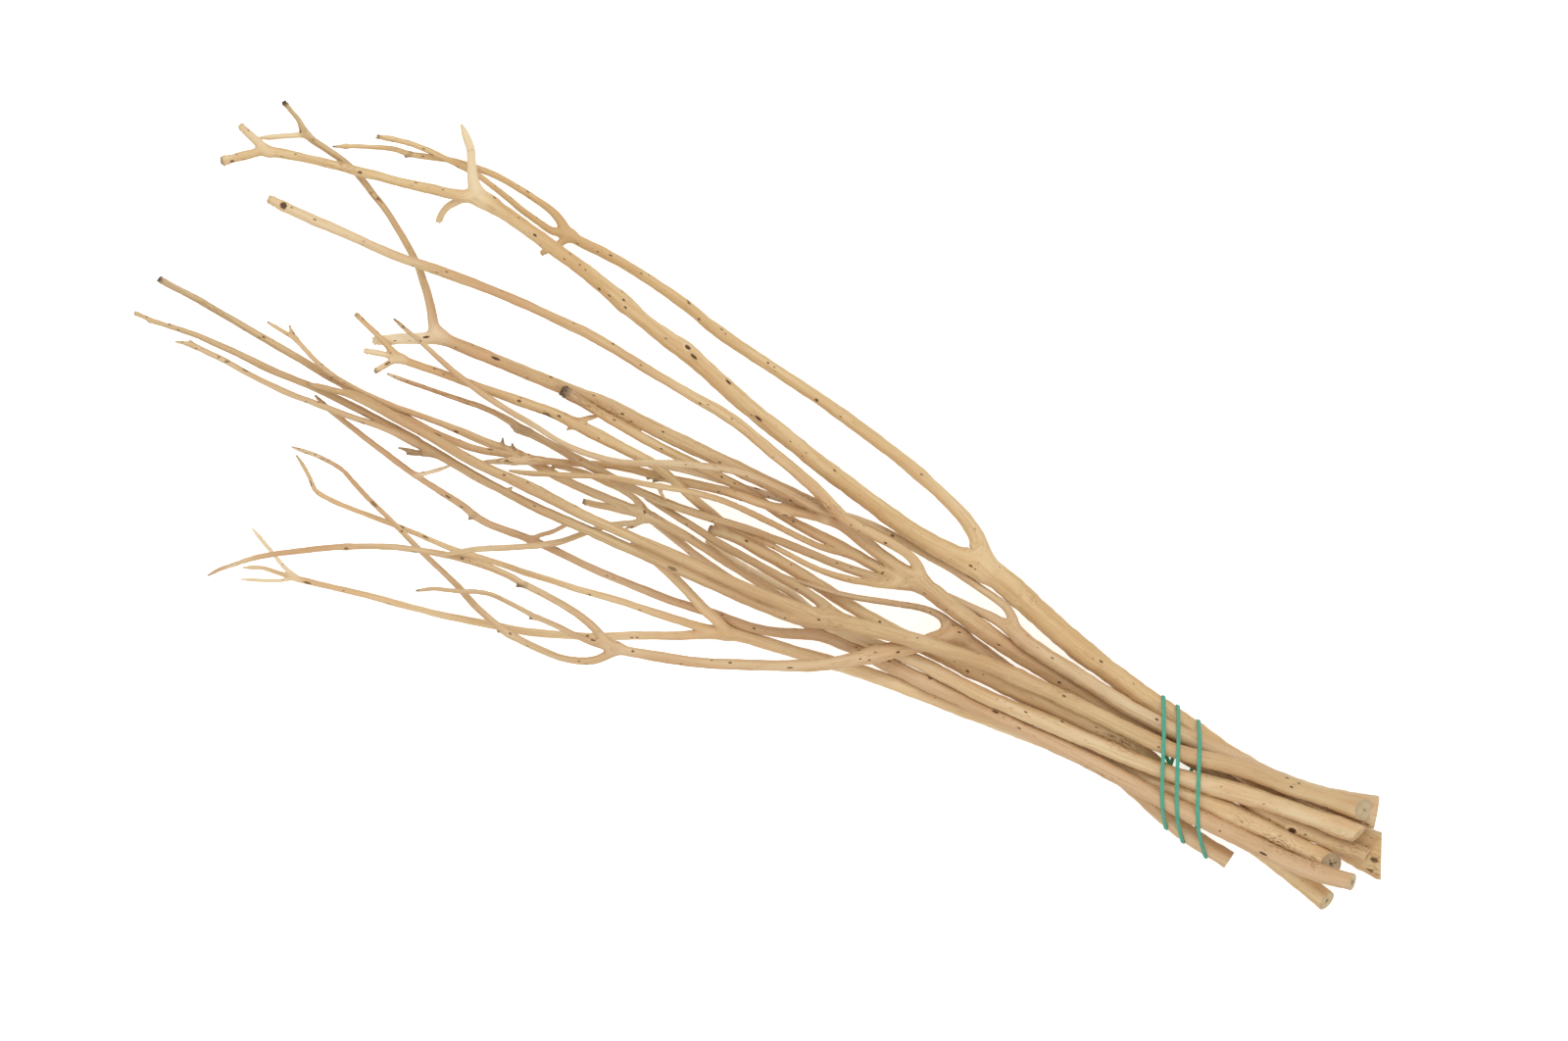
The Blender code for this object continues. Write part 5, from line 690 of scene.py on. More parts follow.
def band_corners():
    """The band's middle line and the way across it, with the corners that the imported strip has."""
    route = np.array(band_route(stems))
    normals = route[:, 3]
    outwards = np.stack([np.zeros(len(route)), np.cos(normals), np.sin(normals)], axis=1)
    centres = route[:, :3] + outwards * (BAND_GAP + BAND_THICKNESS / 2 + route[:, 4])[:, None]
    across = np.cross(np.roll(centres, -1, axis=0) - np.roll(centres, 1, axis=0), outwards)
    across /= np.linalg.norm(across, axis=1)[:, None]
    edges = across * BAND_WIDTH / 2
    skins = outwards * BAND_THICKNESS / 2
    corners = [centres + skin + edge for skin in (skins, -skins) for edge in (edges, -edges)]
    return centres, across, np.concatenate(corners)


band_centres, band_across, band_packed = band_corners()
band_low, _band_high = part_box("rubber_band")
SHIFT = np.array([
    band_low.x / MM - band_packed[:, 0].min(),
    band_low.y / MM - band_packed[:, 1].min(),
    0.0,
])


def linear(colour):
    """An sRGB colour written as a hex string, as the linear colour that shaders take."""
    channels = [int(colour[k : k + 2], 16) / 255 for k in (0, 2, 4)]
    return [c / 12.92 if c < 0.04045 else ((c + 0.055) / 1.055) ** 2.4 for c in channels] + [1]


def add(tree, kind, inputs, **settings):
    """Adds a node with its settings. An input given another node's output is linked to it."""
    made = tree.nodes.new(kind)
    for name, value in settings.items():
        setattr(made, name, value)
    for name, value in inputs.items():
        if isinstance(value, bpy.types.NodeSocket):
            tree.links.new(value, made.inputs[name])
        else:
            made.inputs[name].default_value = value
    return made


def surface(name):
    """A new material with its node tree and its shader."""
    material = bpy.data.materials.new(name)
    material.use_nodes = True
    return material, material.node_tree, material.node_tree.nodes["Principled BSDF"]


def placed(name, data):
    """A new object that shows this data, at the origin of the scene."""
    made = bpy.data.objects.new(name, data)
    bpy.context.collection.objects.link(made)
    return made


ribbon = bmesh.new()
ends = [
    ribbon.verts.new((band_centres[0] + side * band_across[0] * BAND_WIDTH / 2 + SHIFT) * MM)
    for side in (-1, 1)
]
first_edge = edge = ribbon.edges.new(ends)
for centre, side in zip(band_centres[1:], band_across[1:]):
    made = bmesh.ops.extrude_edge_only(ribbon, edges=[edge])["geom"]
    corners = [part for part in made if isinstance(part, bmesh.types.BMVert)]
    edge = next(part for part in made if isinstance(part, bmesh.types.BMEdge))
    for corner, old in zip(corners, ends):
        corner.co = (centre + SHIFT + side * BAND_WIDTH / 2 * (1 if old is ends[1] else -1)) * MM
    ends = corners
bmesh.ops.bridge_loops(ribbon, edges=[first_edge, edge])
bmesh.ops.recalc_face_normals(ribbon, faces=ribbon.faces)
band_mesh = bpy.data.meshes.new("rubber band")
ribbon.to_mesh(band_mesh)
ribbon.free()
band = placed("green_rubber_band", band_mesh)
thick = band.modifiers.new("thickness", "SOLIDIFY")
thick.thickness = BAND_THICKNESS * MM
thick.offset = 0
thick.use_even_offset = True
soft = band.modifiers.new("soft edges", "BEVEL")
soft.width = BAND_EDGE * MM
soft.segments = 2
soft.limit_method = "ANGLE"
smoothed = band.modifiers.new("even bends", "SUBSURF")
smoothed.levels = smoothed.render_levels = 1
band_mesh.shade_smooth()

rubber, tree, shader = surface("moulded green rubber")
# Dull rubber with a chalky bloom: it gives the eye a flat, slightly mottled teal with soft edges.
place = add(tree, "ShaderNodeTexCoord", {}).outputs["Object"]
bloom = add(tree, "ShaderNodeTexNoise", {"Vector": place, "Scale": 1 / (BLOOM_SIZE * MM), "Detail": 4})
hue = add(tree, "ShaderNodeMix", {
    0: bloom.outputs["Fac"],
    6: linear("2F8F72"),
    7: linear("56AE92"),
}, data_type="RGBA")
tree.links.new(hue.outputs[2], shader.inputs["Base Color"])
shader.inputs["Roughness"].default_value = 0.5
skin = add(tree, "ShaderNodeBump", {
    "Height": bloom.outputs["Fac"],
    "Distance": BLOOM_DEPTH * MM,
    "Strength": 0.5,
})
tree.links.new(skin.outputs["Normal"], shader.inputs["Normal"])
band_mesh.materials.append(rubber)
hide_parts("rubber_band")
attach(band, "root")

# The branches. Real: mitsumata shoots, cut, steamed, peeled and dried, so the bare wood shows with its
# leaf scars, pits and stains. Each is one grown piece with sawn ends, its forks filleted by growth.
FINE_STEP = 1.0
SPARE_END = 4.0
SKIN = 0.2

# Each trunk's sawn face: where it is, how many degrees round from +x it faces and how many upwards.
SAW_CUTS = {
    "a_main": (761.5, 15.0, 24.6, 4),
    "b_main": (747.5, 35.2, 16.0, 0),
    "c_main": (752.6, 11.5, -4.0, 8),
    "d_main": (740.2, 33.6, 9.0, 44),
    "e_main": (686.0, -24.4, -8.0, 5),
    "f_main": (742.8, 20.2, -17.0, 16),
    "g_main": (751.8, -5.9, 10.0, 23),
    "h_main": (737.2, -1.4, -2.0, 42),
    "n_main": (745.2, -20.9, -12.0, 27),
}

# Ripples in the thickness: how long each is in millimetres, its lobes round the stem and its height as
# a share of the radius.
RIPPLES = ((6, 2, 0.008), (11, 1, 0.016), (17, 3, 0.012), (27, 2, 0.02), (41, 0, 0.025), (75, 1, 0.02))

# Swellings: where they are seen, how far they reach along the stem and how much they add to its radius.
# Most are the wood's own, round buds, scars and broken ends. Those by the tie and the cut ends thicken
# trunks so that less floor shows between them, and some trunks then sink by up to 1.9 mm into others.
SWELLS = (
    (238.5, 48.4, 6.0, 0.9), (378, 40.3, 5.0, 0.8), (688, 6.9, 18.0, 1.4), (676, -1.0, 22.0, 1.2),
    (667, 10.5, 16.0, 1.1), (735, 26.0, 10.0, 0.9), (734, 22.5, 8.0, 0.6), (736, -1.5, 9.0, 1.0),
    (748, 35.5, 7.0, 1.0), (735, 12, 12.0, 0.5), (7, 81.2, 4.0, 0.7), (17.5, 86.8, 5.0, 0.4),
    (153.8, 127.9, 4.0, 0.8), (288, 100.5, 8.0, 0.4), (228.5, -1.0, 4.0, 0.7), (534, 10.8, 5.0, 0.4),
    (234.5, 5.8, 3.5, 0.6), (456.5, -7.5, 7.0, 0.9), (466, -7.9, 6.0, 0.6), (711.5, 6.2, 8.0, 0.5),
    (740, 33, 7.0, 0.5), (83, 117.6, 4.0, 0.5), (268.8, -87.3, 4.0, 0.5), (24, 124.8, 4.0, 0.3),
    (475, 10.7, 6.0, 0.5), (165, -84.3, 3.0, 0.3), (244, 108.7, 5.0, 0.3), (509, 6.5, 6.0, 0.4),
    (492, 22.5, 6.0, 0.4), (391.7, 74.7, 5.0, 0.3), (437, 94, 5.0, 0.3), (39.4, 114.7, 3.0, 0.4),
    (739, 5.0, 10.0, 0.9), (742, 26.8, 8.0, 0.9), (65.3, 119.6, 1.5, 0.4),
)

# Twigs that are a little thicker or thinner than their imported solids, and tips that reach further.
THICKER = {
    "a_tip_up": 1.0, "c_pale_twig": 0.7, "c_left": 0.7, "d_main": 0.3, "d_up": 0.4, "a_left_low": 0.3,
    "n_prong_down": -0.3, "e_chunk": -0.8, "c_ivory": -0.4, "h_tip_low": -0.5, "a_fork_up": 0.5,
    "n_prong": 0.4, "a_fork_down": 0.4,
}
TIP_SPARE = 1.4
LONGER_TIPS = {"e_lower": 7.0, "a_left_bud": 2.2, "c_nine": 2.5}

# Stems that end broken or cut. All the others run out to a thin tip.
BLUNT = {
    "a_main", "a_tip_up", "a_fork_down", "a_left_stub", "b_main", "c_left", "c_long", "c_rise", "c_nine",
    "c_climb", "c_main", "d_twin", "d_up", "e_chunk", "f_under", "f_arch", "f_dark_end", "g_under",
    "h_up", "n_main", "n_prong", "n_prong_down", "n_broken", "c_low_knob",
}
TAPER = 7.0
TAPER_BEND = 0.7
TIP_SHARE = 0.3
BLUNT_LOSS = 0.3
BLUNT_REACH = 1.5

# Each stem's line in small steps, from a spare end beyond its saw cut, with a side that follows it
# without twisting and its own phases for the ripples.
chance = np.random.default_rng(26)
for stem in stems:
    line = smooth_line(stem["line"], FINE_STEP)
    line[:, 3] += 2 * SKIN + THICKER.get(stem["name"], 0)
    tip_way = line[-1, :3] - line[-3, :3]
    spare = line[-1].copy()
    spare[:3] += tip_way / np.linalg.norm(tip_way) * LONGER_TIPS.get(stem["name"], TIP_SPARE)
    count = math.ceil(LONGER_TIPS.get(stem["name"], TIP_SPARE))
    line = np.vstack([line, np.linspace(line[-1], spare, count + 1)[1:]])
    steps = np.linalg.norm(np.diff(line[:, :3], axis=0), axis=1)
    left = steps.sum() - np.concatenate([[0], np.cumsum(steps)])
    if stem["name"] not in BLUNT:
        line[:, 3] *= np.clip(left / TAPER, 0, 1) ** TAPER_BEND * (1 - TIP_SHARE) + TIP_SHARE
    else:
        line[:, 3] *= 1 - BLUNT_LOSS * np.clip(1 - left / BLUNT_REACH, 0, 1)
    stem["sawn_off"] = 0
    if not stem["parent"]:
        outwards = line[0, :3] - line[4, :3]
        spare = line[0].copy()
        spare[:3] += outwards / np.linalg.norm(outwards) * (SPARE_END + line[0, 3] / 2)
        count = math.ceil(SPARE_END + line[0, 3] / 2)
        line = np.vstack([np.linspace(spare, line[0], count, endpoint=False), line])
        stem["sawn_off"] = count
    steps = np.linalg.norm(np.diff(line[:, :3], axis=0), axis=1)
    stem["fine"] = line
    stem["fine_run"] = np.concatenate([[0], np.cumsum(steps)])
    stem["from_butt"] = 0.0
    side = np.array([0.0, 0.0, 1.0])
    if stem["parent"]:
        parent = stem["parent"]
        near = int(np.linalg.norm(parent["fine"][:, :3] - line[0, :3], axis=1).argmin())
        stem["from_butt"] = parent["from_butt"] + parent["fine_run"][near]
        side = parent["sides"][near]
    ahead = np.gradient(line[:, :3], axis=0)
    ahead /= np.linalg.norm(ahead, axis=1)[:, None]
    sides = []
    for way in ahead:
        side = side - way * (side @ way)
        side = side / np.linalg.norm(side)
        sides.append(side)
    stem["ahead"] = ahead
    stem["sides"] = np.array(sides)
    stem["backs"] = np.cross(ahead, stem["sides"])
    stem["phases"] = chance.uniform(0, 2 * math.pi, len(RIPPLES))
    stem["swells"] = []

# A broken end is ragged: how far that reaches, its height as a share of the radius, its lobes round the
# stem and how fast they turn along it.
RAGGED_REACH = 2.5
RAGGED_HEIGHT = 0.3
RAGGED_LOBES = 3
RAGGED_TURN = 2.4


def beside(stem, places):
    """Where each place is beside a stem: along it, sideways and back, how far out, on what radius."""
    line = stem["fine"]
    points = line[:, :3]
    apart = (points**2).sum(axis=1)[None, :] - 2 * places @ points.T
    nearest = apart.argmin(axis=1)
    best = None
    for shift in (-1, 0):
        start = np.clip(nearest + shift, 0, len(line) - 2)
        chord = points[start + 1] - points[start]
        share = ((places - points[start]) * chord).sum(axis=1) / (chord**2).sum(axis=1)
        share = np.clip(share, 0, 1)
        out = places - points[start] - chord * share[:, None]
        far = np.linalg.norm(out, axis=1)
        if best is None:
            best = [start + share, out, far]
            continue
        closer = far < best[2]
        best[0] = np.where(closer, start + share, best[0])
        best[1] = np.where(closer[:, None], out, best[1])
        best[2] = np.where(closer, far, best[2])
    spot, out, far = best
    index = np.arange(len(line))
    run, radius = (np.interp(spot, index, values) for values in (stem["fine_run"], line[:, 3] / 2))
    low = np.minimum(spot.astype(int), len(line) - 2)
    share = (spot - low)[:, None]
    sides = stem["sides"][low] * (1 - share) + stem["sides"][low + 1] * share
    backs = stem["backs"][low] * (1 - share) + stem["backs"][low + 1] * share
    sideways = (out * sides).sum(axis=1)
    back = (out * backs).sum(axis=1)
    turn = np.arctan2(back, sideways)
    swell = np.zeros(len(places))
    for (length, lobes, height), phase in zip(RIPPLES, stem["phases"]):
        swell += height * np.sin(2 * math.pi * run / length + lobes * turn + phase)
    radius *= 1 + swell
    for place, length, height in stem["swells"]:
        radius += height * np.exp(-(((run - place) / length) ** 2))
    if stem["name"] in BLUNT:
        end = np.exp((run - stem["fine_run"][-1]) / RAGGED_REACH)
        lobes = np.sin(RAGGED_LOBES * turn + RAGGED_TURN * run + stem["phases"][0])
        radius *= 1 + RAGGED_HEIGHT * end * lobes
    return run, sideways, back, out, far, radius


# Wood that differs from the rest: its share of brown stain, of pale wood and of dark bark colour. The pale
# share is bleached wood, but on a_fork_down, a_tip_up, c_climb, c_rise_fork, d_low, f_under, g_under and
# n_broken, stems that lie under others, it is painted light that lifts the shade falling on them.
STEM_TONES = {
    "a_fork_up": (0.0, 0.6, 0.0), "a_left_nub": (0.0, 0.0, 0.9), "a_fork_down": (0.0, 0.3, 0.0),
    "c_main": (0.1, 0.0, 0.0), "c_pale_twig": (0.0, 0.45, 0.0), "c_left": (0.0, 0.75, 0.0),
    "c_low": (0.25, 0.0, 0.0), "c_low_knob": (0.2, 0.0, 0.3), "c_climb": (0.0, 0.75, 0.0),
    "c_rise_fork": (0.0, 0.3, 0.0), "f_under": (0.0, 0.8, 0.0),
    "c_rise_dark": (0.2, 0.0, 0.55), "c_rise_dark_low": (0.2, 0.0, 0.55), "c_ivory": (0.05, 0.0, 0.0),
    "d_twin": (0.12, 0.0, 0.0), "d_up": (0.2, 0.0, 0.0), "d_low": (0.0, 0.15, 0.0),
    "d_dark_twig": (0.1, 0.0, 0.3), "d_dark_fork": (0.2, 0.0, 0.4),
    "e_chunk": (0.3, 0.0, 0.0), "e_middle": (0.12, 0.0, 0.0), "e_dark_nub": (0.2, 0.0, 0.6),
    "f_sweep": (0.12, 0.0, 0.0), "f_top_stub": (0.1, 0.0, 0.5), "f_top_nub": (0.1, 0.0, 0.6),
    "g_pale_twig": (0.0, 0.6, 0.0), "g_nub": (0.2, 0.0, 0.6), "g_under": (0.0, 0.3, 0.0),
    "h_tip_up": (0.0, 0.7, 0.0), "h_tip_low": (0.0, 0.65, 0.0), "n_prong": (0.0, 0.55, 0.0),
    "n_prong_down": (0.0, 0.3, 0.0), "n_broken": (0.0, 0.2, 0.0), "a_tip_up": (0.0, 0.3, 0.0),
}

# Stained tips: how long the stain is and how strong, and how long and how dark the broken end is.
TIP_TONES = {
    "a_main": (3, 0, 2, 0.5), "a_left": (5, 0.1, 3, 0.6), "a_left_bud": (4, 0.2, 2, 0.6),
    "a_left_low": (3, 0.2, 2, 0.9),
    "b_spur": (10, 0.2, 2, 0.4), "c_main": (110, 0.3, 3, 1.0), "c_rise": (90, 0.4, 3, 1.0),
    "c_nine": (18, 0.5, 5, 1.0), "c_long": (4, 0.0, 2, 0.1), "c_rise_fork": (12, 0.3, 3, 0.5),
    "c_low": (10, 0.1, 2, 0.5), "d_main": (5, 0.1, 2, 0.4), "e_main": (8, 0.1, 2, 0.6),
    "e_middle": (8, 0.2, 3, 0.6), "e_chunk": (8, 0.1, 2, 0.4), "e_lower": (3, 0.1, 2, 0.6),
    "f_main": (3, 0.1, 2, 0.4), "f_tip_left": (5, 0.1, 2, 0.6), "f_dark_end": (3, 0.1, 2, 0.6),
    "g_main": (9, 0.2, 2, 0.5), "h_up": (4, 0.1, 2, 0.4), "h_high": (7, 0.1, 2, 0.6),
    "n_main": (6, 0.1, 2, 0.3), "n_prong_down": (3, 0.1, 2, 0.5), "n_broken": (3, 0.1, 2, 0.4),
}
STAIN_EDGE = 1.3
BROKEN_EDGE = 1.2


def tones_at(stem, run):
    """Stain, pale and bark shares along a stem, with what its tip adds. The pale share is bleached wood, and
    painted light on stems that lie under others.
    """
    stain, bleach_and_painted_lift, bark = (np.full(len(run), share) for share in STEM_TONES.get(stem["name"], (0, 0, 0)))
    if stem["name"] in TIP_TONES:
        length, grey, end, dark = TIP_TONES[stem["name"]]
        left = stem["fine_run"][-1] - run
        stain = np.maximum(stain, grey * np.clip(STAIN_EDGE - left / length, 0, 1))
        bark = np.maximum(bark, dark * np.clip(BROKEN_EDGE - left / end, 0, 1))
    return stain, bleach_and_painted_lift, bark


# Forks are rounded by a share of the side stem's radius, full at its start and nearly gone some
# thicknesses along it. Places are measured a good many at once.
FILLET = 1.1
FILLET_FULL = 1.6
FILLET_FADES = 3.5
FILLET_LEAST = 0.05
FAR_OFF = 1000.0
AT_ONCE = 20000
OWN_FACTS = 9


def grown_shape(own, places):
    """How far each place is outside a branch, the way out, and the wood's own coordinates and tones there."""
    count = len(places)
    outside = np.full(count, FAR_OFF)
    facts = np.zeros((count, OWN_FACTS))
    for stem in own:
        low = stem["fine"][:, :3].min(axis=0) - stem["fine"][:, 3].max()
        high = stem["fine"][:, :3].max(axis=0) + stem["fine"][:, 3].max()
        within = np.flatnonzero(((places > low) & (places < high)).all(axis=1))
        for chunk in np.array_split(within, len(within) // AT_ONCE + 1):
            if not len(chunk):
                continue
            run, sideways, back, out, far, radius = beside(stem, places[chunk])
            gap = far - radius
            way = out / np.maximum(far, 1e-6)[:, None]
            mine = np.column_stack([
                way, stem["from_butt"] + run, sideways, back, *tones_at(stem, run),
            ])
            thick = stem["fine"][0, 3]
            fades = np.clip(FILLET_FULL - run / (FILLET_FADES * thick), FILLET_LEAST, 1)
            blend = FILLET * thick / 2 * fades
            share = np.clip(0.5 + (outside[chunk] - gap) / (2 * blend), 0, 1)
            outside[chunk] = (
                outside[chunk] * (1 - share) + gap * share - blend * share * (1 - share)
            )
            facts[chunk] = facts[chunk] * (1 - share)[:, None] + mine * share[:, None]
    return outside, facts[:, :3], facts[:, 3:6], facts[:, 6:9]


# Marks of lost leaves and buds, as seen from above: how long and wide each kind is in millimetres, how
# dark and how deep it is, and where they are. A mark lies on the highest stem at its place. In turn:
# knots healed over, leaf scars, small pits, narrow slits, long shallow scars and gouges in the heels.
MARKS = (
    (4.2, 3.4, 1.0, 0.7, [
        (288, 100.5), (711.5, 6.2),
        (49.5, 73), (378, 40.3),
    ]),
    (2.1, 1.3, 0.85, 0.3, [
        (224, -0.9), (234.5, 5.8), (534, 10.8), (456.5, -7.5), (696, 31),
        (244, 108.7), (246.3, 105.6), (391.7, 74.7), (483.5, 60.2), (572.5, 44.2), (182.5, 119.8),
        (228.3, 108.5), (235, 107.7), (79, 108.3), (109.5, 116.8), (300, 118.3), (277.5, 123.5),
        (286, 117.8), (332, 112.8), (365.7, 105.8), (437, 94), (225.6, 128.2), (154.5, 134.8),
        (168.5, 140), (101, 128.5), (95, 99.3), (112.5, 86.7), (68.3, 73.5), (147.3, 79.5), (308, 75.5),
        (249, 84.3), (226, 52.2), (271, 51.2), (252.3, 53.3), (331.5, 50.6), (268, 46.2), (298.5, 43.2),
        (336.5, 43.8), (165, 27.7), (216, 32.3), (239.5, 34.5), (364.5, 17.7), (451, 9.7), (509, 6.5),
        (568, 4.2), (606, 6.9), (436, 56.3), (435, 50.9), (441.5, 34.3), (517, 27.4), (557, 23.2),
        (597, 21.3), (383, 39), (352, 36.8), (376.5, 49), (417, 33.7), (402, 25.2), (492, 22.5),
        (498, 18.5), (521.5, 21.5), (458, 20.9), (468, -1.5), (466, -7.9), (448.5, -9.8), (455.5, -12),
        (386.5, -47.7), (335, -65.8), (268.8, -87.3), (275.5, -74.2), (226, -61), (165, -84.3),
        (331, -59), (298.5, -48.2), (212.5, -35.3), (390, -24.5), (549, -9.7), (491, -6.4), (674.5, -12.2),
        (420, -4.2), (562.5, 17.6), (240, -6.7), (226, -8.7), (270, -6.3), (108, -20.6), (26, -15.7),
        (59, -19.3), (623.5, 15.2), (700, 27.7), (722.5, 26), (547.5, 0.2), (306.5, 7), (311.5, 9),
        (70.5, 1.7), (547.5, 33.8), (615.5, 28.6), (262, -88.9), (122.5, -108.5), (39.4, 114.7),
        (151.3, 38.3), (139, 41.2),
    ]),
    (1.4, 0.9, 0.7, 0.15, [
        (213, 115.8), (217, 114.6), (42.5, 101.7), (59.5, 102.5), (17.5, 86.8), (303, 116.8),
        (281, 124), (246, 126.7), (218.3, 126.8), (206, 126), (179, 129.2), (65.3, 120.2), (89, 131.7),
        (79, 132.6), (155.8, 127.6), (97.5, 98.5), (47.5, 113.3), (53.7, 73.8), (139, 25),
        (128.5, 74.2), (327, 75.7), (214, 46.2), (277, 49.6), (295.5, 52.1), (344.5, 43.8), (171, 27.1),
        (265, 33), (393.3, 16.7), (500, 8), (517, 8.6), (584, 5.8), (586.5, 9.8), (413.3, 51.3),
        (435, 39.7), (467.5, 35.2), (339, 35.5), (365, 45.5), (424, 29.9), (415.5, 28.7), (426.5, 23.5),
        (719, 7.2), (690, 12.4), (489, 26), (488, 15.8), (475, 27), (450.5, -14.2), (362, -60.5),
        (309.8, -84), (230, -60.5), (237, -77.8), (151, -93.3), (174, -106.6), (302.5, -34.3),
        (371, -25.5), (475, 10.7), (173, -9), (264, -4.8), (251.5, -5.4), (39.5, -12.2), (7, -16.7),
        (40, -20.6), (703, 31.4), (316.5, 2), (45, 3.5), (154.5, 14.8), (146.5, 13.9),
    ]),
    (4.4, 1.6, 1.0, 0.4, [
        (293, 97.5), (316.5, 93.2), (341, 82.2), (368, 82.4), (418, -35.5), (532, -7.3), (702, -12.9),
        (153.6, 41.9), (153.8, 127.9), (193.7, 48),
    ]),
    (6.5, 3.0, 0.7, 0.25, [
        (283, -13), (334, -14.5), (248.5, -32.5), (233, 31.8), (261.5, -61.3),
    ]),
    (4.0, 2.2, 0.65, 1.8, [(759.3, 11.2), (759.6, 5.0), (746.3, 28.4)]),
)
HEALED = 0

# Patches where brown inner bark is left in flecks: where, how long, how wide and how strong.
FLECKED = (
    (705, -3.4, 13, 4, 1.0), (727, -4.5, 7, 4, 0.7), (680, -1.5, 7, 3, 0.6), (602, 8, 10, 4, 1.0),
    (256, -4.5, 12, 2.5, 0.9), (225, -1.5, 10, 3, 0.8), (262, 50, 12, 2, 0.7), (232, 8, 12, 3, 0.7),
    (470, 24, 9, 3, 0.5), (600, -14, 14, 4, 0.6), (320, 55, 9, 2, 0.4), (392, 54.5, 14, 2.6, 0.9),
    (520, 58, 10, 4, 0.3), (740, 13, 12, 6, 0.5), (560, 20, 10, 3, 0.5), (311, 9, 6, 2, 0.9),
    (430, -3, 8, 2, 0.6), (640, 0, 12, 4, 0.5), (750, -19, 6, 4, 0.5), (335, 47, 8, 2, 0.5),
    (122, -45, 13, 3, 1.0), (111, -120, 14, 5, 0.35), (182, 18, 26, 4, 0.7), (119, -3, 7, 4, 0.8),
    (133, 42.5, 5, 3, 0.8), (96, 99, 8, 3, 0.8), (70, 107, 8, 3, 0.6), (42, 4, 9, 3, 0.5),
    (250, 45.6, 11, 2.6, 1.0), (234, 32, 6, 2, 1.0), (761, 6, 4, 5, 1.0), (758, 12, 4, 2.5, 0.9),
)

# Places where the wood is bleached paler, in the same way.
PALER = (
    (75, 73, 55, 7, 0.35), (158, 45, 8, 7, 0.5), (470, 90, 60, 14, 0.12), (143, 127, 7, 8, 0.35),
    (20, 5, 10, 5, 0.15), (330, -62, 12, 8, 0.25), (10, 82, 6, 5, 0.3), (492, 62, 10, 12, 0.15),
    (122, -45, 14, 4, 0.5), (146, 14, 7, 3, 0.6), (112, -118, 18, 6, 0.45),
)

# Marks that no one has seen, on the sides and the underside: one to so many millimetres of stem, clear
# of each other and of the stem's ends, and facing these degrees round from +y, which is downwards.
HIDDEN_EVERY = 24.0
MARKS_APART = 5.0
HIDDEN_KINDS = (1, 1, 2, 2, 2, 3)
HIDDEN_FROM = 200
HIDDEN_TO = 340
OFF_THE_ENDS = 2

# A place counts as on a stem when it is seen this many millimetres beside it.
SEEN_BESIDE = 0.8


def stem_on_top(x, y):
    """The highest stem seen at (x, y), the sample of it that is nearest, and how far off its middle."""
    best = None
    for stem in stems:
        line = stem["fine"][stem["sawn_off"] :]
        nearness = 1 - line[:, 2] / EYE_HEIGHT
        off_x = x - EYE_X - (line[:, 0] - EYE_X) / nearness
        off_y = y - EYE_Y - (line[:, 1] - EYE_Y) / nearness
        near = int(np.hypot(off_x, off_y).argmin())
        off = np.array([off_x[near], off_y[near], 0.0])
        reach = line[near, 3] / 2
        if np.hypot(off[0], off[1]) < reach + SEEN_BESIDE and (best is None or line[near, 2] > best[1]):
            best = (stem, line[near, 2], stem["sawn_off"] + near, off)
    return best


for x, y, length, height in SWELLS:
    struck = stem_on_top(x, y)
    if struck:
        struck[0]["swells"].append((struck[0]["fine_run"][struck[2]], length, height))


# How much marks differ in length, width and darkness, how wide and deep one may be beside the stem's
# radius, and how thick a stem has to be for a mark to be at its darkest.
MARK_LENGTHS = (0.75, 1.15)
MARK_WIDTHS = (0.6, 1.05)
MARK_SHADES = (0.8, 1.0)
MARK_WIDEST = 1.3
MARK_DEEPEST = 0.3
MARK_FAINTEST = 0.35
DARKEST_OVER = 5.0
LEAST_RISE_SQUARED = 0.04


def mark_at(stem, near, out, kind):
    """A mark on a stem's skin, its size, and the directions along and across it."""
    long, wide, dark, deep, _places = MARKS[kind]
    size = chance.uniform(*MARK_LENGTHS)
    wide *= chance.uniform(*MARK_WIDTHS)
    radius = stem["fine"][near, 3] / 2
    dark *= chance.uniform(*MARK_SHADES) * min(1.0, MARK_FAINTEST + radius / DARKEST_OVER)
    way = stem["ahead"][near]
    out = out - way * (out @ way)
    out /= np.linalg.norm(out)
    wide = min(wide, MARK_WIDEST * radius)
    return {
        "place": stem["fine"][near, :3] + out * radius,
        "way": way,
        "across": np.cross(way, out),
        "half": (long * size / 2, wide * size / 2),
        "look": (dark, kind == HEALED, 0),
        "deep": min(deep, MARK_DEEPEST * radius) * size,
        "branch": stem["branch"],
    }


marks = []
for kind, (_long, _wide, _dark, _deep, places) in enumerate(MARKS):
    for x, y in places:
        struck = stem_on_top(x, y)
        if struck is None:
            continue
        stem, _height, near, off = struck
        radius = stem["fine"][near, 3] / 2
        rise = math.sqrt(max(radius**2 - off @ off, LEAST_RISE_SQUARED * radius**2))
        marks.append(mark_at(stem, near, off + (0, 0, rise), kind))
for stem in stems:
    for _ in range(round(stem["fine_run"][-1] / HIDDEN_EVERY)):
        near = int(chance.integers(OFF_THE_ENDS, len(stem["fine"]) - OFF_THE_ENDS))
        turn = chance.uniform(math.radians(HIDDEN_FROM), math.radians(HIDDEN_TO))
        out = np.array([0.0, math.cos(turn), math.sin(turn)])
        hidden = mark_at(stem, near, out, int(chance.choice(HIDDEN_KINDS)))
        if all(np.linalg.norm(hidden["place"] - mark["place"]) > MARKS_APART for mark in marks):
            marks.append(hidden)


# The rough skin: how fine it is, how far it stays inside the wood, and how thin a tube it may have.
VOXEL = 0.84
ROUGH_INSIDE = 0.35
ROUGH_LEAST = 1.0


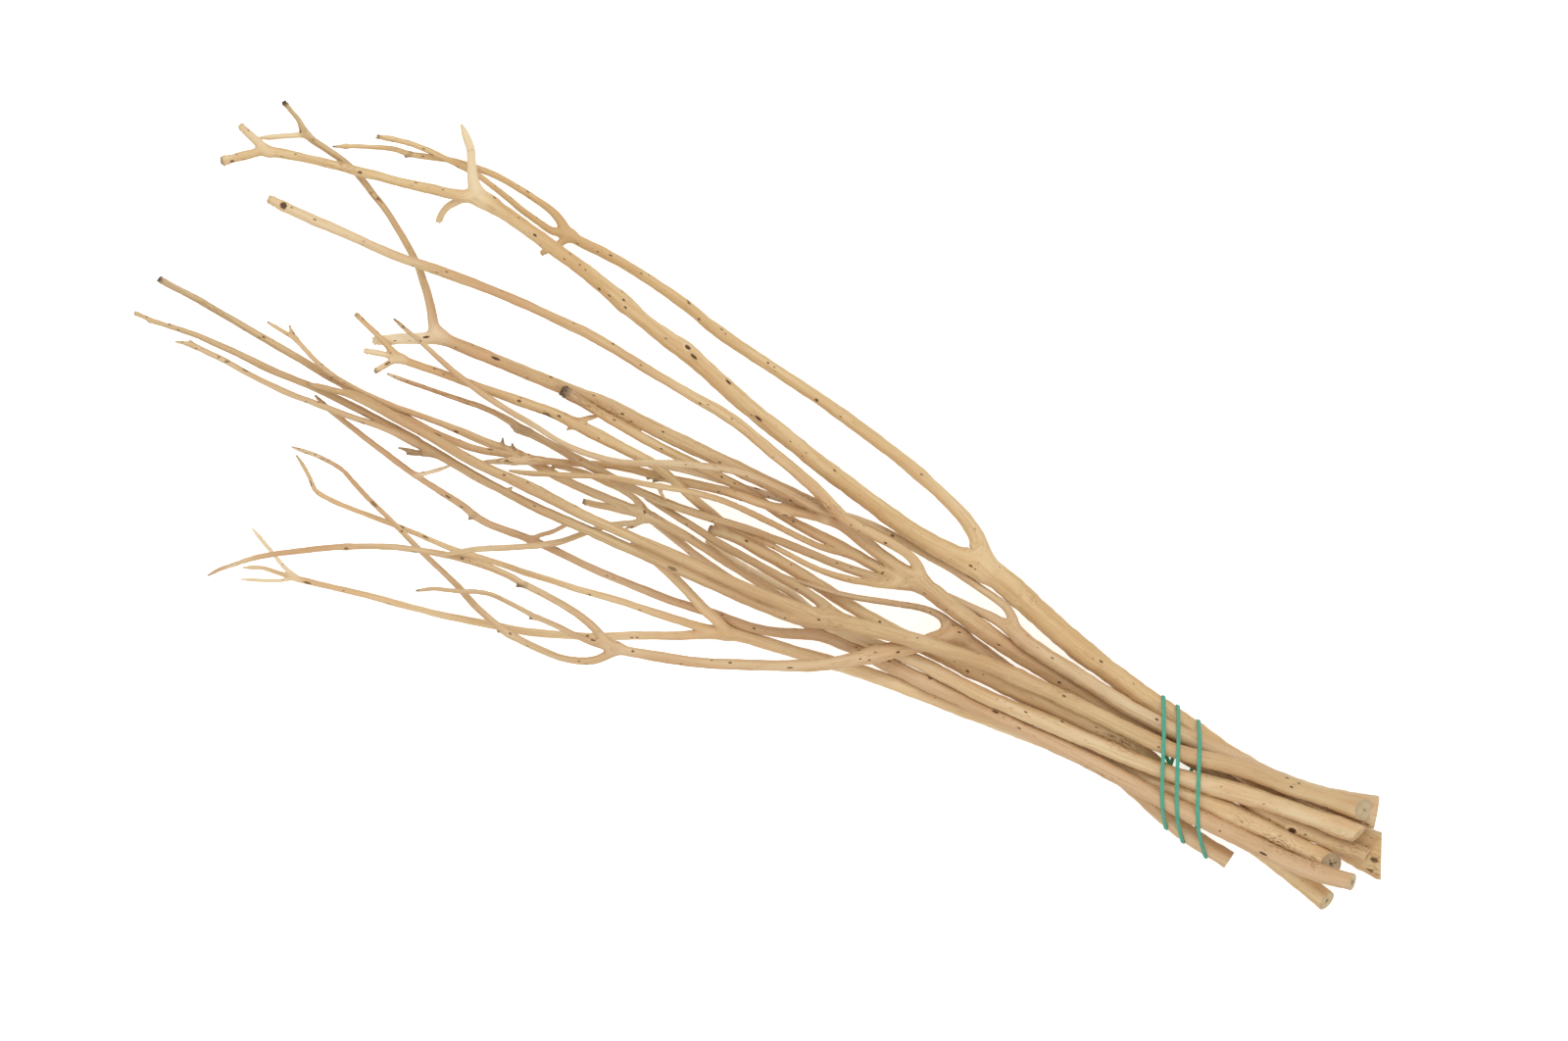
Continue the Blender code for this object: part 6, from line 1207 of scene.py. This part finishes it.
def rough_branch(name, own):
    """A branch's stems as plain tubes, a little thin, run together into one skin."""
    curve = bpy.data.curves.new(name, "CURVE")
    curve.dimensions = "3D"
    curve.bevel_depth = MM
    curve.bevel_resolution = 4
    curve.use_fill_caps = True
    for stem in own:
        spline = curve.splines.new("POLY")
        spline.points.add(len(stem["fine"]) - 1)
        for point, (x, y, z, d) in zip(spline.points, stem["fine"]):
            point.co = (x * MM, y * MM, z * MM, 1)
            point.radius = max(d / 2 - ROUGH_INSIDE, min(d / 2, ROUGH_LEAST))
    guide = placed(name, curve)
    depsgraph = bpy.context.evaluated_depsgraph_get()
    tubes = bpy.data.meshes.new_from_object(guide.evaluated_get(depsgraph))
    bpy.data.objects.remove(guide)
    piece = placed(name, tubes)
    skin = piece.modifiers.new("one skin", "REMESH")
    skin.mode = "VOXEL"
    skin.voxel_size = VOXEL * MM
    depsgraph = bpy.context.evaluated_depsgraph_get()
    whole = bpy.data.meshes.new_from_object(piece.evaluated_get(depsgraph))
    piece.modifiers.clear()
    piece.data = whole
    whole.name = name
    return piece


# How far a mark bends the skin and how far its colour reaches, in its own half lengths and in
# millimetres more, and how its colour fades beyond that and midway to the next mark.
DENT_REACH = 2.6
DENT_SPARE = 2.5
LOOK_REACH = 1.5
LOOK_SPARE = 1.3
LOOK_FADES = 3
NO_MARK = 9.0
MIDWAY_FADES = 8
MIDWAY_WIDE = 1.2

# A pit with a raised lip, in the mark's own sizes. Marks shorter than the least are only colour.
LIP_HEIGHT = 0.35
LIP_AT = 1.5
LIP_WIDE = 0.5
PIT_STEEP = 1.3
LEAST_DENT = 1


def marks_near(places, own_marks):
    """For each place the nearest mark: how far off along and across it in its own sizes, and its depth."""
    facts = np.tile((0.0, 0.0, NO_MARK), (len(places), 1))
    dark = np.zeros((len(places), 3))
    push = np.zeros(len(places))
    nearest = np.full(len(places), np.inf)
    runner_up = np.full(len(places), np.inf)
    for mark in own_marks:
        out = places - mark["place"]
        far = np.linalg.norm(out, axis=1)
        long, wide = mark["half"]
        near = np.flatnonzero(far < DENT_REACH * long + DENT_SPARE)
        along = out[near] @ mark["way"] / long
        across = out[near] @ mark["across"] / wide
        scaled = np.hypot(along, across)
        closer = far[near] < nearest[near]
        chosen = near[closer]
        beaten = near[~closer]
        runner_up[beaten] = np.minimum(runner_up[beaten], far[beaten])
        runner_up[chosen] = nearest[chosen]
        nearest[chosen] = far[chosen]
        margin = np.maximum(far[chosen] - LOOK_REACH * long - LOOK_SPARE, 0)
        facts[chosen] = np.column_stack([along[closer], across[closer], LOOK_FADES * margin / wide])
        dark[chosen] = mark["look"]
        lip = LIP_HEIGHT * np.exp(-(((scaled - LIP_AT) / LIP_WIDE) ** 2))
        dent = mark["deep"] * (lip - np.exp(-PIT_STEEP * scaled**2))
        push[near] += dent if long > LEAST_DENT else 0
    midway = np.isfinite(runner_up)
    lead = runner_up[midway] - nearest[midway]
    facts[midway, 2] += MIDWAY_FADES * np.clip(MIDWAY_WIDE - lead, 0, 1)
    return facts, dark, push


def patches_near(places, patches):
    """How strongly a place lies in one of the patches, as seen from above."""
    share = np.zeros(len(places))
    for x, y, long, wide, strength in patches:
        off_x, off_y = places[:, 0] - x, places[:, 1] - y
        share = np.maximum(share, strength * np.exp(-((off_x / long) ** 2) - (off_y / wide) ** 2))
    return share


def sawn(mesh, stem):
    """Saws a trunk's end off where its cut face is, and closes the end with wood that shows its rings."""
    x, y, turn, slope = SAW_CUTS[stem["name"]]
    line = stem["line"]
    z = line[int(np.hypot(line[:, 0] - x, line[:, 1] - y).argmin()), 2]
    turn, slope = math.radians(turn), math.radians(slope)
    looks = (math.cos(turn) * math.cos(slope), math.sin(turn) * math.cos(slope), math.sin(slope))
    trunk = bmesh.new()
    trunk.from_mesh(mesh)
    everything = trunk.verts[:] + trunk.edges[:] + trunk.faces[:]
    cut_at = (np.array((x, y, z)) + SHIFT) * MM
    bmesh.ops.bisect_plane(trunk, geom=everything, plane_co=cut_at, plane_no=looks, clear_outer=True)
    # A thin tip can leave a lone scrap of skin beyond it. Only what hangs together with the butt stays.
    butt = max(trunk.verts, key=lambda corner: corner.co.x)
    reached = {butt}
    front = [butt]
    while front:
        corner = front.pop()
        nearby = {edge.other_vert(corner) for edge in corner.link_edges} - reached
        reached |= nearby
        front.extend(nearby)
    scraps = [corner for corner in trunk.verts if corner not in reached]
    bmesh.ops.delete(trunk, geom=scraps, context="VERTS")
    rim = [edge for edge in trunk.edges if edge.is_boundary]
    for face in bmesh.ops.edgeloop_fill(trunk, edges=rim)["faces"]:
        face.material_index = 1
        face.smooth = False
    bmesh.ops.recalc_face_normals(trunk, faces=trunk.faces)
    trunk.to_mesh(mesh)
    trunk.free()


def places_of(mesh):
    """A mesh's points as an array in the table's millimetres."""
    flat = np.empty(3 * len(mesh.vertices))
    mesh.vertices.foreach_get("co", flat)
    return flat.reshape(-1, 3) / MM


# The skin moves on to the grown shape in rounds, so far at most in each, and stays over the floor.
GROWING_ROUNDS = 3
LONGEST_MOVE = 1.2
LEAST_SLOPE = 0.3
FLOOR_GAP = 0.05


def grow(name, letter):
    """One branch: its rough skin moved on to its grown shape, marked, sawn and given its wood's grain."""
    own = [stem for stem in stems if stem["branch"] == letter]
    own_marks = [mark for mark in marks if mark["branch"] == letter]
    piece = rough_branch(name, own)
    mesh = piece.data
    places = places_of(mesh)
    for _ in range(GROWING_ROUNDS):
        outside, way, _wood, _tones = grown_shape(own, places)
        slope = np.maximum((way**2).sum(axis=1), LEAST_SLOPE)
        places -= way * np.clip(outside / slope, -LONGEST_MOVE, LONGEST_MOVE)[:, None]
    _facts, _dark, push = marks_near(places, own_marks)
    places += way * push[:, None]
    places[:, 2] = np.maximum(places[:, 2], FLOOR_GAP)
    mesh.vertices.foreach_set("co", ((places + SHIFT) * MM).ravel())
    mesh.shade_smooth()
    sawn(mesh, own[0])
    places = places_of(mesh) - SHIFT
    _outside, _way, wood, tones = grown_shape(own, places)
    tones[:, 1] = np.maximum(tones[:, 1], patches_near(places, PALER))
    facts, dark, _push = marks_near(places, own_marks)
    for label, values in (("grain", wood), ("tones", tones), ("mark", facts), ("mark_look", dark)):
        mesh.attributes.new(label, "FLOAT_VECTOR", "POINT").data.foreach_set("vector", values.ravel())
    mesh.attributes.new("flecked", "FLOAT", "POINT").data.foreach_set(
        "value", patches_near(places, FLECKED)
    )
    return piece


# Each branch's own colours: pale wood, the deeper wood between its fibres, and the clouds in it.
WOOD_COLOURS = {
    "a": ("DDC091", "C39C66", "D2AD7B"),
    "b": ("D9C19A", "BF9C6D", "CFAA80"),
    "c": ("D9BC8E", "BE9765", "CDA478"),
    "d": ("D2B588", "B89261", "C69F73"),
    "e": ("D8BC93", "BF9969", "CEA579"),
    "f": ("E0C79E", "C9A470", "D6B185"),
    "g": ("D5B58F", "BE9769", "CBA47A"),
    "h": ("E5CB9F", "CEA975", "DCB78A"),
    "n": ("E0C697", "C5A06C", "D3AC7E"),
}


# Millimetres of wood to one pore, along it and across it, and the size and share of a mark's raggedness.
PORE_EVERY = (9, 3.4)
RAGGED_SIZE = 0.9
RAGGED_SHARE = 0.42


def layered(tree, colour, layers):
    """Lays colours over a first one: what each follows, where it fades in, how strong and which it is."""
    shares = {}
    for label, follows, low, high, strength, hue in layers:
        shares[label] = add(tree, "ShaderNodeMapRange", {
            "Value": follows, "From Min": low, "From Max": high, "To Max": strength,
        }, interpolation_type="SMOOTHSTEP").outputs["Result"]
        colour = add(tree, "ShaderNodeMix", {
            0: shares[label], 6: colour, 7: linear(hue),
        }, data_type="RGBA").outputs[2]
    return colour, shares


def bare_wood(letter):
    """Peeled wood: pale and satin, with fibres along it, flecks of inner bark, dark scars and stains."""
    pale, deep, cloudy = WOOD_COLOURS[letter]
    material, tree, shader = surface("peeled mitsumata wood, branch " + letter)
    grain, tones, mark, look, flecked = (
        add(tree, "ShaderNodeAttribute", {}, attribute_name=label).outputs["Vector"]
        for label in ("grain", "tones", "mark", "mark_look", "flecked")
    )
    # Noise drawn out along the wood, each by its real length and width in millimetres.
    noises = {}
    for label, along, across, detail in (
        ("clouds", 70, 9, 2), ("streaks", 38, 1.3, 4), ("fibres", 11, 0.3, 3), ("flecks", 5, 0.8, 2),
        ("dashes", 3.2, 0.55, 2),
    ):
        drawn = add(tree, "ShaderNodeVectorMath", {
            0: grain, 1: (1 / along, 1 / across, 1 / across),
        }, operation="MULTIPLY")
        noises[label] = add(tree, "ShaderNodeTexNoise", {
            "Vector": drawn.outputs[0], "Scale": 1.0, "Detail": detail, "Roughness": 0.55,
        }).outputs["Fac"]
    along, across = PORE_EVERY
    cells = add(tree, "ShaderNodeVectorMath", {
        0: grain, 1: (1 / along, 1 / across, 1 / across),
    }, operation="MULTIPLY")
    pores = add(tree, "ShaderNodeTexVoronoi", {"Vector": cells.outputs[0], "Scale": 1.0}).outputs
    some = add(tree, "ShaderNodeMapRange", {
        "Value": add(tree, "ShaderNodeSeparateXYZ", {0: pores["Color"]}).outputs["X"],
        "From Min": 0.5, "From Max": 0.75,
    }).outputs["Result"]
    # How far off the nearest mark is, in its own sizes, with a ragged edge.
    ripple = add(tree, "ShaderNodeTexNoise", {
        "Vector": add(tree, "ShaderNodeTexCoord", {}).outputs["Object"],
        "Scale": 1 / (RAGGED_SIZE * MM), "Detail": 2,
    })
    shaken = add(tree, "ShaderNodeVectorMath", {
        0: ripple.outputs["Color"], 1: (0.5, 0.5, 0.5),
    }, operation="SUBTRACT")
    ragged = add(tree, "ShaderNodeMix", {
        0: RAGGED_SHARE, 4: mark, 5: shaken.outputs[0],
    }, data_type="VECTOR")
    off = add(tree, "ShaderNodeVectorMath", {0: ragged.outputs[1]}, operation="LENGTH").outputs["Value"]
    stain, bleach_and_painted_lift, bark = add(tree, "ShaderNodeSeparateXYZ", {0: tones}).outputs
    dark, healed, _none = add(tree, "ShaderNodeSeparateXYZ", {0: look}).outputs
    left = add(tree, "ShaderNodeSeparateXYZ", {0: flecked}).outputs["X"]

    colour, shares = layered(tree, linear(pale), (
        ("clouds", noises["clouds"], 0.35, 0.68, 1.0, cloudy),
        ("streaks", noises["streaks"], 0.42, 0.72, 0.7, deep),
        ("fibres", noises["fibres"], 0.5, 0.75, 0.3, deep),
        ("flecks", noises["flecks"], 0.66, 0.74, 0.6, "96693C"),
        # Pale wood: bleached, and on the stems that lie under others painted light that lifts their shade.
        ("bleach_and_painted_lift", noises["clouds"], 0.0, 0.3, bleach_and_painted_lift, "F6E4C0"),
        ("stain", noises["streaks"], 0.2, 0.6, stain, "876D52"),
        ("bark left", noises["dashes"], 0.48, 0.6, left, "9A6A38"),
        ("dark bark left", noises["dashes"], 0.6, 0.68, left, "63421F"),
        ("pores", pores["Distance"], 0.13, 0.06, some, "5A3E26"),
        ("torn", noises["clouds"], 0.0, 0.3, bark, "8A6F50"),
        ("broken", noises["dashes"], 0.4, 0.52, bark, "3B2B1E"),
        ("halo", off, 1.25, 0.9, healed, "DFC095"),
        ("rim", off, 0.85, 0.5, dark, "A67C4C"),
        ("hole", off, 0.62, 0.4, dark, "402C1D"),
        ("healed", off, 0.3, 0.15, healed, "5F432B"),
    ))
    tree.links.new(colour, shader.inputs["Base Color"])
    shader.inputs["Roughness"].default_value = 0.52
    shader.inputs["Specular IOR Level"].default_value = 0.35
    skin = add(tree, "ShaderNodeBump", {
        "Height": noises["fibres"], "Distance": 0.05 * MM, "Strength": 0.6,
    })
    waves = add(tree, "ShaderNodeBump", {
        "Height": noises["streaks"], "Distance": 0.25 * MM, "Strength": 0.6,
        "Normal": skin.outputs["Normal"],
    })
    pits = add(tree, "ShaderNodeBump", {
        "Height": shares["hole"], "Distance": 0.6 * MM, "Strength": 1.0, "Normal": waves.outputs["Normal"],
    }, invert=True)
    tree.links.new(pits.outputs["Normal"], shader.inputs["Normal"])
    return material


# Each sawn end: its colour, how far its drying cracks reach from the pith, and how dark they are.
END_FACES = {
    "a": ("B9A78B", 2.2, 0.6), "b": ("D9BC91", 2.4, 0.7), "c": ("E6CDA3", 1.2, 0.4),
    "d": ("C6B08C", 1.2, 0.4), "e": ("DCC298", 2.0, 0.8), "f": ("D6B384", 1.2, 0.3),
    "g": ("D2BA92", 2.6, 0.9), "h": ("C9B48E", 3.6, 1.0), "n": ("CFB68D", 2.0, 0.8),
}


# How far the rings wander in millimetres, which adds half of that to every distance from the pith on
# the average, their wave in radians to a millimetre, how much cracks change on their way out, and how
# far past their reach they are gone.
RING_WANDER = 2.6
PITH_OFFSET = 1.3
RING_WAVE = 5.2
CRACK_DRIFT = 0.12
CRACK_END = 0.5


def end_grain(letter):
    """Sawn end grain: pale grey-beige and matt, with faint rings, a torn pith and drying cracks from it."""
    face, reach, darkness = END_FACES[letter]
    material, tree, shader = surface("sawn mitsumata end grain, branch " + letter)
    grain = add(tree, "ShaderNodeAttribute", {}, attribute_name="grain").outputs["Vector"]
    flat = add(tree, "ShaderNodeVectorMath", {0: grain, 1: (0, 1, 1)}, operation="MULTIPLY").outputs[0]
    rough = add(tree, "ShaderNodeTexNoise", {"Vector": flat, "Scale": 0.35, "Detail": 4}).outputs["Fac"]
    far = add(tree, "ShaderNodeVectorMath", {0: flat}, operation="LENGTH").outputs["Value"]
    bent = add(tree, "ShaderNodeMath", {
        0: rough, 1: RING_WANDER, 2: far,
    }, operation="MULTIPLY_ADD").outputs[0]
    turned = add(tree, "ShaderNodeMath", {0: bent, 1: RING_WAVE}, operation="MULTIPLY").outputs[0]
    rings = add(tree, "ShaderNodeMath", {0: turned}, operation="SINE").outputs[0]
    ways = add(tree, "ShaderNodeVectorMath", {0: flat}, operation="NORMALIZE").outputs[0]
    fanned = add(tree, "ShaderNodeVectorMath", {
        0: flat, 1: (0, CRACK_DRIFT, CRACK_DRIFT), 2: ways,
    }, operation="MULTIPLY_ADD").outputs[0]
    spokes = add(tree, "ShaderNodeTexNoise", {"Vector": fanned, "Scale": 1.7, "Detail": 1}).outputs["Fac"]
    inner = add(tree, "ShaderNodeMapRange", {
        "Value": bent, "From Min": PITH_OFFSET + CRACK_END + reach,
        "From Max": PITH_OFFSET + reach / 2, "To Max": darkness,
    }).outputs["Result"]
    colour, shares = layered(tree, linear(face), (
        ("rings", rings, 0.0, 1.0, 0.16, "B39A72"),
        ("clouds", rough, 0.42, 0.7, 0.6, "B89B72"),
        ("rim", far, 3.4, 5.6, 0.35, "A08B69"),
        ("cracks", spokes, 0.55, 0.64, inner, "5A4330"),
        ("pith", bent, 2.3, 1.7, darkness, "5A4330"),
    ))
    tree.links.new(colour, shader.inputs["Base Color"])
    shader.inputs["Roughness"].default_value = 0.8
    opened = add(tree, "ShaderNodeMath", {
        0: shares["cracks"], 1: shares["pith"],
    }, operation="MAXIMUM").outputs[0]
    saw = add(tree, "ShaderNodeBump", {"Height": rough, "Distance": 0.4 * MM, "Strength": 0.6})
    open_pith = add(tree, "ShaderNodeBump", {
        "Height": opened, "Distance": 0.8 * MM, "Strength": 1.0, "Normal": saw.outputs["Normal"],
    }, invert=True)
    tree.links.new(open_pith.outputs["Normal"], shader.inputs["Normal"])
    return material


for letter in BRANCHES:
    branch = grow("mitsumata_branch_" + letter, letter)
    branch.data.materials.append(bare_wood(letter))
    branch.data.materials.append(end_grain(letter))
    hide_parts("branch_" + letter)
    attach(branch, "root")

# The floor. Real: a white acrylic table, lit from below as well as from above, so that it goes as white
# as paper and the branches throw only a faint soft shade on it.
FLOOR_HALF = 6.0
floor_sheet = bmesh.new()
bmesh.ops.create_grid(floor_sheet, x_segments=1, y_segments=1, size=FLOOR_HALF)
floor_mesh = bpy.data.meshes.new("floor")
floor_sheet.to_mesh(floor_mesh)
floor_sheet.free()
floor = placed("floor", floor_mesh)
acrylic, tree, shader = surface("white acrylic sheet")
# It gives the eye plain even white.
shader.inputs["Base Color"].default_value = linear("F4F4F2")
shader.inputs["Roughness"].default_value = 0.9
shader.inputs["Specular IOR Level"].default_value = 0.1
shader.inputs["Emission Color"].default_value = linear("FFFFFF")
shader.inputs["Emission Strength"].default_value = 0.62
floor_mesh.materials.append(acrylic)
# The bundle in the picture hangs clear of its backdrop, so the floor lends the wood no light from below.
floor.visible_diffuse = False
floor.visible_glossy = False

# The lights. A pale room, a soft box high over the far left, and over the near right a weaker and
# wider one.
world = bpy.data.worlds.new("pale room")
bpy.context.scene.world = world
world.use_nodes = True
world.node_tree.nodes["Background"].inputs["Color"].default_value = linear("FFFFFF")
world.node_tree.nodes["Background"].inputs["Strength"].default_value = 0.88
for name, size, power, place in (
    ("soft box", 1.1, 10, (-0.75, 1.25, 1.9)),
    ("fill", 1.8, 4, (0.9, -1.0, 1.9)),
):
    lamp = bpy.data.lights.new(name, "AREA")
    lamp.size = size
    lamp.energy = power
    light = placed(name, lamp)
    light.location = place
    light.rotation_euler = (-light.location).to_track_quat("-Z", "Y").to_euler()

# The camera. It looks straight down from where the eye was, turned so that the bundle runs from the
# upper left to the lower right, as a long lens sees it from five metres.
LENS = 200.0
SENSOR = 36.0
TURN = 26.0
eye = bpy.data.cameras.new("camera")
eye.lens = LENS
eye.sensor_width = SENSOR
eye.clip_start = 0.1
eye.clip_end = 20.0
camera = placed("camera", eye)
camera.location = ((EYE_X + SHIFT[0]) * MM, (EYE_Y + SHIFT[1]) * MM, EYE_HEIGHT * MM)
camera.rotation_euler = (0, 0, math.radians(TURN))
bpy.context.scene.camera = camera
bpy.context.scene.view_settings.view_transform = "Standard"
